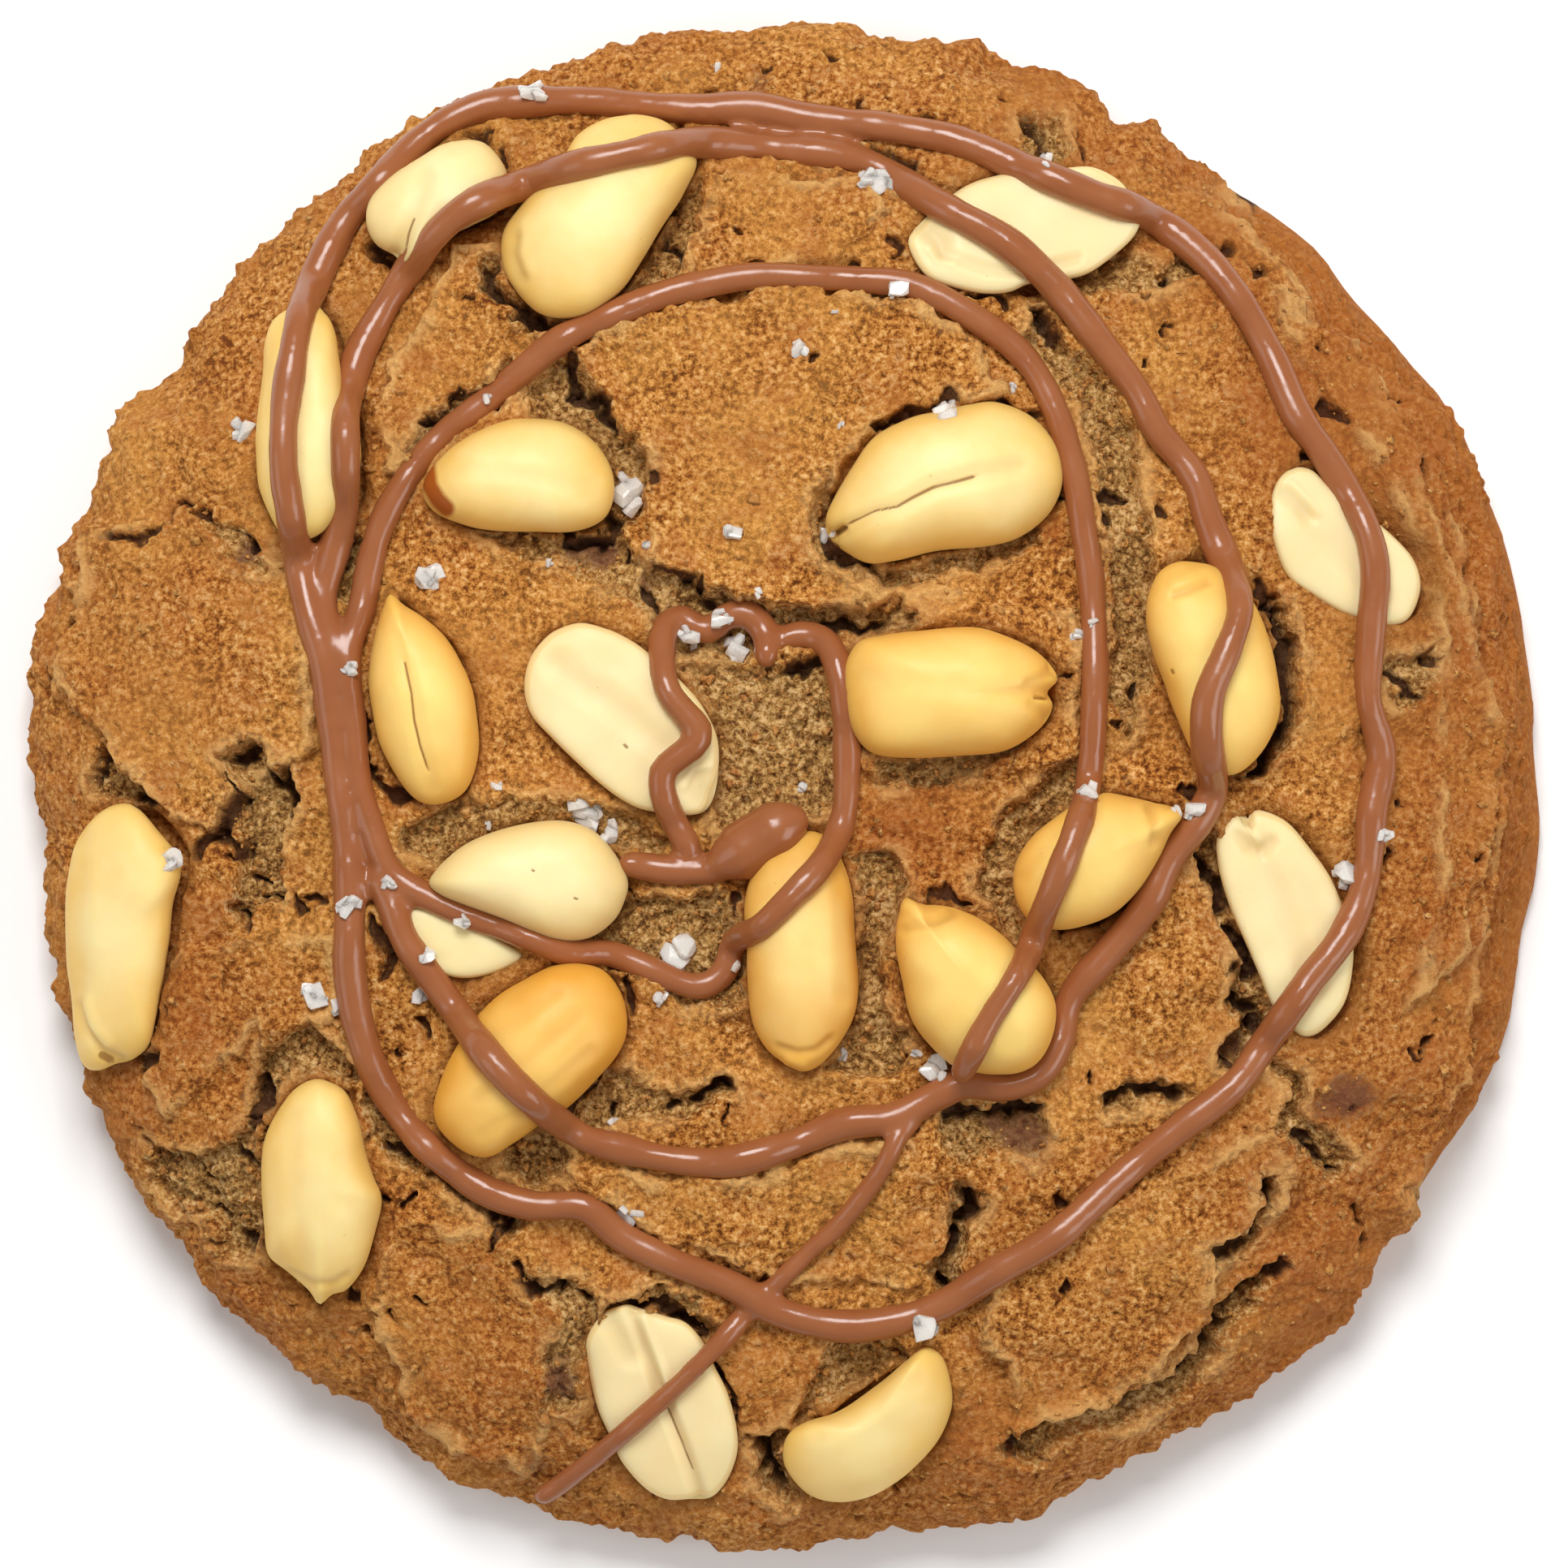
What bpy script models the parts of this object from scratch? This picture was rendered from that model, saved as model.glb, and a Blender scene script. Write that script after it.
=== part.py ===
"""A peanut butter cookie, 110 mm across.

A thick, crackled disc of dough carries peanut kernels pressed into its top, a milk chocolate
drizzle that was poured over them in loops, and flakes of salt. The dough, the drizzle that lies
on it and the salt are one solid. Each kernel is a solid of its own, with the short stretch of
drizzle or the flake that lies on it, and sits in a socket of the dough with a small gap round it.

Lengths below are in millimetres, and the meshes are made in metres. +Z is up, the cookie stands
on its flat base at z = 0, and its middle is on the Z axis.
"""

import math
import random

import bmesh
import bpy
import numpy as np
from mathutils import Matrix, Vector, noise
from mathutils.bvhtree import BVHTree

MM = 0.001

# The turned form of the dough
COOKIE_RADIUS = 54.9
DOME_HEIGHT = 16.2
WIDEST_HEIGHT = 4.3
DOME_FLATNESS = 3.2
SHOULDER_ROUNDNESS = 0.55
FOOT_TUCK = 1.9
BELOW_TABLE = 1.2
BASE_FACE_SHARE = 0.15

# The uneven outline: angle, half width in degrees and depth of each bite out of the edge, or of
# each bulge where the depth is below 0
EDGE_BITES = [
    (2, 8, -0.5), (16, 7, -0.7), (29, 7, -1.3), (45, 6, -0.6), (57, 4, 1.1),
    (63.5, 2, 2.0), (82, 6, 0.4), (94, 6, 0.8), (106, 6, 0.8), (127, 4, 1.5),
    (134, 5, 1.0), (140, 3, 1.0), (146, 3, 1.7), (151, 3, -0.7), (153.5, 1.6, 0.9),
    (158, 3, 1.2), (184, 4, 1.4), (192, 5, 1.0), (203, 2.2, 0.7), (235, 3, 0.5),
    (244, 3, -1.1), (251, 5, -0.8), (262, 6, 0.5), (279, 4, 0.6), (288, 5, -0.8),
    (306, 5, -1.1), (306, 2.5, 0.8), (316, 5, -0.7), (334, 5, -0.9), (342, 5, -1.1),
    (350, 6, -0.4),
]
EDGE_WAVE = 0.45
EDGE_WAVES_ROUND = 2.6
EDGE_RIPPLE_SHARE = 0.28

# The lower step that the dough spread into on the right-hand side
STEP_FROM, STEP_TO = -38.0, 56.0
STEP_WIDTH = 3.0
STEP_DROP = 1.7
STEP_FADE = 12.0

# Broad swells and the coarse crumb of the surface: wavelength and height
SURFACE_WAVES = [(15.0, 0.55), (5.5, 0.40), (2.6, 0.22)]
EDGE_RAGGEDNESS = 0.7
RAGGED_WAVELENGTH = 2.4

# Raised plates of crust: how far each stands up, then its outline
PLATE_SLOPE = 0.9
PLATES = [
    (0.9, [(-15.5, 30.6), (-12, 33), (-6.7, 35), (2, 35.8), (9.5, 34.7), (14.2, 31.5), (16, 28.3),
           (7.8, 26), (4.3, 23.6), (2.6, 19), (5.5, 15.8), (8.4, 14.4), (4.3, 12), (-0.3, 13.2),
           (-5, 13.5), (-9.6, 16.1), (-9.6, 19), (-10.2, 23.6), (-13.1, 27.1)]),
    (0.6, [(-5, 44), (5.5, 43.7), (7.8, 41.7), (5.5, 39.3), (3.7, 37.6), (-7.9, 35.8), (-6.7, 39.9)]),
    (0.8, [(-50.3, 18.4), (-46.8, 19), (-41.6, 19), (-36.4, 16.1), (-34, 10.9), (-33.5, 2.7),
           (-37, 0.4), (-40.4, -0.8), (-42.2, -3.7), (-45.1, -2.5), (-46.8, 0.4), (-49, 4),
           (-52, 6.8), (-51, 13)]),
    (0.7, [(-28.2, 31.8), (-23.6, 38.8), (-20.1, 38.8), (-18.9, 33), (-21.8, 28.9), (-24.8, 27.1),
           (-28.2, 21.9), (-30, 27.1)]),
    (0.9, [(15.9, -33.3), (22.3, -29.8), (34.5, -24), (36.8, -28.1), (33.9, -31), (30.4, -34.5),
           (29.9, -37.9), (25.2, -42.6), (21.7, -44.9), (16.5, -45.8), (15.9, -41.4), (13.6, -39.1)]),
    (0.5, [(9.5, 14.2), (20.5, 12), (21, 1.5), (14, 0.4), (5.5, 0.6), (5.2, 2), (5.5, 8)]),
    (0.5, [(-16, -26.5), (-4, -28.5), (9, -24.5), (13, -31), (9, -36), (0, -36), (-9, -32.5)]),
    (0.6, [(-28, -31), (-17, -33), (-15, -38), (-18, -50), (-27, -45), (-30, -38)]),
    (0.5, [(34, 36), (38, 28), (43, 20), (46, 10), (46, -8), (43.5, -16), (48.5, -12), (51, 2), (49, 18),
           (43, 30)]),
    (0.5, [(-46, -13), (-38, -10.5), (-32, -11), (-31.5, -17), (-38, -18), (-44, -24), (-47, -20)]),
]

# Rough sunken bands between the plates: width, depth and course
BAND_STEEPNESS = 1.6
SUNKEN_BANDS = [
    (2.4, 1.5, [(-9.6, 16.1), (-6.7, 14.6), (-3.8, 13.5), (2, 12.3), (8.4, 11.7), (11.9, 15.5)]),
    (2.1, 1.5, [(-23.6, 28.3), (-18.9, 30), (-15.5, 30.6), (-13.4, 27.1), (-11.1, 23.1), (-11.4, 19)]),
    (2.0, 1.2, [(-23.6, 17.4), (-18.9, 16.9), (-14.3, 16.4), (-10.8, 15.5)]),
    (2.0, 1.2, [(-28.8, -3.1), (-23.6, -2.6), (-18.9, -1.9), (-13.1, -1.9), (-9.6, -3.1)]),
    (2.6, 2.0, [(-37, 1.9), (-36.4, -1.3), (-37.6, -4.2), (-37.8, -8.3), (-38.7, -10.6)]),
    (2.1, 1.3, [(-30.6, -1.9), (-28.8, -8.9), (-27.1, -13.5), (-24.8, -17.6)]),
    (4.6, 1.1, [(-3.8, 6.8), (-2.1, 2.1), (-3.8, -2.5), (-6.7, -8.3), (-7.9, -11.2)]),
    (2.4, 1.3, [(5.5, -3.7), (7.1, -8.9), (6.9, -14.7), (6.3, -19.3)]),
    (2.4, 1.3, [(18.5, 35.3), (21.1, 30), (23.5, 23.6), (24.8, 18.4), (24.3, 12), (23.6, 6.8)]),
    (2.0, 1.1, [(6.3, 0.4), (11.3, 0.7), (17.1, -0.2), (20, 2.1)]),
    (2.2, 1.4, [(29.3, -1.9), (31, -7.1), (33.1, -13), (33.6, -17.6), (35.1, -22.3), (39.2, -26.9)]),
    (2.7, 1.4, [(13.6, -23.4), (16.5, -25.2), (16.2, -26.9)]),
    (2.0, 1.2, [(-23.6, -29.5), (-19.5, -31.5), (-17.8, -26.9)]),
    (1.5, 1.3, [(-37.8, -21.7), (-36.7, -18.8), (-33.8, -17.7), (-31.1, -19.1), (-29.7, -21.7)]),
    (2.9, 1.1, [(-44.5, -26.9), (-41.6, -29.2), (-38.7, -32.1), (-39.9, -34.5)]),
    (2.7, 1.2, [(-0.3, -42.6), (2.6, -40.3), (6.6, -39.7), (8.9, -39.7)]),
    (2.3, 1.4, [(-16, -39.1), (-15.5, -42.6), (-16.6, -47.8), (-13.1, -51.3)]),
    (2.0, 1.3, [(7.2, 42.8), (7.2, 39.3), (4.9, 37)]),
    (1.7, 1.3, [(-21.3, 37), (-20.4, 33.2), (-16, 32.7)]),
    (1.7, 1.2, [(9.5, 15.5), (14.2, 16.1), (19.4, 19)]),
    (2.0, 1.2, [(-27.1, -18.8), (-23.6, -14.1), (-18.9, -13)]),
    (1.5, 1.2, [(-15.5, -22.3), (-9.6, -22), (-5, -22.3), (-1.5, -21.1)]),
    (1.5, 1.3, [(8.4, -21.1), (13.6, -22.3), (19.4, -21.7), (25.2, -22), (29.3, -22)]),
    (1.6, 1.2, [(30.6, -40), (29.3, -42), (26.4, -42.9), (24.3, -44.2), (20.6, -45.2), (16.2, -46.2)]),
    (1.5, 1.5, [(14.2, -29.5), (12.7, -31.3), (11.6, -34.2), (11, -36.3)]),
    (1.4, 1.4, [(-39.9, 0.7), (-39.7, -0.8), (-40.9, -2.2), (-41.9, -4.2), (-42.6, -5.3)]),
    (1.3, 1.2, [(6.3, 25.5), (8.9, 26.8), (12.4, 27.6), (15.9, 28.4)]),
    (1.3, 1.2, [(34.3, -28.4), (33.8, -30.4), (32.8, -31.8), (29.9, -33.8)]),
    (1.3, 1.2, [(-18.9, -34.6), (-16.6, -35.6), (-15.3, -35.6), (-14.2, -36.9)]),
]

# The drizzle: radius of the round bead, then the course of each strand seen from above
DRIZZLE_STEP = 2.7
DRIZZLE_RISE = 0.45
BEAD_UNEVENNESS = 0.12
BEAD_SWELL_LENGTH = 4.0
NOSE_LENGTH = 0.6
NOSE_RADIUS = 0.5
SINK_INTO_BUMPS = 0.1
LOOP_BEAD, SPIRAL_BEAD, TAIL_BEAD, BLOB_BEAD = 1.15, 1.02, 0.78, 1.9
STRANDS = [
    (LOOP_BEAD, [
        (-18.1, 49.3), (-21.3, 49.1), (-24.5, 47.8), (-26.8, 46), (-29.1, 43.4), (-31.4, 41),
        (-33.2, 37.7), (-34.5, 34.1), (-35.2, 30), (-35.7, 26), (-35.7, 22.5), (-35.2, 19),
        (-34.7, 15.5), (-34, 12.3), (-33, 9.1), (-32.4, 5.1), (-32, 1), (-31.5, -3.1),
        (-31.1, -6.6), (-31.1, -10.1), (-31.1, -13.5), (-30.4, -17.6), (-28.8, -21.7), (-25.9, -25.7),
        (-21.8, -28.9), (-18.1, -30.2), (-14.3, -30.3), (-11.7, -32.4), (-7.9, -34.3), (-3.8, -35.9),
        (-0.3, -37.9), (4.3, -38.9), (8.4, -38.4), (11.6, -37.2), (15, -35), (19.4, -32.4),
        (24.1, -28.2), (28.1, -24.9), (32.2, -21.7), (34.8, -18.2), (37.4, -14.4), (40.3, -10.6),
        (41.8, -6.6), (42.2, -1.9), (42.9, 2.1), (41.9, 6.2), (42.1, 10.9), (42.4, 15.5),
        (41.5, 19), (39.2, 23.1), (36.8, 26.6), (35.1, 30.6), (32.8, 34.7), (29.9, 38.2),
        (26.4, 40.8), (22.3, 42.2), (17.1, 44.3), (12.4, 46.3), (6.6, 47.4), (2, 47.9),
        (-2.1, 48.7), (-6.2, 48.6), (-10.2, 48.9), (-14, 49.3), (-17.4, 49.3),
    ]),
    (LOOP_BEAD, [
        (-31, 8), (-33, 12.3), (-32.4, 16.1), (-31.4, 20.2), (-31.3, 24.2), (-31.3, 27.1),
        (-30.6, 30.6), (-28.8, 34.1), (-26.5, 37.6), (-23.6, 40.6), (-20.1, 42.5), (-15.5, 44),
        (-10.8, 45.1), (-6.7, 46), (-3.8, 46), (0.8, 45.6), (4.9, 45), (7.8, 43.7),
        (11.3, 41.4), (15.9, 38.8), (19.4, 35.7), (22.3, 32.1), (25.2, 28.3), (26.7, 25.4),
        (29.3, 22.2), (30.4, 19), (31.7, 15.5), (32.5, 12.6), (31.5, 9.4), (30.2, 6.2),
        (30.1, 2.7), (30.7, -0.2), (29.6, -2.6), (27.5, -5.4), (25.8, -8.9), (22.9, -12.4),
        (20.5, -15.3), (19.7, -18.5), (18.2, -20.8), (15.9, -21.7), (13, -21.4), (10.7, -22.4),
        (7.8, -23.9), (4.3, -24.3), (0.8, -25.7), (-3.8, -27), (-7.9, -26.9), (-12, -26),
        (-14.3, -25.3), (-16.6, -23.7), (-20.1, -20.4), (-23, -16.9), (-25.3, -13.8), (-27.1, -11.2),
        (-28.2, -8.3), (-29.3, -6),
    ]),
    (SPIRAL_BEAD, [
        (12.4, -21.1), (14.5, -16.9), (17.1, -12.7), (18.8, -8.3), (20.5, -4), (21.6, -0.8),
        (22.1, 3.9), (22.2, 9.7), (22, 14.4), (21.4, 18.4), (20.7, 22.5), (19.4, 26.8),
        (17.2, 30.6), (13.6, 33.4), (9.5, 35.6), (6, 36.1), (2, 36.3), (-2.1, 36.4),
        (-6.2, 35.7), (-9.6, 34.7), (-13.1, 33.2), (-16, 31.8), (-18.9, 29.5), (-21.8, 27.1),
        (-24.8, 24.7), (-27.1, 21.8), (-28.8, 18.7), (-29.7, 15.5), (-30.3, 12.3), (-31.3, 9.1),
        (-31, 5.1), (-30.6, 1), (-29.5, -3.1), (-28.1, -6.4), (-25.3, -8.2), (-22.1, -9.6),
        (-18.9, -10.7), (-15.5, -12), (-12.5, -12.1), (-9.1, -13.5), (-6.2, -14.5), (-4.3, -13.5),
        (-3.5, -11.2), (-1.8, -10.3), (0.5, -8), (2.8, -5.5), (4.2, -2.5), (4.5, 1),
        (4.4, 4.5), (4, 7.7), (3.1, 10), (1.1, 10.7), (-0.6, 10),
    ]),
    (SPIRAL_BEAD, [
        (-1.4, 8.4), (-1.2, 10.5), (-2.6, 12.2), (-4.3, 11.9), (-6.3, 11.2), (-7.5, 11.9),
        (-8.6, 11), (-8.7, 8.5), (-8.2, 6.5), (-6.1, 3.8), (-7.7, 1.8), (-8.7, 0.8), (-8.6, -0.8),
        (-7.9, -2.6), (-6.5, -5.6),
    ]),
    (SPIRAL_BEAD, [(-11.7, -5.6), (-10, -5.9), (-7.5, -6.2), (-4.6, -6.1)]),
    (BLOB_BEAD, [(-5.0, -5.8), (-3.5, -5.1), (-1.5, -3.9), (0.3, -2.8)]),
    (TAIL_BEAD, [
        (9.6, -23.6), (8.3, -25), (6.7, -28), (4, -31.5), (2, -33.3), (-0.2, -35.5), (-2.7, -38),
        (-5, -40.5), (-8, -43.5), (-10, -45.3), (-13, -48), (-16, -50.5), (-17.6, -51.6),
    ]),
]

# Peanut kernels: middle, length, width, direction of the narrower end, taper, bend, and form
WHOLE, POINTED, HALF = "whole", "pointed", "half"
KERNELS = [
    ((-25.0, 42.1), 12.6, 8.4, 215, 0.05, 0.0, POINTED),
    ((-13.3, 40.7), 16.8, 9.6, 58, 0.12, 0.0, WHOLE),
    ((17.0, 39.9), 17.0, 8.1, 10, 0.05, 0.0, HALF),
    ((-33.9, 26.0), 17.0, 7.7, 92, 0.04, 0.3, WHOLE),
    ((-18.9, 21.9), 13.7, 8.1, 178, 0.05, 0.0, WHOLE),
    ((11.4, 21.6), 17.3, 10.3, 196, 0.12, 0.0, POINTED),
    ((40.3, 17.1), 14.2, 7.3, 134, 0.05, 0.0, HALF),
    ((-25.8, 5.9), 15.0, 7.6, 103, 0.14, 0.0, POINTED),
    ((-11.5, 4.6), 16.8, 8.7, -50, 0.10, 0.0, HALF),
    ((12.0, 6.6), 15.1, 9.2, 3, 0.04, 0.0, WHOLE),
    ((30.6, 8.4), 15.0, 8.4, 108, 0.12, 0.0, WHOLE),
    ((-48.0, -10.9), 19.4, 7.4, -95, 0.06, -0.3, WHOLE),
    ((-18.5, -6.9), 14.8, 8.1, 194, 0.14, 0.0, POINTED),
    ((1.3, -11.9), 17.3, 8.1, 91, 0.05, 0.0, WHOLE),
    ((22.0, -5.6), 12.5, 8.3, 27, 0.10, 0.0, POINTED),
    ((13.6, -14.7), 14.2, 9.6, 127, 0.14, 0.0, POINTED),
    ((35.8, -9.9), 16.8, 8.1, -66, 0.14, 0.0, HALF),
    ((-18.1, -19.8), 16.8, 9.4, 222, 0.08, 0.0, WHOLE),
    ((-33.3, -28.9), 16.0, 8.4, -89, 0.06, 0.0, POINTED),
    ((-8.8, -44.4), 15.2, 9.0, 112, 0.08, 0.0, HALF),
    ((6.2, -46.4), 14.8, 7.2, 38, 0.04, 0.8, WHOLE),
    ((-23.6, -11.6), 10.0, 5.4, 160, 0.05, 0.0, HALF),
]
KERNEL_SEGMENTS, KERNEL_RINGS = 12, 9
KERNEL_THICKNESS = 0.92
HALF_THICKNESS = 0.55
HALF_CROWN = 0.22
WHOLE_LIFT = 0.10
HALF_LIFT = 0.05
LEAN_WITH_DOME = 0.85
BLUNT_END = (2.6, 0.42)
POINTED_END = (1.7, 0.62)
BEND_REACH = 1.4
SOCKET_GAP = 0.34
# The faces of a coarse kernel lie a little inside its corners, so a socket is grown by more
SOCKET_SPREAD = 1.12
STRAND_ROOM = 0.41
TUCKED_KERNEL, OVER_IT = 22, 13

# Salt flakes large enough to be seen from a step away: middle and size
SALT_FLAKES = [
    (-18.1, 49.9, 2.1), (6.6, 43.1, 2.6), (8.2, 35.4, 1.7), (-38.8, 25.3, 2.0), (-11.1, 20.9, 2.7),
    (11.6, 26.3, 2.1), (-3.7, 18.1, 1.6), (-25.3, 14.9, 2.3), (0.9, 31.1, 1.6), (-4.4, 11.7, 1.8),
    (-3.5, 9.5, 2.0), (-6.9, 10.6, 2.0), (-14.3, -2.0, 2.6), (-12.4, -3.6, 1.8), (-7.8, -12.4, 2.7),
    (-31.1, -8.8, 2.1), (-33.6, -15.3, 2.2), (21.7, -0.6, 1.7), (29.4, -1.8, 1.7), (40.3, -6.4, 2.0),
    (10.1, -38.8, 2.1), (-11.1, -30.9, 1.9), (10.7, -20.6, 1.9), (-43.7, -5.3, 1.8),
]
FLAKE_PROPORTIONS = (1.0, 0.8, 0.62)
FLAKE_UNEVENNESS = 0.14
FLAKE_TILT = 0.5
FLAKE_SINK = 0.22
FLAKE_SEED = 11

# Mesh budget
DOUGH_ROUNDNESS = 7
DOUGH_TRIANGLES = 4000
COOKIE_TRIANGLES = 8560
WELD = 0.00001
BASE_TOLERANCE = 0.05
ABOVE_EVERYTHING = 60.0

# Plain colours, and roughness
DOUGH_FINISH = ((0.46, 0.21, 0.06), 0.85)
PEANUT_FINISH = ((0.88, 0.66, 0.28), 0.45)


def smooth_step(value):
    """0 below 0, 1 above 1, and an even curve between."""
    value = np.clip(value, 0.0, 1.0)
    return value * value * (3.0 - 2.0 * value)


def noise_at(points, wavelength, layer):
    """Smooth noise, -1 to 1, at each (x, y) of an array in millimetres."""
    scaled = points / wavelength
    return np.array([noise.noise(Vector((x, y, layer * 7.3))) for x, y in scaled])


def distance_to_course(points, course):
    """Distance in millimetres from each point to a line through the given places."""
    best = np.full(len(points), np.inf)
    ends = np.asarray(course, float)
    for start, end in zip(ends[:-1], ends[1:]):
        along = end - start
        share = np.clip((points - start) @ along / (along @ along), 0.0, 1.0)
        gap = points - start - share[:, None] * along
        best = np.minimum(best, np.hypot(gap[:, 0], gap[:, 1]))
    return best


def depth_inside(points, outline):
    """Distance in millimetres to a closed outline, above 0 inside it and below 0 outside."""
    corners = np.asarray(outline, float)
    distance = distance_to_course(points, np.vstack([corners, corners[:1]]))
    inside = np.zeros(len(points), bool)
    for (x0, y0), (x1, y1) in zip(corners, np.roll(corners, -1, axis=0)):
        spans = (y0 > points[:, 1]) != (y1 > points[:, 1])
        with np.errstate(divide="ignore", invalid="ignore"):
            crossing = x0 + (points[:, 1] - y0) / (y1 - y0) * (x1 - x0)
        inside ^= spans & (points[:, 0] < crossing)
    return np.where(inside, distance, -distance)


def angle_gap(first, second):
    """The difference of two angles in degrees, from -180 to 180."""
    return (first - second + 180.0) % 360.0 - 180.0


def edge_radius(degrees):
    """Radius of the cookie's uneven outline in each direction."""
    turn = np.radians(degrees)
    circle = np.stack([np.cos(turn), np.sin(turn)], axis=1) * EDGE_WAVES_ROUND
    waves = noise_at(circle, 1.0, 1) + noise_at(circle, EDGE_RIPPLE_SHARE, 2)
    radius = COOKIE_RADIUS + EDGE_WAVE * waves
    for middle, half_width, depth in EDGE_BITES:
        radius = radius - depth * np.exp(-((angle_gap(degrees, middle) / half_width) ** 2))
    return radius


def dome_height(points):
    """Height of the smooth top of the dough over each (x, y)."""
    share = np.clip(np.hypot(points[:, 0], points[:, 1]) / COOKIE_RADIUS, 0.0, 1.0)
    rise = (1.0 - share**DOME_FLATNESS) ** SHOULDER_ROUNDNESS
    return WIDEST_HEIGHT + (DOME_HEIGHT - WIDEST_HEIGHT) * rise


def dome_slope(x, y):
    """How steeply the smooth top falls away from the middle at a place, and in which direction."""
    out = math.hypot(x, y)
    near = np.array([[out - 0.5, 0.0], [out + 0.5, 0.0]])
    high, low = dome_height(near)
    return math.atan(high - low), math.atan2(y, x)


def relief(points):
    """How far plates, sunken bands, the step and the crumb move the surface at each (x, y)."""
    ragged = np.stack([noise_at(points, RAGGED_WAVELENGTH, layer) for layer in (3, 4)], axis=1)
    broken = points + EDGE_RAGGEDNESS * ragged
    height = np.zeros(len(points))
    for layer, (wavelength, swell) in enumerate(SURFACE_WAVES):
        height += swell * noise_at(points, wavelength, 10 + layer)
    for rise, outline in PLATES:
        height += rise * smooth_step(depth_inside(broken, outline) / PLATE_SLOPE + 0.5)
    for width, depth, course in SUNKEN_BANDS:
        inside = 1.0 - distance_to_course(broken, course) / width
        height -= depth * smooth_step(inside * BAND_STEEPNESS)
    turn = np.degrees(np.arctan2(points[:, 1], points[:, 0]))
    on_step = smooth_step((turn - STEP_FROM) / STEP_FADE) * smooth_step((STEP_TO - turn) / STEP_FADE)
    outward = np.hypot(broken[:, 0], broken[:, 1]) - (COOKIE_RADIUS - STEP_WIDTH)
    return height - STEP_DROP * on_step * smooth_step(outward / PLATE_SLOPE + 0.5)


def dough_profile():
    """Radius and height along the turned section, from the middle of the top to that of the base."""
    quarter = np.linspace(0.0, math.pi / 2, 160)
    top_share = np.sin(quarter)
    top_radius = COOKIE_RADIUS * top_share
    top_height = dome_height(np.stack([top_radius, np.zeros_like(top_radius)], axis=1))
    side_radius = COOKIE_RADIUS - FOOT_TUCK * (1.0 - np.cos(quarter[1:]))
    side_height = WIDEST_HEIGHT - (WIDEST_HEIGHT + BELOW_TABLE) * np.sin(quarter[1:])
    radius = np.concatenate([top_radius, side_radius, [0.0]])
    height = np.concatenate([top_height, side_height, [-BELOW_TABLE]])
    return radius, height


def material(name, colour, roughness):
    """A plain finish for one kind of piece."""
    finish = bpy.data.materials.new(name)
    finish.use_nodes = True
    shader = finish.node_tree.nodes["Principled BSDF"]
    shader.inputs["Base Color"].default_value = (*colour, 1.0)
    shader.inputs["Roughness"].default_value = roughness
    shader.inputs["Metallic"].default_value = 0.0
    finish.diffuse_color = (*colour, 1.0)
    return finish


def new_object(name, bm, collection, finish=None):
    """Puts a finished bmesh into an object of a collection."""
    mesh = bpy.data.meshes.new(name)
    bm.to_mesh(mesh)
    bm.free()
    made = bpy.data.objects.new(name, mesh)
    collection.objects.link(made)
    if finish:
        mesh.materials.append(finish)
    return made


def new_collection(name):
    """A collection of the scene."""
    made = bpy.data.collections.new(name)
    bpy.context.scene.collection.children.link(made)
    return made


def apply_modifiers(made):
    """Makes what the modifiers show the object's own mesh."""
    shown = made.evaluated_get(bpy.context.evaluated_depsgraph_get())
    old = made.data
    made.data = bpy.data.meshes.new_from_object(shown)
    made.data.name = made.name
    made.modifiers.clear()
    bpy.data.meshes.remove(old)


def thin_out(made, triangles):
    """Collapses the least needed edges until about this many triangles are left."""
    count = sum(len(face.vertices) - 2 for face in made.data.polygons)
    if count <= triangles:
        return
    fewer = made.modifiers.new("Fewer triangles", "DECIMATE")
    fewer.ratio = triangles / count
    apply_modifiers(made)


def join_or_cut(made, operation, others):
    """Joins a collection to the object or cuts it out of it, then removes the collection."""
    boolean = made.modifiers.new(operation.title(), "BOOLEAN")
    boolean.operation = operation
    boolean.operand_type = "COLLECTION"
    boolean.collection = others
    boolean.solver = "MANIFOLD"
    apply_modifiers(made)
    for other in list(others.objects):
        bpy.data.objects.remove(other)
    bpy.data.collections.remove(others)


def keep_largest_body(made):
    """Drops loose scraps that a cut left beside the main body."""
    bm = bmesh.new()
    bm.from_mesh(made.data)
    left = set(bm.verts)
    bodies = []
    while left:
        body = {left.pop()}
        edge_of_search = list(body)
        while edge_of_search:
            corner = edge_of_search.pop()
            for edge in corner.link_edges:
                other = edge.other_vert(corner)
                if other in left:
                    left.remove(other)
                    body.add(other)
                    edge_of_search.append(other)
        bodies.append(body)
    bodies.sort(key=len)
    for scrap in bodies[:-1]:
        bmesh.ops.delete(bm, geom=list(scrap), context="VERTS")
    bm.to_mesh(made.data)
    bm.free()


def close_slivers(made):
    """Merges corners that a cut left almost on each other."""
    bm = bmesh.new()
    bm.from_mesh(made.data)
    bmesh.ops.remove_doubles(bm, verts=bm.verts, dist=WELD)
    bm.to_mesh(made.data)
    bm.free()


def drop_flaps(made):
    """Removes triangles that the thinning left hanging on the surface by one edge."""
    bm = bmesh.new()
    bm.from_mesh(made.data)
    flaps = [face for face in bm.faces if any(edge.is_boundary for edge in face.edges)]
    bmesh.ops.delete(bm, geom=flaps, context="FACES")
    bm.to_mesh(made.data)
    bm.free()


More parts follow.
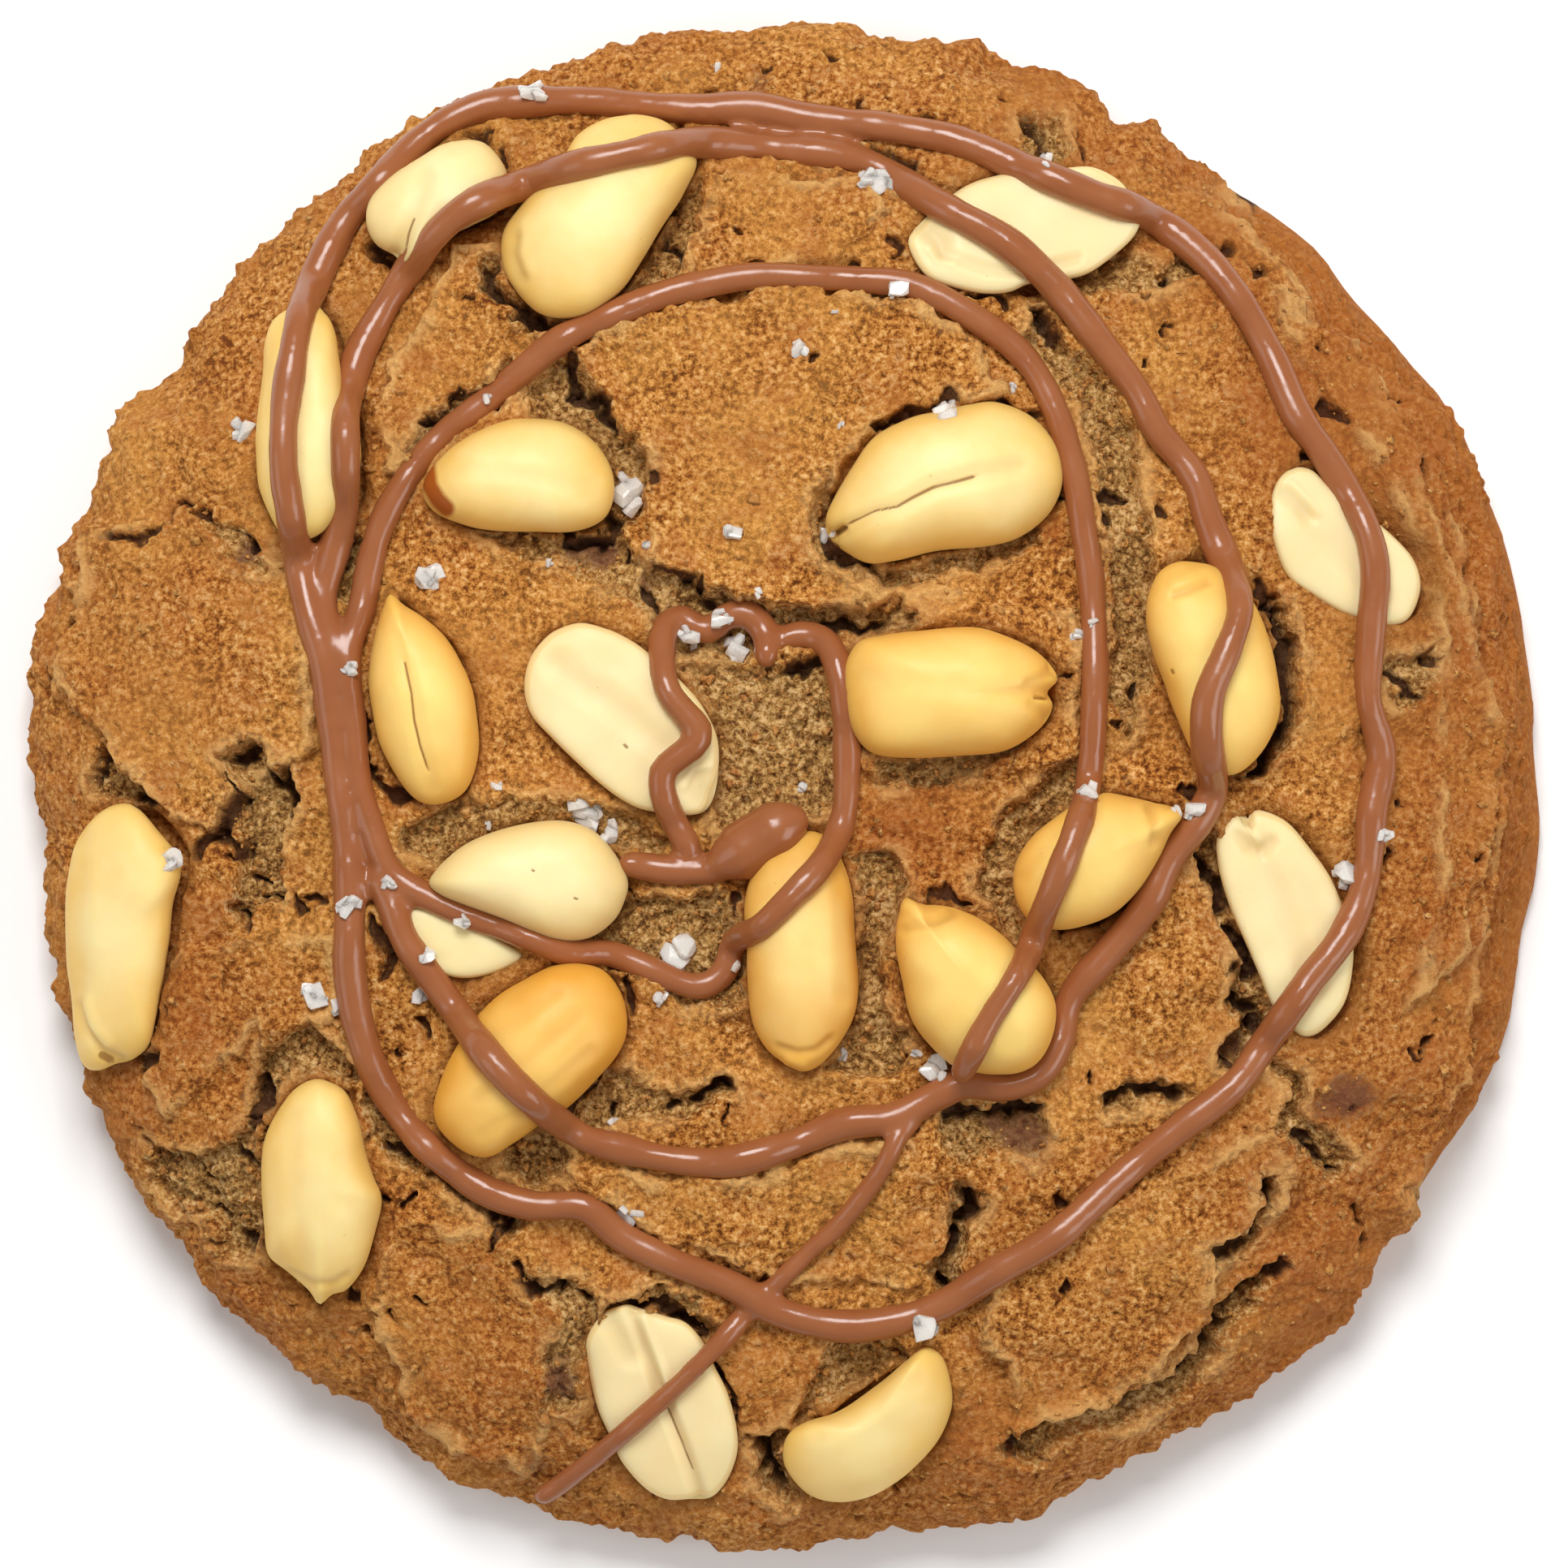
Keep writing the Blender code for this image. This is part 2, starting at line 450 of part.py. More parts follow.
def make_dough(collection, finish):
    """The dough: an even ball spread over the turned section, then given its relief and outline."""
    radius, height = dough_profile()
    steps = np.hypot(np.diff(radius), np.diff(height)) * (radius[1:] + radius[:-1])
    steps[-1] *= BASE_FACE_SHARE
    swept = np.concatenate([[0.0], np.cumsum(steps)])
    swept /= swept[-1]
    normal_out, normal_up = -np.gradient(height), np.gradient(radius)
    length = np.hypot(normal_out, normal_up)
    bm = bmesh.new()
    bmesh.ops.create_icosphere(bm, subdivisions=DOUGH_ROUNDNESS, radius=1.0)
    ball = np.array([corner.co for corner in bm.verts])
    share = (1.0 - ball[:, 2]) / 2.0
    out = np.interp(share, swept, radius)
    up = np.interp(share, swept, height)
    across = np.maximum(np.hypot(ball[:, 0], ball[:, 1]), 1e-9)
    heading = ball[:, :2] / across[:, None]
    flat = heading * out[:, None]
    fade = smooth_step(up / WIDEST_HEIGHT) * (share < swept[-2])
    lift = relief(flat) * fade
    out = out + lift * np.interp(share, swept, normal_out / length)
    up = up + lift * np.interp(share, swept, normal_up / length)
    turn = np.degrees(np.arctan2(heading[:, 1], heading[:, 0]))
    out = out * edge_radius(turn) / COOKIE_RADIUS
    for corner, (along, side), reach, rise in zip(bm.verts, heading, out, up):
        corner.co = Vector((along * reach, side * reach, rise)) * MM
    made = new_object("cookie", bm, collection, finish)
    thin_out(made, DOUGH_TRIANGLES)
    stand_flat(made)
    return made


def stand_flat(made):
    """Cuts off what is below the table, which leaves a flat face to rest on."""
    bm = bmesh.new()
    bm.from_mesh(made.data)
    everything = bm.verts[:] + bm.edges[:] + bm.faces[:]
    bmesh.ops.bisect_plane(
        bm, geom=everything, plane_co=(0, 0, 0), plane_no=(0, 0, -1), clear_outer=True, dist=WELD
    )
    bmesh.ops.holes_fill(bm, edges=[edge for edge in bm.edges if edge.is_boundary])
    bmesh.ops.recalc_face_normals(bm, faces=bm.faces)
    bm.to_mesh(made.data)
    bm.free()


def level_base(made):
    """Puts the corners of the base exactly on the table after the thinning."""
    for corner in made.data.vertices:
        if corner.co.z < BASE_TOLERANCE * MM:
            corner.co.z = 0.0


def end_form(share, form):
    """How wide a kernel is at a share of its half length, 0 at the middle and 1 at the end."""
    power, bluntness = form
    return (1.0 - min(share, 1.0) ** power) ** bluntness


def kernel_mesh(length, width, taper, bend, form, grow=0.0):
    """One kernel along +X about its own middle, its narrower or pointed end at +X, in metres."""
    bm = bmesh.new()
    bmesh.ops.create_uvsphere(bm, u_segments=KERNEL_SEGMENTS, v_segments=KERNEL_RINGS, radius=1.0)
    bmesh.ops.rotate(bm, verts=bm.verts, matrix=Matrix.Rotation(math.pi / 2, 3, "Y"))
    thick = width * (HALF_THICKNESS if form == HALF else KERNEL_THICKNESS)
    for corner in bm.verts:
        along, side, up = corner.co
        end = POINTED_END if form == POINTED and along > 0 else BLUNT_END
        round_part = max(math.sqrt(max(1.0 - along * along, 0.0)), 1e-6)
        wide = end_form(abs(along), end) / round_part * (1.0 - taper * along)
        x = along * length / 2
        y = side * wide * width / 2 + bend * (1.0 - along * along) * BEND_REACH
        if form == HALF:
            z = up * wide * thick * (HALF_CROWN if up > 0 else 1.0 - HALF_CROWN)
        else:
            z = up * wide * thick / 2
        corner.co = (x, y, z)
    if grow:
        bm.normal_update()
        moved = [corner.co + corner.normal * grow * SOCKET_SPREAD for corner in bm.verts]
        for corner, place in zip(bm.verts, moved):
            corner.co = place
    bmesh.ops.scale(bm, verts=bm.verts, vec=(MM, MM, MM))
    return bm


def place_of_kernel(middle, direction, width, form):
    """Turns a kernel to its direction, leans it with the dome and sets it on the dough."""
    x, y = middle
    lean, outward = dome_slope(x, y)
    ground = float(dome_height(np.array([middle]))[0] + relief_near(middle))
    lift = width * (HALF_LIFT if form == HALF else WHOLE_LIFT)
    axis = Vector((-math.sin(outward), math.cos(outward), 0.0))
    turn = Matrix.Rotation(lean * LEAN_WITH_DOME, 4, axis)
    turn = turn @ Matrix.Rotation(math.radians(direction), 4, "Z")
    return Matrix.Translation(Vector((x, y, ground + lift)) * MM) @ turn


def relief_near(middle, reach=3.0):
    """The mean relief in a small ring round a place, so that a narrow crack doesn't sink a kernel."""
    turn = np.linspace(0.0, 2 * math.pi, 12, endpoint=False)
    ring = np.stack([middle[0] + reach * np.cos(turn), middle[1] + reach * np.sin(turn)], axis=1)
    return float(relief(ring).mean())


def smooth_course(places, step):
    """Evenly spaced points along a smooth curve through the given places."""
    given = np.asarray(places, float)
    padded = np.vstack([2 * given[0] - given[1], given, 2 * given[-1] - given[-2]])
    share = np.linspace(0.0, 1.0, 9)[:-1, None]
    fine = []
    for before, start, end, after in zip(padded, padded[1:], padded[2:], padded[3:]):
        fine.append(0.5 * (2 * start + (end - before) * share
                           + (2 * before - 5 * start + 4 * end - after) * share**2
                           + (3 * start - before - 3 * end + after) * share**3))
    fine = np.vstack([*fine, given[-1:]])
    run = np.concatenate([[0.0], np.cumsum(np.hypot(*np.diff(fine, axis=0).T))])
    count = max(int(round(run[-1] / step)), 2) + 1
    even = np.linspace(0.0, run[-1], count)
    return np.stack([np.interp(even, run, fine[:, 0]), np.interp(even, run, fine[:, 1])], axis=1)


def surface_finder(objects):
    """A function that gives the highest point of some objects over a place, and which one it is."""
    trees = []
    for made in objects:
        bm = bmesh.new()
        bm.from_mesh(made.data)
        bm.transform(made.matrix_world)
        trees.append((made.name, BVHTree.FromBMesh(bm)))
        bm.free()

    def highest(x, y):
        best, owner = 0.0, None
        for name, tree in trees:
            hit = tree.ray_cast(Vector((x, y, ABOVE_EVERYTHING)) * MM, Vector((0.0, 0.0, -1.0)))[0]
            if hit and hit.z / MM > best:
                best, owner = hit.z / MM, name
        return best, owner

    return highest


def drape(course, radius, highest):
    """Heights of a strand along its course: it lies on what is under it and bridges small gaps."""
    found = [highest(x, y) for x, y in course]
    height = np.array([z for z, _ in found])
    padded = np.pad(height, 1, mode="edge")
    bridged = np.maximum(height, (padded[:-2] + padded[2:]) / 2)
    padded = np.pad(bridged, 1, mode="edge")
    eased = np.maximum(0.25 * padded[:-2] + 0.5 * padded[1:-1] + 0.25 * padded[2:], height - SINK_INTO_BUMPS)
    return eased + DRIZZLE_RISE * radius, [owner for _, owner in found]


def bead(name, points, radii, collection):
    """A round bead of chocolate along points in millimetres, as a closed mesh."""
    curve = bpy.data.curves.new(name, "CURVE")
    curve.dimensions = "3D"
    curve.bevel_depth = MM
    curve.bevel_resolution = 1
    curve.use_fill_caps = True
    spline = curve.splines.new("POLY")
    spline.points.add(len(points) - 1)
    for point, place, radius in zip(spline.points, points, radii):
        point.co = (*(Vector(place) * MM), 1.0)
        point.radius = radius
    guide = bpy.data.objects.new(name, curve)
    collection.objects.link(guide)
    shown = guide.evaluated_get(bpy.context.evaluated_depsgraph_get())
    bm = bmesh.new()
    bm.from_mesh(bpy.data.meshes.new_from_object(shown))
    bpy.data.objects.remove(guide)
    bmesh.ops.remove_doubles(bm, verts=bm.verts, dist=WELD)
    bmesh.ops.recalc_face_normals(bm, faces=bm.faces)
    return new_object(name, bm, collection)


def rounded_ends(points, radius, layer):
    """The points with a short nose added at both ends, and the bead's radius at each."""
    swell = noise_at(points[:, :2], BEAD_SWELL_LENGTH, layer)
    radii = radius * (1.0 + BEAD_UNEVENNESS * swell)
    longer = lengthened(points, radius * NOSE_LENGTH)
    points = np.vstack([longer[:1], points, longer[-1:]])
    return points, np.pad(radii, 1, constant_values=radius * NOSE_RADIUS)


def runs_over_kernels(owners):
    """The stretches of a strand that lie on one kernel: its name, first and last point."""
    runs = []
    start = 0
    for index in range(1, len(owners) + 1):
        if index < len(owners) and owners[index] == owners[start]:
            continue
        if owners[start] and owners[start] != "cookie":
            runs.append((owners[start], start, index - 1))
        start = index
    return runs


def pour_drizzle(cookie, kernels, on_cookie, on_kernel, room):
    """Lays every strand: whole for the dough, each stretch over a kernel again for that kernel."""
    highest = surface_finder([cookie, *kernels])
    for number, (radius, places) in enumerate(STRANDS, 1):
        course = smooth_course(places, DRIZZLE_STEP)
        height, owners = drape(course, radius, highest)
        points, radii = rounded_ends(np.column_stack([course, height]), radius, 40 + number)
        bead(f"strand {number}", points, radii, on_cookie)
        for name, first, last in runs_over_kernels(owners):
            stretch, width = points[first + 1:last + 2], radii[first + 1:last + 2]
            if len(stretch) < 2:
                continue
            bead(f"{name} strand {number}", stretch, width, on_kernel[name])
            wider = lengthened(stretch, SOCKET_GAP)
            bead(f"{name} room {number}", wider, width + STRAND_ROOM, room)


def lengthened(points, gap):
    """The same points with the first and last moved outward by a gap."""
    points = points.copy()
    points[0] += (points[0] - points[1]) / np.linalg.norm(points[0] - points[1]) * gap
    points[-1] += (points[-1] - points[-2]) / np.linalg.norm(points[-1] - points[-2]) * gap
    return points


def salt_flake(name, place, size, turn, collection, grow=0.0):
    """One broken crystal: a squat block with its corners pushed about."""
    chance = random.Random(f"{FLAKE_SEED} {place[0]:.1f} {place[1]:.1f}")
    bm = bmesh.new()
    bmesh.ops.create_cube(bm, size=1.0)
    for corner in bm.verts:
        corner.co *= 1.0 + FLAKE_UNEVENNESS * chance.uniform(-1.0, 1.0)
    scale = Vector([size * share + 2 * grow for share in FLAKE_PROPORTIONS]) * MM
    bmesh.ops.scale(bm, verts=bm.verts, vec=scale)
    tilt = Matrix.Rotation(turn, 4, "Z") @ Matrix.Rotation(chance.uniform(-FLAKE_TILT, FLAKE_TILT), 4, "X")
    bm.transform(Matrix.Translation(Vector(place) * MM) @ tilt)
    return new_object(name, bm, collection)


def scatter_salt(cookie, kernels, on_cookie, on_kernel, room):
    """Sets every flake on what is under it."""
    highest = surface_finder([cookie, *kernels, *on_cookie.objects])
    over_kernels = surface_finder(kernels)
    chance = random.Random(FLAKE_SEED)
    for number, (x, y, size) in enumerate(SALT_FLAKES, 1):
        place = (x, y, highest(x, y)[0] + size * FLAKE_SINK)
        turn = chance.uniform(0.0, math.pi)
        owner = over_kernels(x, y)[1]
        if owner:
            salt_flake(f"{owner} flake {number}", place, size, turn, on_kernel[owner])
            salt_flake(f"{owner} flake room {number}", place, size, turn, room, SOCKET_GAP)
        else:
            salt_flake(f"flake {number}", place, size, turn, on_cookie)


def make_kernels(collection, room):
    """Every kernel in its place, and a slightly larger one of each that cuts its socket."""
    made = []
    for number, (middle, length, width, direction, taper, bend, form) in enumerate(KERNELS, 1):
        name = f"peanut_{number:02d}"
        finish = material(f"Roasted peanut {number}", *PEANUT_FINISH)
        place = place_of_kernel(middle, direction, width, form)
        for grow, holder in ((0.0, collection), (SOCKET_GAP, room)):
            bm = kernel_mesh(length, width, taper, bend, form, grow)
            bm.transform(place)
            if grow:
                new_object(f"{name} socket", bm, holder)
            else:
                made.append(new_object(name, bm, holder, finish))
    return made


def tuck_under(lower, upper):
    """Cuts room for the kernel that lies partly on top of another one."""
    room = new_collection("Room over the tucked kernel")
    middle, length, width, direction, taper, bend, form = KERNELS[OVER_IT - 1]
    bm = kernel_mesh(length, width, taper, bend, form, SOCKET_GAP)
    bm.transform(place_of_kernel(middle, direction, width, form))
    new_object(f"{upper.name} room", bm, room)
    join_or_cut(lower, "DIFFERENCE", room)
    keep_largest_body(lower)


def clear_scene():
    """Removes what the scene holds."""
    for old in list(bpy.data.objects):
        bpy.data.objects.remove(old)


def main():
    """Builds the cookie and its kernels."""
    clear_scene()
    cookie_parts = new_collection("Peanut butter cookie")
    room = new_collection("Room for the kernels")
    on_cookie = new_collection("Drizzle and salt on the dough")
    dough = make_dough(cookie_parts, material("Baked dough", *DOUGH_FINISH))
    kernels = make_kernels(cookie_parts, room)
    on_kernel = {kernel.name: new_collection(f"On {kernel.name}") for kernel in kernels}
    pour_drizzle(dough, kernels, on_cookie, on_kernel, room)
    scatter_salt(dough, kernels, on_cookie, on_kernel, room)
    join_or_cut(dough, "UNION", on_cookie)
    join_or_cut(dough, "DIFFERENCE", room)
    keep_largest_body(dough)
    close_slivers(dough)
    thin_out(dough, COOKIE_TRIANGLES)
    drop_flaps(dough)
    level_base(dough)
    for kernel in kernels:
        if on_kernel[kernel.name].objects:
            join_or_cut(kernel, "UNION", on_kernel[kernel.name])
            keep_largest_body(kernel)
        else:
            bpy.data.collections.remove(on_kernel[kernel.name])
    tuck_under(kernels[TUCKED_KERNEL - 1], kernels[OVER_IT - 1])


main()
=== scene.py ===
"""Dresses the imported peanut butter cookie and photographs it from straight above.

The dough, its loose crumbs, the peanut kernels, the milk chocolate drizzle and the salt flakes are
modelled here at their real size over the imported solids, which give every piece its place. Lengths
are in millimetres until a mesh is written, which is in metres.
"""

from __future__ import annotations

import logging
import math
import random
from collections.abc import Callable, Iterable
from dataclasses import dataclass, field
from enum import Enum

import bmesh
import bpy
import numpy as np
from bmesh.types import BMEdge, BMesh
from bpy.types import Curve, ID, Material, Mesh, Node, NodeSocket, NodeTree, Object, Scene
from mathutils import Matrix, Vector, noise
from mathutils.bvhtree import BVHTree

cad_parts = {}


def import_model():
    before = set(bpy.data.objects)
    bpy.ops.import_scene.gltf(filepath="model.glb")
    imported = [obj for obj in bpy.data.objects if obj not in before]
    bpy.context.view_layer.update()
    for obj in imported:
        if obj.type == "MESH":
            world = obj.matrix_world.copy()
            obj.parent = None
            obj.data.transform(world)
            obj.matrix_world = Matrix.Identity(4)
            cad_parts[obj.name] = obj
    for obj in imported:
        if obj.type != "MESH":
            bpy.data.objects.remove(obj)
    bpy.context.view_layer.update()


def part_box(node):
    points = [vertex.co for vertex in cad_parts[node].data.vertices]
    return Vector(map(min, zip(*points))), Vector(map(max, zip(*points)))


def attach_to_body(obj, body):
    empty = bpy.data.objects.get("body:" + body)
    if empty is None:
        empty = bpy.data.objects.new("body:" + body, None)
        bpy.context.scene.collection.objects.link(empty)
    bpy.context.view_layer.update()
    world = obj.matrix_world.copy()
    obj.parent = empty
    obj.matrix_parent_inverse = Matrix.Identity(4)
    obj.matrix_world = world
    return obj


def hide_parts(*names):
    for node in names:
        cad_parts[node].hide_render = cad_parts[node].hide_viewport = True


MM = 0.001

Place = tuple[float, float]
Array = np.ndarray
Colour = tuple[float, float, float, float]

NOISE_SLOPES = np.random.default_rng(3).normal(size=(256, 3))
NOISE_SLOPES /= np.linalg.norm(NOISE_SLOPES, axis=1)[:, None]

log = logging.getLogger("cookie")


def smooth_step(value: Array) -> Array:
    """Returns 0 below 0, 1 above 1, and an even curve between."""
    value = np.clip(value, 0.0, 1.0)
    return value * value * (3.0 - 2.0 * value)


def noise_at(points: Array, wavelength: float, layer: int) -> Array:
    """Samples one layer of smooth noise.

    Args:
        points: rows of x and y, in millimetres.
        wavelength: rough distance between two bumps, in millimetres.
        layer: which of the unlike patterns to read.

    Returns:
        A value from -1 to 1 for each point.
    """
    scaled = points / wavelength
    depth = layer * 7.3
    return np.array([noise.noise(Vector((x, y, depth))) for x, y in scaled])


def crumb_noise(places: Array, wavelength: float, layer: int) -> Array:
    """Samples one layer of smooth noise in space, for many places at once.

    Args:
        places: rows of x, y and z, in millimetres.
        wavelength: rough distance between two bumps, in millimetres.
        layer: which of the unlike patterns to read.

    Returns:
        A value of about -1 to 1 for each place.
    """
    scaled = places / wavelength + layer * 17.37
    cell = np.floor(scaled).astype(np.int64)
    part = scaled - cell
    fade = part**3 * (part * (part * 6.0 - 15.0) + 10.0)
    total = np.zeros(len(places))
    for corner in np.ndindex(2, 2, 2):
        at = cell + corner
        key = (at[:, 0] * 73856093) ^ (at[:, 1] * 19349663) ^ (at[:, 2] * 83492791)
        slope = NOISE_SLOPES[(key ^ (key >> 9)) & 255]
        weight = np.prod(np.where(corner, fade, 1.0 - fade), axis=1)
        total += weight * ((part - corner) * slope).sum(axis=1)
    return total * 1.6


def boxed(points: Array, course: Array, reach: float) -> Array:
    """Returns which points lie in the box of a course, or within a reach of it."""
    low, high = course.min(axis=0) - reach, course.max(axis=0) + reach
    return ((points > low) & (points < high)).all(axis=1)


def distance_to_course(points: Array, course: Iterable[Place], reach: float = 6.0) -> Array:
    """Measures how far each point is from a line through the given places.

    Args:
        points: rows of x and y, in millimetres.
        course: the places that the line goes through.
        reach: the farthest distance of interest, which points beyond it get.

    Returns:
        The distance of each point, in millimetres.
    """
    ends = np.asarray(course, float)
    best = np.full(len(points), reach)
    near = boxed(points, ends, reach)
    close = points[near]
    found = np.full(len(close), reach)
    for start, end in zip(ends[:-1], ends[1:]):
        along = end - start
        share = np.clip((close - start) @ along / (along @ along), 0.0, 1.0)
        gap = close - start - share[:, None] * along
        found = np.minimum(found, np.hypot(gap[:, 0], gap[:, 1]))
    best[near] = found
    return best


def depth_inside(points: Array, outline: Iterable[Place], reach: float = 3.0) -> Array:
    """Measures how deep each point lies inside a closed outline.

    Args:
        points: rows of x and y, in millimetres.
        outline: the corners of the outline in order.
        reach: the farthest distance outside that is of interest.

    Returns:
        The distance to the outline, above 0 inside it and below 0 outside.
    """
    corners = np.asarray(outline, float)
    depth = np.full(len(points), -reach)
    near = boxed(points, corners, reach)
    close = points[near]
    distance = distance_to_course(close, np.vstack([corners, corners[:1]]), 60.0)
    inside = np.zeros(len(close), bool)
    for (x0, y0), (x1, y1) in zip(corners, np.roll(corners, -1, axis=0)):
        spans = (y0 > close[:, 1]) != (y1 > close[:, 1])
        with np.errstate(divide="ignore", invalid="ignore"):
            crossing = x0 + (close[:, 1] - y0) / (y1 - y0) * (x1 - x0)
        inside ^= spans & (close[:, 0] < crossing)
    depth[near] = np.where(inside, distance, -distance)
    return depth


def smooth_course(places: Iterable[Place], step: float) -> Array:
    """Reads evenly spaced points from a smooth curve through the given places.

    Args:
        places: the given places, in millimetres.
        step: the distance between two points of the result.

    Returns:
        Rows of x and y.
    """
    given = np.asarray(places, float)
    padded = np.vstack([2 * given[0] - given[1], given, 2 * given[-1] - given[-2]])
    share = np.linspace(0.0, 1.0, 9)[:-1, None]
    fine = []
    for before, start, end, after in zip(padded, padded[1:], padded[2:], padded[3:]):
        bend = 2 * before - 5 * start + 4 * end - after
        twist = 3 * start - before - 3 * end + after
        fine.append(0.5 * (2 * start + (end - before) * share + bend * share**2 + twist * share**3))
    fine = np.vstack([*fine, given[-1:]])
    run = np.concatenate([[0.0], np.cumsum(np.hypot(*np.diff(fine, axis=0).T))])
    count = max(int(round(run[-1] / step)), 2) + 1
    even = np.linspace(0.0, run[-1], count)
    return np.stack([np.interp(even, run, fine[:, 0]), np.interp(even, run, fine[:, 1])], axis=1)


def linear(colour: str) -> Colour:
    """Turns an sRGB hex colour, such as #B77A3A, into linear red, green, blue and alpha."""
    parts = [int(colour[at : at + 2], 16) / 255.0 for at in (1, 3, 5)]
    bent = [part / 12.92 if part <= 0.04045 else ((part + 0.055) / 1.055) ** 2.4 for part in parts]
    return (bent[0], bent[1], bent[2], 1.0)


def add_node(
    tree: NodeTree,
    kind: str,
    inputs: dict[str | int, object] | None = None,
    stops: list[tuple[float, Colour]] | None = None,
    **settings: object,
) -> Node:
    """Adds a node with its settings and links.

    Args:
        tree: the node tree that gets it.
        kind: Blender's name of the node type, without ShaderNode in front.
        inputs: for each input, by name or number, a value or the socket that feeds it.
        stops: position and colour of each stop, for a colour ramp.
        **settings: the node's own properties.

    Returns:
        The new node.
    """
    node = tree.nodes.new("ShaderNode" + kind)
    for name, value in settings.items():
        setattr(node, name, value)
    for name, value in (inputs or {}).items():
        if isinstance(value, NodeSocket):
            tree.links.new(value, node.inputs[name])
        else:
            node.inputs[name].default_value = value
    for number, (position, colour) in enumerate(stops or []):
        ramp = node.color_ramp.elements
        element = ramp[number] if number < len(ramp) else ramp.new(position)
        element.position = position
        element.color = colour
    return node


def new_material(name: str) -> tuple[Material, NodeTree, Node]:
    """Makes a material that has only its output node.

    Args:
        name: the real material's name.

    Returns:
        The material, its node tree and its output node.
    """
    made = bpy.data.materials.new(name)
    made.use_nodes = True
    made.node_tree.nodes.clear()
    return made, made.node_tree, add_node(made.node_tree, "OutputMaterial")


# Places of a Mix node's sockets when it mixes colours
MIX_SHARE, MIX_FROM, MIX_TO, MIX_RESULT = 0, 6, 7, 2


class Attribute(Enum):
    """Names of the attributes that carry a piece's regions to its material."""

    BAKE = "bake"
    TOAST = "toast"
    MARKS = "marks"


class Slot(Enum):
    """The record's material slots."""

    DOUGH = "dough"
    PEANUT = "peanut"
    CHOCOLATE = "milk_chocolate"
    SALT = "salt"


@dataclass(frozen=True)
class Fade:
    """How a soft field becomes the share of a tint: none up to low, and the most from high on.

    The waver is how much the grain frays the edge.
    """

    low: float
    high: float
    most: float
    waver: float = 0.0


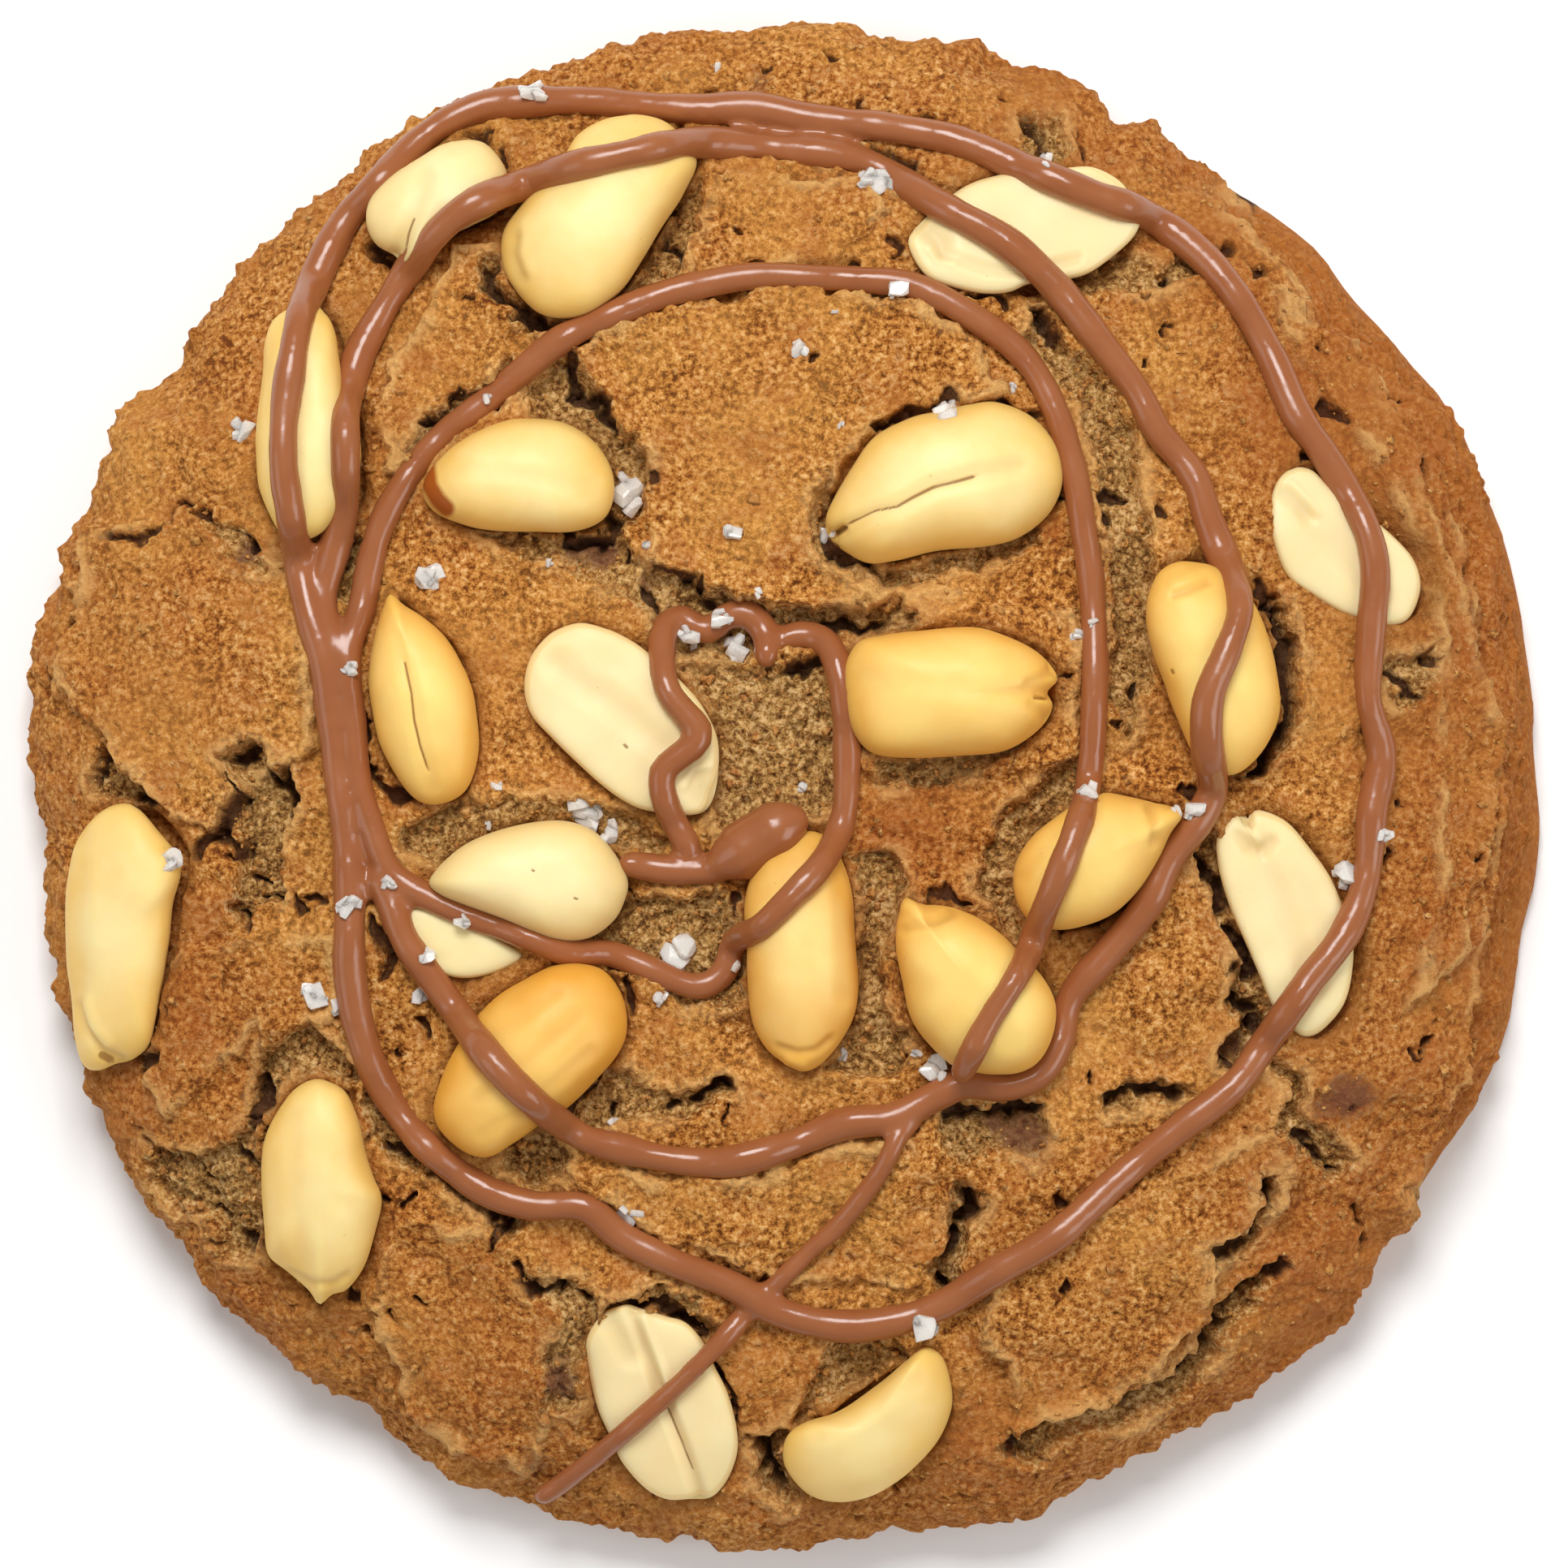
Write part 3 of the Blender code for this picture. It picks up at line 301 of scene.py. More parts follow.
@dataclass(frozen=True)
class BakedDough:
    """Baked peanut butter dough: a matte, sandy crust that browned unevenly in the oven.

    Real crust is a dry foam of flour, fat and sugar: pale and dark grains, redder brown where it
    toasted longer, and grey brown crumb where the crust split. The grain, lumps and fine grain that
    raise the bump also set the tone, so the tops are painted paler as light and the pits darker as
    shade, over the crust's own grain. Painted shade darkens the holes, pits, the step of the ledge and
    the dough round each kernel, and a painted highlight lightens the raised lips. Its regions come as
    soft fields from the mesh, and the grain here breaks their edges up. The sizes of lumps, grains,
    blotches and patches are in millimetres.
    """

    name: str = "Baked peanut butter dough"
    # each ramp runs from painted shade in the pits to painted light on the tops of the grains, over their
    # own colour
    crust_tones: tuple[tuple[float, str], ...] = (
        (0.36, "#5E2F06"), (0.43, "#96581B"), (0.50, "#BA7A34"), (0.57, "#CF934A"), (0.66, "#E8B878"),
    )
    crumb_tones: tuple[tuple[float, str], ...] = (
        (0.36, "#573616"), (0.44, "#87602F"), (0.52, "#AF8548"), (0.64, "#DDB67C"),
    )
    toasted: str = "#9A4F1B"
    golden: str = "#D69A4A"
    # painted highlight: the pale tint laid along the raised lips of plates and hollows and the ledge's edge
    lip_highlight: str = "#DCAE6C"
    baked_side: str = "#AE6820"
    # painted shade: the darker brown laid on the dough round each kernel
    contact_shade: str = "#8A5A26"
    chip: str = "#6E412C"
    # painted shade: the near-black brown laid in holes, in pits and on the step of the ledge
    hole: str = "#38190C"
    sunken_fade: Fade = Fade(0.34, 0.6, 0.9, 0.9)
    hole_shade_fade: Fade = Fade(0.48, 0.74, 0.9, 0.6)
    chip_fade: Fade = Fade(0.4, 0.65, 0.8, 0.7)
    golden_fade: Fade = Fade(0.45, 0.65, 0.4)
    deep_fade: Fade = Fade(0.5, 0.66, 0.45)
    toast_share: float = 0.62
    side_share: float = 0.45
    contact_shade_share: float = 0.55
    lip_highlight_share: float = 0.6
    lump: float = 0.5
    grain: float = 0.42
    fine_grain: float = 0.16
    blotch: float = 3.6
    patch: float = 12.0
    lump_fine_blotch_tone: tuple[float, float, float] = (-0.3, 0.5, 0.35)
    grain_lump_fine_hole_rise: tuple[float, float, float, float] = (0.22, -0.08, 0.05, -0.25)
    roughness: float = 0.85

    def material(self) -> Material:
        """Builds the dough's material from its regions and its sizes of grain."""
        made, tree, output = new_material(self.name)
        place = add_node(tree, "TexCoord").outputs["Object"]
        bake, toasting = (
            add_node(tree, "VertexColor", layer_name=source.value).outputs
            for source in (Attribute.BAKE, Attribute.TOAST)
        )
        sunken, hole, chip = add_node(tree, "SeparateColor", {"Color": bake["Color"]}).outputs
        toast, side, contact_shade = add_node(tree, "SeparateColor", {"Color": toasting["Color"]}).outputs
        grain, fine, blotch, patch = (
            add_node(
                tree, "TexNoise",
                {"Vector": place, "Scale": 1.0 / (size * MM), "Detail": detail, "Roughness": 0.6},
            ).outputs["Fac"]
            for size, detail in (
                (self.grain, 4.0), (self.fine_grain, 2.0), (self.blotch, 3.0), (self.patch, 2.0),
            )
        )
        lump = add_node(
            tree, "TexVoronoi", {"Vector": place, "Scale": 1.0 / (self.lump * MM)}
        ).outputs["Distance"]
        # The tone rises with the same grain, lumps and fine grain as the bump: painted light on the tops and
        # painted shade in the pits, with the blotches as the crust's own uneven colour
        value = grain
        for part, weight in zip((lump, fine, blotch), self.lump_fine_blotch_tone):
            value = add_node(
                tree, "Math", {0: part, 1: weight, 2: value}, operation="MULTIPLY_ADD"
            ).outputs[0]
        value = add_node(
            tree, "MapRange",
            {"Value": value, "From Min": 0.3, "From Max": 1.2, "To Min": 0.17, "To Max": 0.81},
        ).outputs["Result"]
        crust, crumb = (
            add_node(
                tree, "ValToRGB", {"Fac": value},
                stops=[(at, linear(tone)) for at, tone in (tones[0], tones[-1], *tones[1:-1])],
            ).outputs["Color"]
            for tones in (self.crust_tones, self.crumb_tones)
        )
        sunken, hole, chip, gold, deep = (
            add_node(tree, "MapRange", {
                "Value": add_node(
                    tree, "Math", {0: grain, 1: fade.waver, 2: source}, operation="MULTIPLY_ADD"
                ).outputs[0],
                "From Min": fade.low + fade.waver * 0.5,
                "From Max": fade.high + fade.waver * 0.5,
                "To Max": fade.most,
            }).outputs["Result"]
            for source, fade in (
                (sunken, self.sunken_fade), (hole, self.hole_shade_fade), (chip, self.chip_fade),
                (patch, self.golden_fade), (blotch, self.deep_fade),
            )
        )
        # edge is the share of the painted highlight, read from the lip field
        toast, side, contact_shade, edge = (
            add_node(tree, "Math", {0: source, 1: share}, operation="MULTIPLY").outputs[0]
            for source, share in (
                (toast, self.toast_share), (side, self.side_share), (contact_shade, self.contact_shade_share),
                (toasting["Alpha"], self.lip_highlight_share),
            )
        )
        # Tints over the crust: browning, crumb and chips are the dough's own; the contact shade and hole
        # shade are painted shade, and the lip highlight is a painted highlight
        colour = crust
        for tint, share in (
            (linear(self.golden), gold), (linear(self.toasted), deep), (linear(self.toasted), toast),
            (linear(self.baked_side), side), (crumb, sunken), (linear(self.lip_highlight), edge),
            (linear(self.contact_shade), contact_shade), (linear(self.chip), chip), (linear(self.hole), hole),
        ):
            colour = add_node(
                tree, "Mix", {MIX_SHARE: share, MIX_FROM: colour, MIX_TO: tint}, data_type="RGBA"
            ).outputs[MIX_RESULT]
        height = 0.0
        for part, size in zip((grain, lump, fine, hole), self.grain_lump_fine_hole_rise):
            height = add_node(
                tree, "Math", {0: part, 1: size, 2: height}, operation="MULTIPLY_ADD"
            ).outputs[0]
        bump = add_node(tree, "Bump", {"Strength": 0.95, "Distance": MM, "Height": height})
        shader = add_node(tree, "BsdfPrincipled", {
            "Base Color": colour,
            "Roughness": self.roughness,
            "Specular IOR Level": 0.22,
            "Subsurface Weight": 0.08,
            "Subsurface Radius": (0.0014, 0.0007, 0.0003),
            "Subsurface Scale": 1.0,
            "Normal": bump.outputs["Normal"],
        })
        tree.links.new(shader.outputs["BSDF"], output.inputs["Surface"])
        return made


@dataclass(frozen=True)
class RoastedPeanut:
    """A blanched, lightly roasted kernel: smooth, waxy and slightly see-through.

    The oil in it gives a soft sheen and lets light glow inside it. A whole kernel is painted deeper
    yellow towards its sides as shade, while a half's paler cut face is its own colour. Creases are
    darkened partly with painted shade and partly with the germ's own colour, and there is a thin brown
    line where its halves meet. The patches, pores and the distance between specks are in millimetres.
    """

    name: str
    crown: str
    # the deeper yellow painted on a whole kernel's sides as shade; on a half, the own colour of its rounded
    # side
    side: str
    seam: str = "#8A5614"
    # painted shade in the creases, with the germ pocket's own colour
    crease: str = "#A88A3C"
    speckle: str = "#A5721E"
    skin: str = "#A24A08"
    seam_share: float = 0.75
    skin_share: float = 0.95
    patch: float = 6.0
    pore: float = 0.5
    speck: float = 2.6

    def material(self) -> Material:
        """Builds the kernel's material."""
        made, tree, output = new_material(self.name)
        place = add_node(tree, "TexCoord").outputs["Object"]
        marks = add_node(tree, "VertexColor", layer_name=Attribute.MARKS.value).outputs
        seam, skin, side_tone_and_shade = add_node(tree, "SeparateColor", {"Color": marks["Color"]}).outputs
        seam, skin = (
            add_node(
                tree, "MapRange", {"Value": source, "From Min": 0.5, "From Max": 0.72, "To Max": most}
            ).outputs["Result"]
            for source, most in ((seam, self.seam_share), (skin, self.skin_share))
        )
        patch, pores = (
            add_node(
                tree, "TexNoise",
                {"Vector": place, "Scale": 1.0 / (size * MM), "Detail": 3.0, "Roughness": roughness},
            ).outputs["Fac"]
            for size, roughness in ((self.patch, 0.55), (self.pore, 0.5))
        )
        # The side share is painted shade towards a whole kernel's sides, or a half's own colours, with
        # random patches added
        side_tone_and_shade = add_node(tree, "Math", {0: side_tone_and_shade, 1: patch}, operation="ADD").outputs[0]
        side_tone_and_shade = add_node(
            tree, "MapRange", {"Value": side_tone_and_shade, "From Min": 0.4, "From Max": 1.2}
        ).outputs["Result"]
        specks = add_node(
            tree, "TexVoronoi", {"Vector": place, "Scale": 1.0 / (self.speck * MM)}
        ).outputs["Distance"]
        specks = add_node(
            tree, "MapRange",
            {"Value": specks, "From Min": 0.02, "From Max": 0.04, "To Min": 0.35, "To Max": 0.0},
        ).outputs["Result"]
        body = linear(self.crown)
        for tint, share in (
            (self.side, side_tone_and_shade), (self.speckle, specks), (self.crease, marks["Alpha"]),
            (self.seam, seam), (self.skin, skin),
        ):
            body = add_node(
                tree, "Mix", {MIX_SHARE: share, MIX_FROM: body, MIX_TO: linear(tint)},
                data_type="RGBA",
            ).outputs[MIX_RESULT]
        bump = add_node(tree, "Bump", {"Strength": 0.25, "Distance": 0.00005, "Height": pores})
        shader = add_node(tree, "BsdfPrincipled", {
            "Base Color": body,
            "Roughness": 0.46,
            "IOR": 1.46,
            "Specular IOR Level": 0.35,
            "Subsurface Weight": 0.35,
            "Subsurface Radius": (0.0030, 0.0018, 0.0007),
            "Subsurface Scale": 1.0,
            "Normal": bump.outputs["Normal"],
        })
        tree.links.new(shader.outputs["BSDF"], output.inputs["Surface"])
        return made


@dataclass(frozen=True)
class MilkChocolate:
    """Milk chocolate that set in round beads: smooth, with a soft gloss and a faint bloom.

    The bloom's patches and the ripples are in millimetres.
    """

    name: str = "Set milk chocolate"
    body: str = "#92522D"
    pale: str = "#A4653C"
    patch: float = 3.5
    ripple: float = 0.9

    def material(self) -> Material:
        """Builds the chocolate's material."""
        made, tree, output = new_material(self.name)
        place = add_node(tree, "TexCoord").outputs["Object"]
        patch, ripple = (
            add_node(
                tree, "TexNoise", {"Vector": place, "Scale": 1.0 / (size * MM), "Detail": 2.0}
            ).outputs["Fac"]
            for size in (self.patch, self.ripple)
        )
        colour = add_node(
            tree, "Mix", {MIX_SHARE: patch, MIX_FROM: linear(self.body), MIX_TO: linear(self.pale)},
            data_type="RGBA",
        ).outputs[MIX_RESULT]
        gloss = add_node(
            tree, "MapRange",
            {"Value": patch, "From Min": 0.3, "From Max": 0.7, "To Min": 0.17, "To Max": 0.28},
        ).outputs["Result"]
        bump = add_node(tree, "Bump", {"Strength": 0.35, "Distance": 0.00006, "Height": ripple})
        shader = add_node(tree, "BsdfPrincipled", {
            "Base Color": colour,
            "Roughness": gloss,
            "IOR": 1.47,
            "Specular IOR Level": 0.5,
            "Subsurface Weight": 0.08,
            "Subsurface Radius": (0.0012, 0.0006, 0.0003),
            "Subsurface Scale": 1.0,
            "Normal": bump.outputs["Normal"],
        })
        tree.links.new(shader.outputs["BSDF"], output.inputs["Surface"])
        return made


@dataclass(frozen=True)
class SaltCrystal:
    """Flake salt: clear crystal that looks white where its faces are etched and cracked.

    The etching's size is in millimetres.
    """

    name: str = "Flake salt crystal"
    body: str = "#FFF6EA"
    etching: float = 0.35

    def material(self) -> Material:
        """Builds the salt's material."""
        made, tree, output = new_material(self.name)
        place = add_node(tree, "TexCoord").outputs["Object"]
        etched = add_node(
            tree, "TexNoise", {"Vector": place, "Scale": 1.0 / (self.etching * MM), "Detail": 3.0}
        ).outputs["Fac"]
        rough = add_node(
            tree, "MapRange",
            {"Value": etched, "From Min": 0.35, "From Max": 0.65, "To Min": 0.15, "To Max": 0.35},
        ).outputs["Result"]
        bump = add_node(tree, "Bump", {"Strength": 0.4, "Distance": 0.00004, "Height": etched})
        shader = add_node(tree, "BsdfPrincipled", {
            "Base Color": linear(self.body),
            "Roughness": rough,
            "IOR": 1.54,
            "Transmission Weight": 0.22,
            "Subsurface Weight": 0.7,
            "Subsurface Radius": (0.0008, 0.0008, 0.0008),
            "Subsurface Scale": 1.0,
            "Normal": bump.outputs["Normal"],
        })
        tree.links.new(shader.outputs["BSDF"], output.inputs["Surface"])
        return made


@dataclass(frozen=True)
class PaleFloor:
    """A plain matte white table top, which hardly mirrors anything."""

    name: str = "Matte white table"
    colour: str = "#FFFFFE"

    def material(self) -> Material:
        """Builds the floor's material."""
        made, tree, output = new_material(self.name)
        colour = linear(self.colour)
        shader = add_node(
            tree, "BsdfPrincipled", {"Base Color": colour, "Roughness": 0.9, "Specular IOR Level": 0.1}
        )
        tree.links.new(shader.outputs["BSDF"], output.inputs["Surface"])
        return made


@dataclass(frozen=True)
class Plate:
    """A raised plate of crust: how far it stands up, and its outline."""

    rise: float
    outline: tuple[Place, ...]


@dataclass(frozen=True)
class Hollow:
    """A sunken place where the crust broke and rough crumb shows: its depth and outline."""

    depth: float
    outline: tuple[Place, ...]


@dataclass(frozen=True)
class ShadedHole:
    """A narrow carved opening, painted dark as shade: half its width, and its course."""

    width: float
    course: tuple[Place, ...]


@dataclass(frozen=True)
class Spot:
    """A round patch of another colour: its middle, radius and strength."""

    middle: Place
    radius: float
    strength: float


PLATES = tuple(Plate(rise, tuple(outline)) for rise, *outline in (
    (0.9, (-15.5, 30.6), (-12, 33), (-6.7, 35), (2, 35.8), (9.5, 34.7), (14.2, 31.5), (16, 28.3), (7.8, 26),
     (4.3, 23.6), (2.6, 19), (5.5, 15.8), (8.4, 14.4), (4.3, 12), (-0.3, 13.2), (-5, 13.5), (-9.6, 16.1),
     (-9.6, 19), (-10.2, 23.6), (-13.1, 27.1)),
    (0.6, (-5, 44), (5.5, 43.7), (7.8, 41.7), (5.5, 39.3), (3.7, 37.6), (-7.9, 35.8), (-6.7, 39.9)),
    (0.8, (-50.3, 18.4), (-46.8, 19), (-41.6, 19), (-36.4, 16.1), (-34, 10.9), (-33.5, 2.7), (-37, 0.4),
     (-40.4, -0.8), (-42.2, -3.7), (-45.1, -2.5), (-46.8, 0.4), (-49, 4), (-52, 6.8), (-51, 13)),
    (0.7, (-28.2, 31.8), (-23.6, 38.8), (-20.1, 38.8), (-18.9, 33), (-21.8, 28.9), (-24.8, 27.1),
     (-28.2, 21.9), (-30, 27.1)),
    (0.9, (15.9, -33.3), (22.3, -29.8), (34.5, -24), (36.8, -28.1), (33.9, -31), (30.4, -34.5),
     (29.9, -37.9), (25.2, -42.6), (21.7, -44.9), (16.5, -45.8), (15.9, -41.4), (13.6, -39.1)),
    (0.5, (9.5, 14.2), (20.5, 12), (21, 1.5), (14, 0.4), (5.5, 0.6), (5.2, 2), (5.5, 8)),
    (0.5, (-16, -26.5), (-4, -28.5), (9, -24.5), (13, -31), (9, -36), (0, -36), (-9, -32.5)),
    (0.6, (-28, -31), (-17, -33), (-15, -38), (-18, -50), (-27, -45), (-30, -38)),
    (0.5, (34, 36), (38, 28), (43, 20), (46, 10), (46, -8), (43.5, -16), (48.5, -12), (51, 2), (49, 18),
     (43, 30)),
    (0.5, (-46, -13), (-38, -10.5), (-32, -11), (-31.5, -17), (-38, -18), (-44, -24), (-47, -20)),
))

HOLLOWS = tuple(Hollow(depth, tuple(outline)) for depth, *outline in (
    (1.5, (-16, 30.3), (-14.6, 30), (-13.4, 28.2), (-12.2, 26.2), (-10.6, 24.6), (-10, 23), (-9.9, 20.6),
     (-10.6, 18.6), (-12.4, 18.4), (-13, 21), (-13.2, 23), (-14.5, 25.5), (-17.5, 26.2), (-18.8, 28)),
    (1.2, (-22, 18.5), (-16, 17.8), (-12.4, 18), (-11, 16.8), (-9.4, 15.8), (-8.6, 14), (-9.6, 12.6),
     (-11.4, 13.4), (-13, 14.6), (-15, 15.6), (-17.8, 16.4), (-20.6, 17.2)),
    (1.5, (-9.8, 15.4), (-6.4, 14.2), (-3.8, 13.8), (-1.2, 12.6), (1.6, 12.6), (3.2, 12.4), (8.6, 13.4),
     (10, 12.2), (9, 11), (5.6, 11), (3, 10.4), (0, 9.4), (-4, 9), (-7, 9.2), (-9.3, 11.6)),
    (0.8, (-7.6, 8.8), (-2.5, 8.6), (2.8, 8.6), (3.6, 5), (3.6, 0), (2.5, -2.4), (-1, -1.8), (-4, -3.6),
     (-5.2, -2.4), (-5, 2), (-5.6, 6)),
    (1.1, (-12, -8.4), (-4, -7.6), (-3.2, -11), (-3, -16), (-7.4, -15.2), (-9, -14.2), (-12.4, -13.2),
     (-13.4, -11.2)),
    (1.2, (-28.5, -3.3), (-24, -1.6), (-20, -1), (-14, -1.6), (-11, -2.6), (-7.8, -4), (-9, -5),
     (-12, -4.4), (-17, -3.4), (-21, -4.4), (-24.5, -6), (-27.8, -5)),
    (1.3, (4.6, -4.6), (7.6, -4.8), (8.6, -6.6), (8.4, -9), (6.8, -11.6), (7, -16), (8.6, -19), (8, -21),
     (3, -20.4), (4.8, -16), (5.6, -10)),
    (1.1, (13.5, -6.5), (15, -3), (17.2, -0.6), (20.8, 2.2), (22.2, 1.6), (20.5, -1.6), (17.5, -4.6),
     (16.4, -8), (17.5, -11), (15, -10.4)),
    (1.1, (6, 1.6), (12, 1.9), (16.6, 2.4), (14, 0.7), (10, -0.1), (7, 0)),
    (1.2, (3, 22), (4.2, 19.4), (3.2, 17), (5.2, 15.6), (9, 15.8), (14, 16.9), (17.6, 18.4), (17.8, 17.2),
     (14, 15.4), (8.6, 14.4), (5, 14.6), (2.2, 16.6), (1.8, 19)),
    (1.4, (18.2, 34.8), (19.8, 32.2), (21.4, 31.2), (23, 28.6), (24.6, 25.2), (25.6, 21), (26.2, 17.4),
     (25.4, 13.8), (25.8, 9), (25, 5), (24.4, 3), (23, 6), (23.2, 12), (23.6, 16.6), (22.4, 20.8),
     (21.8, 25.2), (20.6, 28.2), (18.6, 30.6), (17.6, 33)),
    (1.4, (34.2, 13), (35.6, 11.2), (36.3, 8), (36.4, 4.4), (35.4, 2.2), (33.2, 0.9), (32.2, 0.6),
     (33.6, 2.2), (35, 4.2), (35.3, 8), (34.6, 11)),
    (1.6, (29.4, -3), (31, -4.4), (31.4, -8.4), (33.2, -12.8), (34.6, -15.6), (34.8, -18.4), (33, -20.4),
     (31, -20), (32.2, -17.4), (31.6, -15), (32, -12.4), (30.4, -8.8), (29.2, -5.6)),
    (2.1, (-36.9, 1.4), (-35.2, 1.2), (-35.8, -0.6), (-36.5, -2.2), (-37, -4.6), (-37.1, -7), (-36.9, -9),
     (-38.6, -8.8), (-39.6, -10.4), (-40.4, -9), (-39.4, -6.6), (-39.8, -4.6), (-40.6, -3), (-40, -1),
     (-38.8, 0), (-39.6, 1), (-40.8, 2.2), (-39, 2.8), (-37.6, 2.6)),
    (1.3, (-50.2, -0.4), (-49.6, 1.9), (-48.6, 2.2), (-47.2, 1), (-46.4, -0.8), (-48, -1.2)),
    (1.2, (-46, -25.6), (-41.5, -26.8), (-38.5, -24.4), (-37.4, -27), (-37.6, -33.6), (-40.4, -34),
     (-41, -31.4), (-43.6, -30.6), (-45.4, -28.6)),
    (1.4, (-37.8, -22.4), (-37.4, -19.6), (-35.8, -18), (-33.6, -17.7), (-31.6, -18.8), (-30.6, -20.8),
     (-31.6, -21), (-33.4, -20.4), (-35.4, -20.6), (-36.6, -22), (-37, -23.6)),
    (1.0, (-30.2, -20), (-28, -22), (-25.6, -26), (-25.2, -27.8), (-27.2, -26.8), (-29.6, -25)),
    (1.4, (-25.6, -28), (-23, -30.4), (-19.4, -32.6), (-18.6, -31.6), (-21.6, -29.6), (-24.4, -27.4)),
    (1.2, (-20, -26), (-17, -25.2), (-15.2, -26), (-15.6, -28.2), (-17.8, -28.6), (-20.6, -27.6)),
    (1.1, (-16, -23.8), (-12.6, -20.6), (-11, -20.2), (-9.4, -21.6), (-7, -22.2), (-4.6, -21.2),
     (-3.6, -22.2), (-6.6, -23.4), (-9.6, -23.9), (-12.6, -24.4), (-14.8, -24.8)),
    (1.3, (-12.4, -37), (-9, -36.2), (-6, -37.6), (-4.8, -40), (-5.8, -40), (-8, -38), (-10.6, -37.2),
     (-12.6, -37.8)),
    (1.0, (-18.9, -34.2), (-15.2, -35), (-13.2, -37), (-14, -40.4), (-14.8, -44.4), (-16.8, -44.6),
     (-17.2, -41), (-15.4, -38), (-17, -35.8)),
    (1.8, (-2.2, -47), (0, -46.8), (0.2, -49), (1.4, -51), (0, -51.8), (-1.8, -50.4)),
    (1.3, (0.6, -46), (3.6, -40.4), (8.2, -40.2), (9.4, -41.2), (5.6, -43.2), (2.6, -45.2)),
    (1.8, (12.6, -28.4), (14.2, -29.4), (13.2, -31.4), (13, -33.4), (12.4, -34.8), (12.8, -36), (11, -36.4),
     (10.6, -34.6), (11.4, -32.2), (11.4, -30.6)),
    (1.2, (22.6, -22.2), (24.4, -20.9), (25.4, -21.4), (27.8, -21.6), (29.6, -22.4), (27.6, -22.8),
     (25.8, -22.2), (24.6, -22.8), (23, -22.8)),
    (1.3, (10.8, -24), (14, -22.6), (18.6, -22.8), (18.2, -25), (17.6, -27), (15.6, -26.2), (13.4, -27.2),
     (11.6, -26.2)),
    (1.3, (35.6, -33.6), (33, -35.4), (31, -37.4), (29.8, -39.4), (29.4, -41), (27, -42.6), (24, -44.2),
     (16.4, -45.8), (15.4, -47.4), (17.4, -48.2), (20, -46.6), (25.4, -45.6), (28.6, -43.8), (31.2, -40.6),
     (32.6, -38.2), (34, -36)),
    (1.4, (34.8, -27.8), (34.2, -30.4), (33.2, -32), (30.2, -34), (30, -33.4), (32.2, -31.8), (33.4, -30),
     (33.8, -28)),
    (1.2, (34.6, -19), (35.6, -22), (35, -24.4), (37.2, -26.6), (39.6, -28.4), (40.6, -27), (38.6, -24.8),
     (36.6, -23.4), (36.6, -20.6)),
    (1.2, (-8, 42), (-5.6, 44.2), (-6.6, 41), (-7, 38.6), (-8.6, 36), (-11, 35), (-12.6, 34), (-10.4, 37),
     (-8.8, 39.4)),
    (1.2, (-21.4, 37.4), (-21, 34.6), (-19, 33), (-15.6, 32), (-15.8, 33), (-18.6, 33.8), (-20, 35.4),
     (-20.4, 37.6)),
    (1.3, (-27.6, 24.2), (-25.4, 27), (-22.6, 29.2), (-19.8, 30.4), (-20.6, 28.4), (-23.4, 26.6),
     (-25.6, 24.4), (-27, 22.2)),
    (1.2, (-32.4, 18), (-30.4, 18), (-30.9, 14.4), (-31.4, 11.6), (-32.4, 13.8)),
    (1.2, (-5, 47), (2, 46.6), (9, 44.4), (11.5, 42.9), (9.8, 42.6), (6.6, 44.4), (2, 45.6), (-5, 45.8)),
    (1.1, (17.4, 48.6), (20.4, 48.2), (20, 45.4), (17.8, 44.9), (16.8, 46.4)),
    (1.0, (19.8, 36.2), (25.2, 38.9), (27.2, 37), (28.4, 38.8), (30.6, 37), (27.4, 35.4), (24, 36),
     (21, 35)),
    (1.0, (-41.9, 19.4), (-40.2, 18.6), (-38, 17.2), (-37.6, 15.6), (-39.4, 15.8), (-41, 16.8)),
    (0.9, (42.4, 8.2), (46, 9.2), (46.4, 7.6), (44.8, 5.8), (43, 6)),
))

# The end of the top crust above the ledge that runs round the right side
LEDGE = (
    (29.5, 44.4), (33, 41), (35, 38.5), (37, 36), (39.5, 33.4), (41, 31), (42.5, 28), (43.5, 26), (45, 23),
    (45.7, 20), (47, 16.6), (48.6, 12), (49.2, 9), (50.4, 7), (51.5, 4), (52.1, 1.4), (51.9, -2), (51.6, -5),
    (51.2, -8), (50.7, -11), (50.1, -13.4), (49.4, -16), (48.8, -19), (47.6, -23), (45.6, -27.4),
    (43.2, -31.6),
)
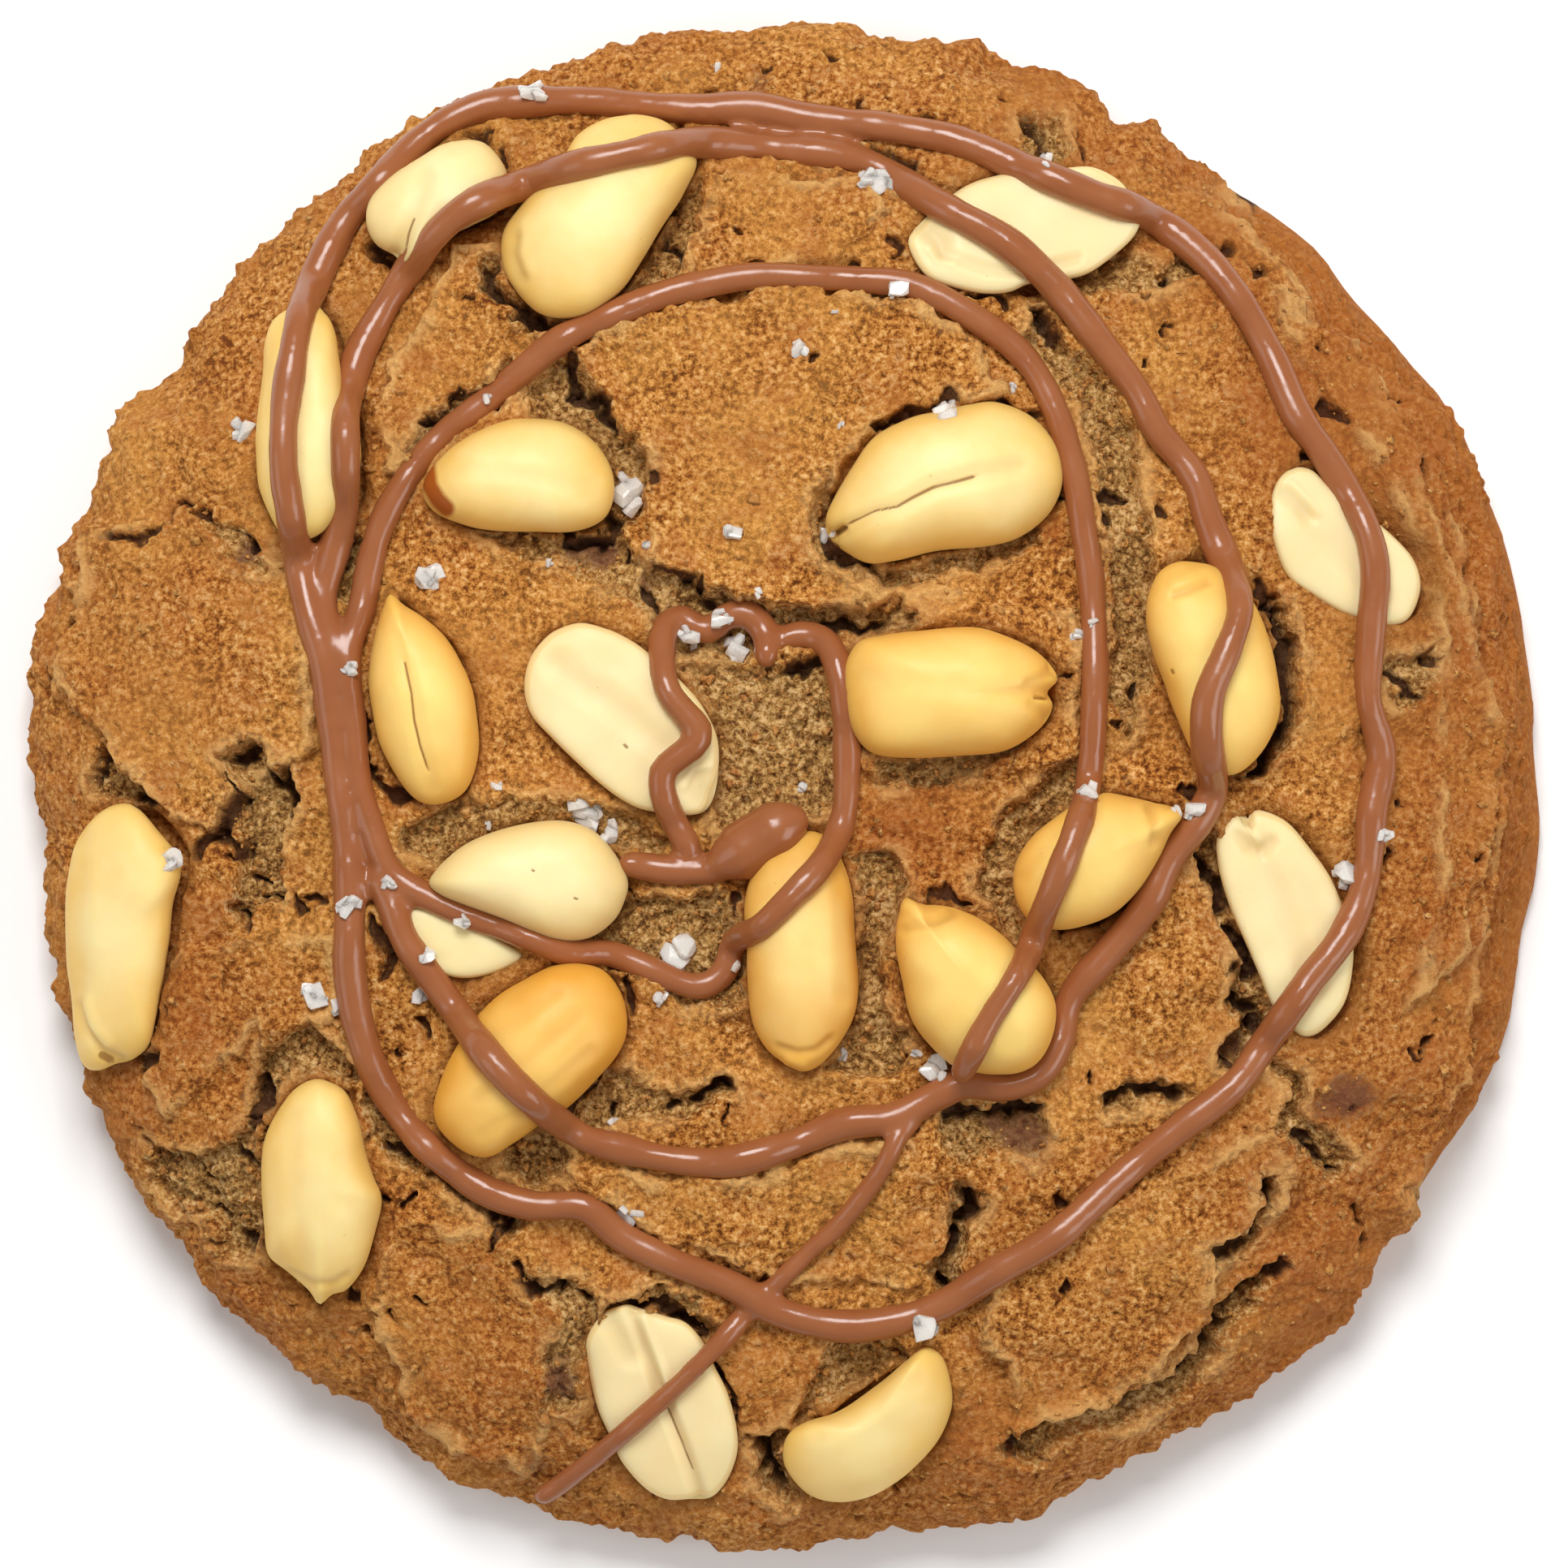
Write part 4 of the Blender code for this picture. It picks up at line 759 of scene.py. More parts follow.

# Narrow openings carved in the crust and crumb, each painted dark as shade
SHADED_HOLES = tuple(ShadedHole(width, tuple(course)) for width, *course in (
    (0.35, (-48.9, 18.4), (-48.6, 17.6)), (0.3, (-48.3, 17.4), (-47.4, 17.8), (-46.9, 17.8)),
    (0.4, (-46.5, 18.3), (-45.6, 18.7)), (0.3, (-45, 19.5), (-44.7, 19.7)),
    (0.3, (-44.1, 20.5), (-43.3, 20.6)), (0.35, (-42.5, 20), (-41.8, 19.4)),
    (0.4, (-39.4, 18), (-38.7, 17.1)), (0.35, (-51.8, 10.8), (-51, 11.4)), (0.35, (-52.8, 7.8), (-52.4, 6)),
    (0.4, (-49.9, 0.3), (-49.6, 1.5), (-49, 1.9)), (0.4, (-47.5, -1), (-46.6, -0.6), (-46.2, -1.2)),
    (0.4, (-39.4, 1.9), (-38.6, 2.1), (-37.8, 2.3)), (0.35, (-40.1, 0.6), (-39.9, -0.6)),
    (0.6, (-40.2, -1.1), (-40.9, -2), (-41.4, -3.2), (-42.3, -4.2), (-42.6, -5)),
    (0.65, (-41.6, -4), (-40.6, -4.3), (-40, -5.2)), (0.3, (-41, -5.6), (-40, -5.7)),
    (0.45, (-36.9, 0.9), (-36.5, 0.2), (-36.3, -0.8), (-36.6, -2)), (0.35, (-35.4, 1.1), (-36, 0.2)),
    (0.3, (-38.9, -6.8), (-38.5, -7.2)), (0.35, (-38.2, -8.5), (-37.1, -8.9)),
    (0.4, (-34.9, -8.1), (-33.6, -8)), (0.3, (-35.8, -8.4), (-35.1, -9.2)),
    (0.35, (-39.8, -9.4), (-39, -10.3)),
    (0.65, (-30.2, 4.8), (-29.9, 2.5), (-29.4, 0.6), (-28.6, -0.3), (-27.6, -0.8)),
    (0.55, (-28.5, -7.7), (-27.8, -8.6)),
    (0.45, (-29.9, -9.9), (-29.2, -11.4), (-28.5, -12.8), (-28.3, -14.2)),
    (0.6, (-30.6, 40), (-30.2, 38.8), (-29, 38.2)),
    (0.5, (-20.7, 36.8), (-20.6, 35.2), (-19.7, 34.1), (-18.2, 33.4), (-16.8, 33)),
    (0.45, (-15.9, 27.8), (-15.2, 28.3), (-14.8, 29.3), (-15.1, 30.3)),
    (0.55, (-15.2, 27.6), (-14.1, 27.3), (-13.4, 28), (-13, 26.8), (-12.2, 26)),
    (0.35, (-24.7, 27.5), (-23.4, 28.9)), (0.35, (-24.9, 26.6), (-26.4, 26)),
    (0.25, (-23.1, 35.1), (-21.9, 35)), (0.35, (-22.9, 46.8), (-21.4, 47)),
    (0.3, (-20.9, 46), (-20.3, 44.8)), (0.55, (-7.3, 47.5), (-6.6, 46.8)), (0.22, (-2.4, 38.2), (-1.8, 38)),
    (0.18, (-3.5, 40.3), (-3, 39.9)), (0.3, (-5.3, 50.8), (-4.4, 50.4)), (0.3, (-1.8, 52.4), (-0.9, 52.2)),
    (0.3, (-8.8, 39.5), (-7.5, 38.5)), (0.25, (-18.4, 41.6), (-19.3, 40.4)),
    (0.55, (6.2, 45.8), (7.4, 45.4), (8.6, 44.8), (9.1, 44.3)), (0.28, (9.4, 43.7), (10.3, 43.1)),
    (0.6, (18.2, 34.6), (18.7, 33.4), (19.8, 32.4)),
    (0.45, (17.8, 48.2), (18.8, 47.4), (18.8, 46), (18.9, 45.2)), (0.3, (21.5, 47), (22.3, 46.3)),
    (0.3, (7, 50.8), (7.2, 50.5)), (0.3, (7.6, 50), (7.9, 49.9)), (0.3, (5.3, 49.4), (5.9, 48.2)),
    (0.28, (3, 53), (3.5, 52.8)), (0.25, (15.3, 49.9), (15.7, 49.6)), (0.25, (10.2, 48.6), (10.6, 48.3)),
    (0.45, (25.6, 42.2), (26.6, 41.3), (27.9, 40.2)), (0.38, (30.3, 38.6), (30.6, 38.2)),
    (0.45, (31.6, 38.6), (31.8, 37.9)), (0.45, (33.4, 36.7), (33.9, 36.8)),
    (0.3, (27.6, 36.3), (27.6, 35.9)), (0.18, (27.1, 32.8), (27.2, 31.8)),
    (0.18, (25.5, 30.6), (25.6, 29.9)), (0.35, (13.5, 35.2), (15.5, 34.8)), (0.4, (7.8, 39.1), (8.1, 38.5)),
    (0.28, (4.6, 37.4), (5.1, 37.3)), (0.3, (1.7, 30.7), (1.9, 30.3)),
    (0.4, (6.6, 25.3), (9, 26.5), (11.8, 27.5)), (0.45, (15.2, 27.8), (16.6, 27.3), (17.9, 26.2)),
    (0.45, (3.2, 17.8), (3.6, 16.8), (4.6, 15.9), (6.4, 15.8)), (0.5, (38.5, 26.6), (39.8, 25.8)),
    (0.28, (43.4, 27.5), (44.5, 28)), (0.28, (38.9, 35), (38.8, 34.6)), (0.25, (40.2, 33.2), (40.5, 33)),
    (0.28, (38.4, 31.8), (38.4, 31.3)), (0.3, (45.7, 19.6), (46.4, 18.6)),
    (0.28, (47.5, 23.5), (47.8, 23.3)), (0.28, (49.6, 18.7), (49.8, 18.5)),
    (0.35, (49.3, 15.6), (49.6, 15.2)), (0.35, (36.2, 23.5), (37.6, 23.2)),
    (0.5, (33.6, 13.8), (34.1, 12.6)), (0.3, (18.9, 20.2), (19.8, 19.9)), (0.42, (23, 20.8), (24.4, 20.2)),
    (0.3, (22.9, 19.3), (23.6, 18.7)), (0.28, (26.8, 19.1), (27, 18.8)), (0.25, (19.6, 7.8), (19.8, 7.7)),
    (0.3, (24.6, 7.2), (24.8, 6)), (0.25, (23.2, 4.3), (23.4, 4)), (0.45, (27.8, -0.3), (28.8, -1)),
    (0.6, (34.3, 12.2), (35.3, 10), (35.8, 6.5), (35.5, 4), (34.2, 2.2), (33.2, 1.2)),
    (0.38, (10.2, -8), (11.2, -7.9), (12.6, -8.6)), (0.28, (19.6, -10.3), (22.5, -9.3), (25, -7.7)),
    (0.55, (29.8, -5.5), (30.6, -7.2), (31, -8.8)), (0.6, (31.6, -10.8), (32.4, -12.6), (33, -13.3)),
    (0.4, (31.9, -15.2), (33.2, -15.8)), (0.65, (33.2, -17), (34.3, -18)),
    (0.3, (31.2, -20), (31.8, -20.6)),
    (0.38, (23.3, -22.2), (24.5, -21.6), (26.5, -21.9), (27.3, -22.2), (28.8, -22.6)),
    (0.3, (21.6, -20.5), (21.8, -21)), (0.3, (43, 7.6), (44.4, 7), (45.1, 6.2)),
    (0.28, (46, 8.5), (46.4, 8.3)), (0.28, (43.2, -1), (43.3, -1.4)), (0.3, (42.8, -4.9), (42.5, -5.5)),
    (0.22, (48.4, -5.2), (48.8, -5.3)), (0.35, (44.6, -18.3), (45.4, -17.9)),
    (0.25, (44.2, -19.2), (43.6, -18.6)), (0.5, (-46.9, -20), (-45.8, -19.8), (-46.2, -21.2)),
    (0.4, (-37.4, -21.6), (-37.2, -23), (-37.9, -23.8)), (0.25, (-38.4, -24.4), (-37.6, -24.2)),
    (0.25, (-37.1, -24.6), (-37.4, -25.4)), (0.3, (-38.9, -26.5), (-38.3, -27.6)),
    (0.38, (-37.3, -30.3), (-37.3, -32), (-36.8, -33.6)), (0.5, (-39.4, -32.6), (-38.6, -33.3)),
    (0.28, (-41.1, -33.2), (-40.7, -33.3)), (0.35, (-31.4, -36.6), (-31, -37)),
    (0.28, (-34.4, -36.6), (-33.7, -37.8)), (0.3, (-28.2, -25.9), (-27, -26.1)),
    (0.4, (-26, -17), (-25.7, -18.4)), (0.25, (-27.6, -19), (-27.4, -19.4)),
    (0.45, (-24.6, -28), (-23.6, -28.9), (-22.4, -30.2), (-21, -31.4), (-20, -32)),
    (0.28, (-28.6, -29.5), (-28.3, -29.6)), (0.3, (-27, -30.3), (-26.4, -29.8)),
    (0.32, (-28.4, -38.2), (-28, -38.6)), (0.3, (-30.4, -39.7), (-30, -40)),
    (0.25, (-26.5, -37.2), (-26.3, -37.5)), (0.3, (-46.3, -25.3), (-46, -25.6)),
    (0.3, (-41, -30.8), (-40.7, -31.1)), (0.25, (-43.4, -29.5), (-43.1, -29.8)),
    (0.32, (-42, -28.4), (-41.4, -28.8)), (0.45, (-6.2, -22.6), (-5.2, -21.7), (-3.8, -22)),
    (0.3, (-8.2, -22.8), (-7.3, -23)), (0.25, (-4.2, -23.4), (-3.8, -24.3)),
    (0.3, (-11.9, -22.9), (-11.8, -23.6)),
    (0.42, (-18.8, -34.5), (-17.8, -35.2), (-16.5, -35.6), (-15.5, -35.6)),
    (0.25, (-14.6, -36), (-14.1, -36.8)), (0.2, (-13.2, -37.3), (-13.4, -38)),
    (0.4, (-11, -36.9), (-9, -37.3), (-7, -38.7), (-6, -39.9)),
    (0.38, (-4.8, -42.2), (-3.6, -44.2), (-3.2, -46)), (0.7, (-1.6, -47.8), (-0.9, -49.3), (-0.3, -50.8)),
    (0.32, (-11.4, -14.2), (-11.2, -16.4)), (0.25, (-12.5, -19.8), (-13.8, -21.6), (-16, -23.4)),
    (0.25, (4, -40), (4, -40.4)), (0.3, (8.3, -50), (8.2, -51.5)), (0.38, (4.5, -52.7), (4.9, -53.3)),
    (0.2, (-20.6, -33.8), (-19.8, -31.9)), (0.6, (13.4, -29.2), (13.4, -30.4), (12.6, -31.4)),
    (0.45, (12.2, -32.4), (11.6, -33.8)), (0.45, (11.1, -35.4), (11.8, -36.3)),
    (0.3, (34.3, -28.4), (34, -29.6), (33.6, -30.6), (33, -31.6), (32.2, -32.3), (31.2, -33), (30.3, -33.6)),
    (0.36, (35.4, -34.1), (34.2, -35), (33.3, -35.9), (32.4, -36.8), (31.2, -37.8), (30.9, -38.6),
     (30.7, -39.4)),
    (0.45, (31.4, -38.4), (31.8, -38.8)), (0.25, (28.6, -39.3), (28.3, -39.9)),
    (0.3, (29.5, -38.6), (29.8, -38.9)),
    (0.42, (30.4, -40.2), (29.6, -41.4), (28.4, -42.4), (27.2, -43), (25.6, -43.6), (24.8, -44.4)),
    (0.32, (24.5, -44.8), (22, -45.4), (19.5, -45.8), (17.2, -46.6), (16.4, -47.8)),
    (0.34, (19.9, -35.8), (20.2, -36.1)), (0.34, (19.7, -29.3), (19.9, -29.9)),
    (0.42, (36.9, -25), (38.4, -26.6), (39.7, -27.8)), (0.3, (40.6, -30.2), (41.4, -31.2)),
    (0.36, (41.5, -32.4), (41.8, -32.8)), (0.5, (11.4, -23.7), (14, -22.8), (18, -23.2)),
    (0.5, (-16, 17.9), (-14.8, 17.6), (-13.4, 17.9), (-12, 18.8)),
    (0.42, (-8.8, 15.3), (-7.6, 15.1), (-6.9, 14.4)), (0.28, (-6.1, 14.6), (-5.9, 13.8)),
    (0.42, (-5.3, 13.2), (-4.6, 12.8)), (0.3, (-10.2, 14), (-9.4, 13.2)), (0.3, (-11.3, 17), (-11.5, 16.2)),
    (0.48, (2.6, 11.4), (3.4, 11), (4.6, 11.2), (7, 11.8)), (0.38, (-0.1, 8.6), (1.4, 8.2), (2.6, 8.6)),
    (0.25, (-11.3, -7.5), (-11, -7.8)), (0.28, (-3.5, -7.6), (-3.4, -9.2)),
    (0.3, (-9.6, 22.4), (-9.3, 21.6)),
))

CHIPS = tuple(Spot(*row) for row in (
    ((-39.4, 16.9), 1.5, 0.8), ((39.9, -21.9), 1.9, 0.9), ((38.4, -22.8), 1.5, 0.7),
    ((16.8, -25), 1.8, 0.9), ((14.8, -24), 1.3, 0.8), ((-15.9, -42.4), 1.5, 0.9), ((-13.6, 16.9), 1.3, 0.9),
    ((-15.2, 16.9), 0.9, 0.8), ((-1.8, 51), 1.5, 0.7), ((36.9, -29.8), 1.0, 0.5), ((-18, -48.4), 1.9, 0.6),
    ((32, -19), 1.2, 0.8), ((35.4, -32.8), 1.1, 0.4), ((-9.9, 14.6), 1.0, 0.7),
))

# Where the crust browned more, with how much
BROWNED = tuple(Spot(*row) for row in (
    ((8.5, -2.8), 5.0, 0.95), ((-43, -15), 5.5, 0.5), ((-20, -39), 7.0, 0.45), ((-46, 8), 6.0, 0.35),
    ((20, 48), 6.0, 0.5), ((41, 24), 7.0, 0.6), ((39, -40), 8.0, 0.5), ((19, 18), 1.4, 1.0),
    ((-23.6, 27.9), 1.2, 1.0), ((15, -49), 6.0, 0.45), ((-48, -24), 5.0, 0.5), ((-38, -38), 6.0, 0.5),
    ((2, -51), 5.0, 0.5), ((32, 41), 4.0, 0.4),
))


class Form(Enum):
    """The two forms that a kernel has."""

    WHOLE = "whole"
    HALF = "half"


@dataclass(frozen=True)
class Kernel:
    """A peanut kernel: its middle, thickness, form, tone and outline seen from above.

    The outline is given from the middle.
    """

    middle: Place
    thickness: float
    form: Form
    tone: str
    outline: tuple[Place, ...]

    def edge(self) -> Array:
        """Returns the outline's places on the cookie."""
        return np.asarray(self.outline, float) + np.array(self.middle)

    def reach(self, turns: Array) -> Array:
        """Returns how far the smoothed outline is from the middle in each direction."""
        looped = (*self.outline[-2:], *self.outline, *self.outline[:2])
        course = smooth_course(looped, 0.15)
        ends = np.arctan2(course[:, 1], course[:, 0])
        return np.interp(turns, ends, np.hypot(course[:, 0], course[:, 1]), period=2 * math.pi)


WHOLE, HALF = Form

KERNELS = tuple(Kernel(*row[:4], row[4:]) for row in (
    ((-25.0, 42.1), 7.7, WHOLE, "cream", (0.2, 4), (1.8, 4.35), (3.4, 4.1), (4.7, 2.7), (5.2, 1.2),
     (4.6, -0.8), (2.6, -1.9), (0.6, -2.9), (-1.2, -4.1), (-2.3, -4.9), (-3, -4.1), (-4.4, -3.2),
     (-5.1, -1.6), (-4.8, 0.1), (-3.4, 1.7), (-1.4, 3)),
    ((-13.3, 40.7), 8.8, WHOLE, "pale", (0.2, 7), (2.4, 7.4), (4.6, 7), (6, 5.8), (7, 4), (6, 1.6),
     (4.6, -0.6), (3.2, -3), (1.6, -5.4), (-0.4, -7), (-2.4, -7.4), (-4.4, -6.9), (-6, -5.2), (-6.9, -3.2),
     (-6.8, -1), (-5.4, 1), (-3.6, 3), (-2.6, 4.4), (-1.6, 6)),
    ((17.0, 39.9), 4.5, HALF, "ivory", (-7.9, -1.8), (-6.8, -3.5), (-5, -4.2), (-2.6, -4.7), (-0.8, -4.6),
     (0.6, -4), (2.4, -3.8), (4.6, -3.3), (6.4, -2.2), (8, -0.8), (8.6, 0.6), (8.2, 2), (7, 3.6), (5.2, 4.5),
     (3.2, 4.4), (1, 4.2), (-1.6, 3.8), (-3.4, 3.3), (-5, 2.4), (-7.1, 0.5), (-8, -0.7)),
    ((-33.9, 26.0), 7.1, WHOLE, "pale", (-1.6, 8.3), (-2.8, 7.4), (-3.4, 5.6), (-3.5, 3.4), (-3.9, 0),
     (-4, -2.4), (-3.8, -4.6), (-3, -6.6), (-2, -8.1), (-0.8, -8.6), (0.2, -8.4), (1.2, -7.8), (2.4, -6.2),
     (3.3, -4), (3.5, -2), (3.2, 0), (2.4, 2), (2.1, 4), (1.7, 6.4), (1.1, 7.7), (0, 8.6)),
    ((-18.9, 21.9), 7.5, WHOLE, "pale", (-1, 4.1), (1, 4.2), (3.2, 3.9), (5, 2.9), (6.3, 1.2), (6.8, -0.6),
     (6.4, -2.4), (5.4, -3.4), (3.6, -3.9), (1, -3.9), (-1.6, -3.8), (-4, -3.3), (-6, -2.4), (-6.9, -1),
     (-6.4, 0.6), (-4.8, 2.2), (-3, 3.3)),
    ((11.4, 21.6), 9.5, WHOLE, "pale", (-8.4, -2.4), (-8.4, -3.4), (-7.8, -4.3), (-6.9, -5), (-5.4, -5.7),
     (-3.6, -5.6), (-0.6, -5), (2.6, -4.7), (5, -4.1), (7, -2.8), (8.2, -1.2), (8.6, 0.6), (8, 2.8),
     (6.4, 4.7), (4, 5.8), (2, 5.7), (0, 5.2), (-2.4, 4.6), (-5, 3.2), (-6.8, 0.8), (-7.9, -1.2)),
    ((40.3, 17.1), 4.0, HALF, "ivory", (-4.6, 5), (-3.6, 5.6), (-2.4, 5.4), (-1.2, 4.4), (0.4, 3.4), (2, 2),
     (3.6, 0.6), (5, -0.9), (5.5, -2.6), (5.2, -4.2), (4.4, -5.4), (3, -5.7), (1.6, -5.4), (0, -5),
     (-2, -3.9), (-3.8, -2.6), (-4.8, -0.8), (-5.4, 1.6), (-5.3, 3.6)),
    ((-25.8, 5.9), 7.0, WHOLE, "yellow", (-2.3, 7.7), (-1.4, 6.9), (0, 6), (1.6, 4.6), (2.8, 2.6),
     (3.7, 0.4), (4, -2.4), (3.7, -4.8), (2.8, -6.6), (1, -7.4), (-0.6, -7), (-2, -5.4), (-3.2, -3),
     (-3.7, -0.4), (-3.9, 2), (-3.4, 5), (-2.8, 6.9)),
    ((-11.5, 4.6), 4.8, HALF, "ivory", (-2.6, 6.9), (-0.8, 6.4), (1, 5.4), (2.6, 4.1), (4.4, 2.5),
     (5.8, 0.8), (6.8, -1.4), (6.8, -3.8), (6.2, -6), (5, -6.8), (2.4, -6.6), (0.8, -6.2), (-1, -5.1),
     (-3, -3.4), (-5, -1.4), (-6.6, 0.4), (-7.1, 2.4), (-6.6, 4.6), (-5.2, 6.2), (-3.8, 6.8)),
    ((12.0, 6.6), 8.5, WHOLE, "yellow", (-6.6, 3.5), (-4.8, 4), (-2, 4.4), (1.6, 4.6), (3.8, 4), (5.8, 3),
     (7, 1.9), (7.5, 0.8), (6.8, -0.1), (7.2, -1), (6.7, -2.2), (5.4, -3.4), (3.6, -4.3), (0.6, -4.6),
     (-3, -4.8), (-5.6, -4.5), (-7, -3), (-7.7, -0.6), (-7.6, 1.8)),
    ((30.6, 8.4), 7.7, WHOLE, "yellow", (-2.6, 7.4), (-1.2, 7.4), (0.4, 7), (2, 6), (3.2, 4.2), (4.2, 1.6),
     (4.7, -1), (4.8, -3.4), (3.8, -5.8), (2.2, -7.4), (0.8, -7.8), (-0.6, -7.4), (-1.6, -5.8), (-2.6, -3.6),
     (-3.4, -1.4), (-4.2, 0.8), (-4.7, 3), (-4.6, 5), (-3.9, 6.6)),
    ((-48.0, -10.9), 6.8, WHOLE, "pale", (0.8, 9.5), (1.8, 9), (3, 7.6), (4.4, 5.8), (4.6, 4.4), (4.1, 2.4),
     (3.8, -0.2), (3.4, -3), (2.8, -6), (2.2, -8), (1, -9), (-0.2, -9.3), (-1.5, -9.8), (-2.6, -9.5),
     (-3.2, -7.6), (-3.4, -4.6), (-3.8, -2), (-3.9, 1), (-3.7, 4), (-3.2, 6.4), (-2, 8.2), (-0.6, 9.2)),
    ((-18.5, -6.9), 7.5, WHOLE, "cream", (-6.9, -0.2), (-6.2, 1), (-4.6, 2.4), (-2.6, 3.4), (0, 4.1),
     (2.6, 4.3), (4.8, 3.6), (6.4, 2), (7.3, 0), (7, -1.6), (6.2, -3), (4.6, -4.1), (2.4, -4.3), (0.4, -3.6),
     (-1.6, -2.7), (-4, -1.9), (-6, -1.1)),
    ((1.3, -11.9), 7.5, WHOLE, "golden", (0.8, 8.5), (2, 7.9), (3, 6), (3.6, 4), (3.8, 1.4), (4, -1.2),
     (4, -3), (3.6, -5), (2.4, -7), (1.2, -8.2), (0, -8.6), (-1.2, -8.1), (-2.6, -7), (-3.6, -5),
     (-3.9, -2.4), (-4, 0.6), (-4.2, 3), (-3.8, 5), (-2.6, 7), (-0.7, 8.3)),
    ((22.0, -5.6), 7.6, WHOLE, "yellow", (-0.4, 4.6), (1, 5), (3, 4.6), (5, 4), (6.5, 3.5), (5.6, 1.9),
     (4.8, 0.2), (3.4, -2), (1.6, -3.6), (-0.6, -4.5), (-2.6, -4.8), (-4.2, -4.4), (-5.2, -3.2),
     (-5.6, -1.4), (-5.4, 0.2), (-4.4, 1.8), (-3, 3), (-1.6, 4)),
    ((13.6, -14.7), 8.8, WHOLE, "yellow", (-4.9, 6.6), (-4, 6.1), (-2, 6), (-0.2, 5.4), (1.6, 4.2),
     (3.4, 2.6), (5, 0.8), (5.8, -1.2), (5.6, -3.4), (4.6, -5.2), (3.2, -6), (1.4, -6.1), (0, -5.9),
     (-1.6, -5.4), (-3.2, -4), (-4.6, -2), (-5.2, 0.6), (-5.6, 2.8), (-5.6, 4.6), (-5.3, 5.7)),
    ((35.8, -9.9), 4.5, HALF, "ivory", (-4, 7.5), (-3.1, 7.9), (-2.7, 7.2), (-2.2, 8), (-1, 7.8), (0.4, 7),
     (1.8, 5.4), (3.2, 3.6), (4.1, 1.6), (4.9, -0.6), (5, -3.2), (4.4, -5.8), (3, -7.6), (1.8, -8.2),
     (0.8, -7.8), (-0.6, -6.2), (-1.6, -4), (-2.8, -1.4), (-3.8, 1), (-4.6, 4), (-4.8, 6)),
    ((-18.1, -19.8), 8.6, WHOLE, "toasted", (0, 6.1), (1.6, 6.8), (3.6, 7), (5.4, 6.4), (6.6, 4.6),
     (6.9, 2.4), (6.2, 0.4), (4.4, -1.8), (2.6, -3.4), (0.6, -4.6), (-1.4, -6), (-3, -6.9), (-4.6, -6.6),
     (-6.4, -5), (-6.9, -3.4), (-6.4, -1.4), (-5.4, 0.8), (-4, 3), (-2.2, 4.8)),
    ((-33.3, -28.9), 7.7, WHOLE, "pale", (0.4, 7.7), (1.8, 6.9), (2.8, 4.8), (3.3, 2.6), (3.9, 0.6),
     (4.4, -0.9), (4, -3), (3.2, -5.6), (2, -7.4), (0.8, -7.9), (-0.1, -8.6), (-0.9, -7.6), (-2.4, -6.2),
     (-3.8, -5), (-4.1, -3), (-4.3, 0), (-4.1, 3), (-3.2, 5.2), (-1.8, 7), (-0.6, 7.7)),
    ((-8.8, -44.4), 5.0, HALF, "ivory", (-4.2, 6.4), (-2.6, 7.1), (-1.4, 6.8), (0.4, 6.3), (1.8, 5.8),
     (3, 4.4), (3.8, 2.6), (4.8, 0.6), (5.4, -1.8), (5.5, -3.6), (4.8, -5.6), (3.6, -7), (2, -7.2),
     (0.4, -7.2), (-1.2, -6.4), (-2.8, -4.6), (-3.8, -2.4), (-4.8, 0), (-5.4, 2.8), (-5.4, 4.6)),
    ((6.2, -46.4), 6.6, WHOLE, "pale", (4, 6), (5.2, 5.2), (5.8, 3.2), (5.8, 1.4), (5, -0.6), (3.4, -2.6),
     (1.8, -4), (0, -5), (-2, -5.4), (-4, -5), (-5.4, -3.8), (-6.2, -2.2), (-6, -0.6), (-4.8, 0.4),
     (-2.6, 1.1), (-0.6, 2.4), (1, 3.6), (2.6, 5)),
    ((-23.6, -11.6), 3.0, HALF, "cream", (-3.9, 2), (-3, 2.8), (-1, 2.6), (1, 1.8), (3, 0.6), (5, -0.6),
     (4.2, -1.3), (2.6, -2), (0.6, -2.3), (-1.2, -1.9), (-2.6, -0.8), (-3.4, 0.6)),
))

TONES = {
    "ivory": RoastedPeanut("Blanched peanut ivory", "#F8E1AC", "#F3D090"),
    "cream": RoastedPeanut("Blanched peanut cream", "#FBE6AE", "#F0D08A"),
    "pale": RoastedPeanut("Blanched peanut pale", "#FCE4A2", "#EFC268"),
    "golden": RoastedPeanut("Roasted peanut light gold", "#FCD98A", "#EDAF4E"),
    "yellow": RoastedPeanut("Roasted peanut yellow", "#FDDA82", "#EEB555"),
    "toasted": RoastedPeanut("Roasted peanut golden", "#FBCC70", "#E4A23C"),
}


class Mark(Enum):
    """What a mark on a kernel is."""

    SEAM = "seam"
    SKIN = "skin"
    CREASE = "crease"


@dataclass(frozen=True)
class KernelMark:
    """A thin seam, scrap of skin or soft crease, given from the kernel's middle.

    A depth below 0 is a ridge. Shade is how much a crease is darkened: painted shade in the groove,
    and the germ's own colour in its pocket.
    """

    kernel: int
    kind: Mark
    width: float
    depth: float
    shade: float
    course: tuple[Place, ...]


SEAM, SKIN, CREASE = Mark

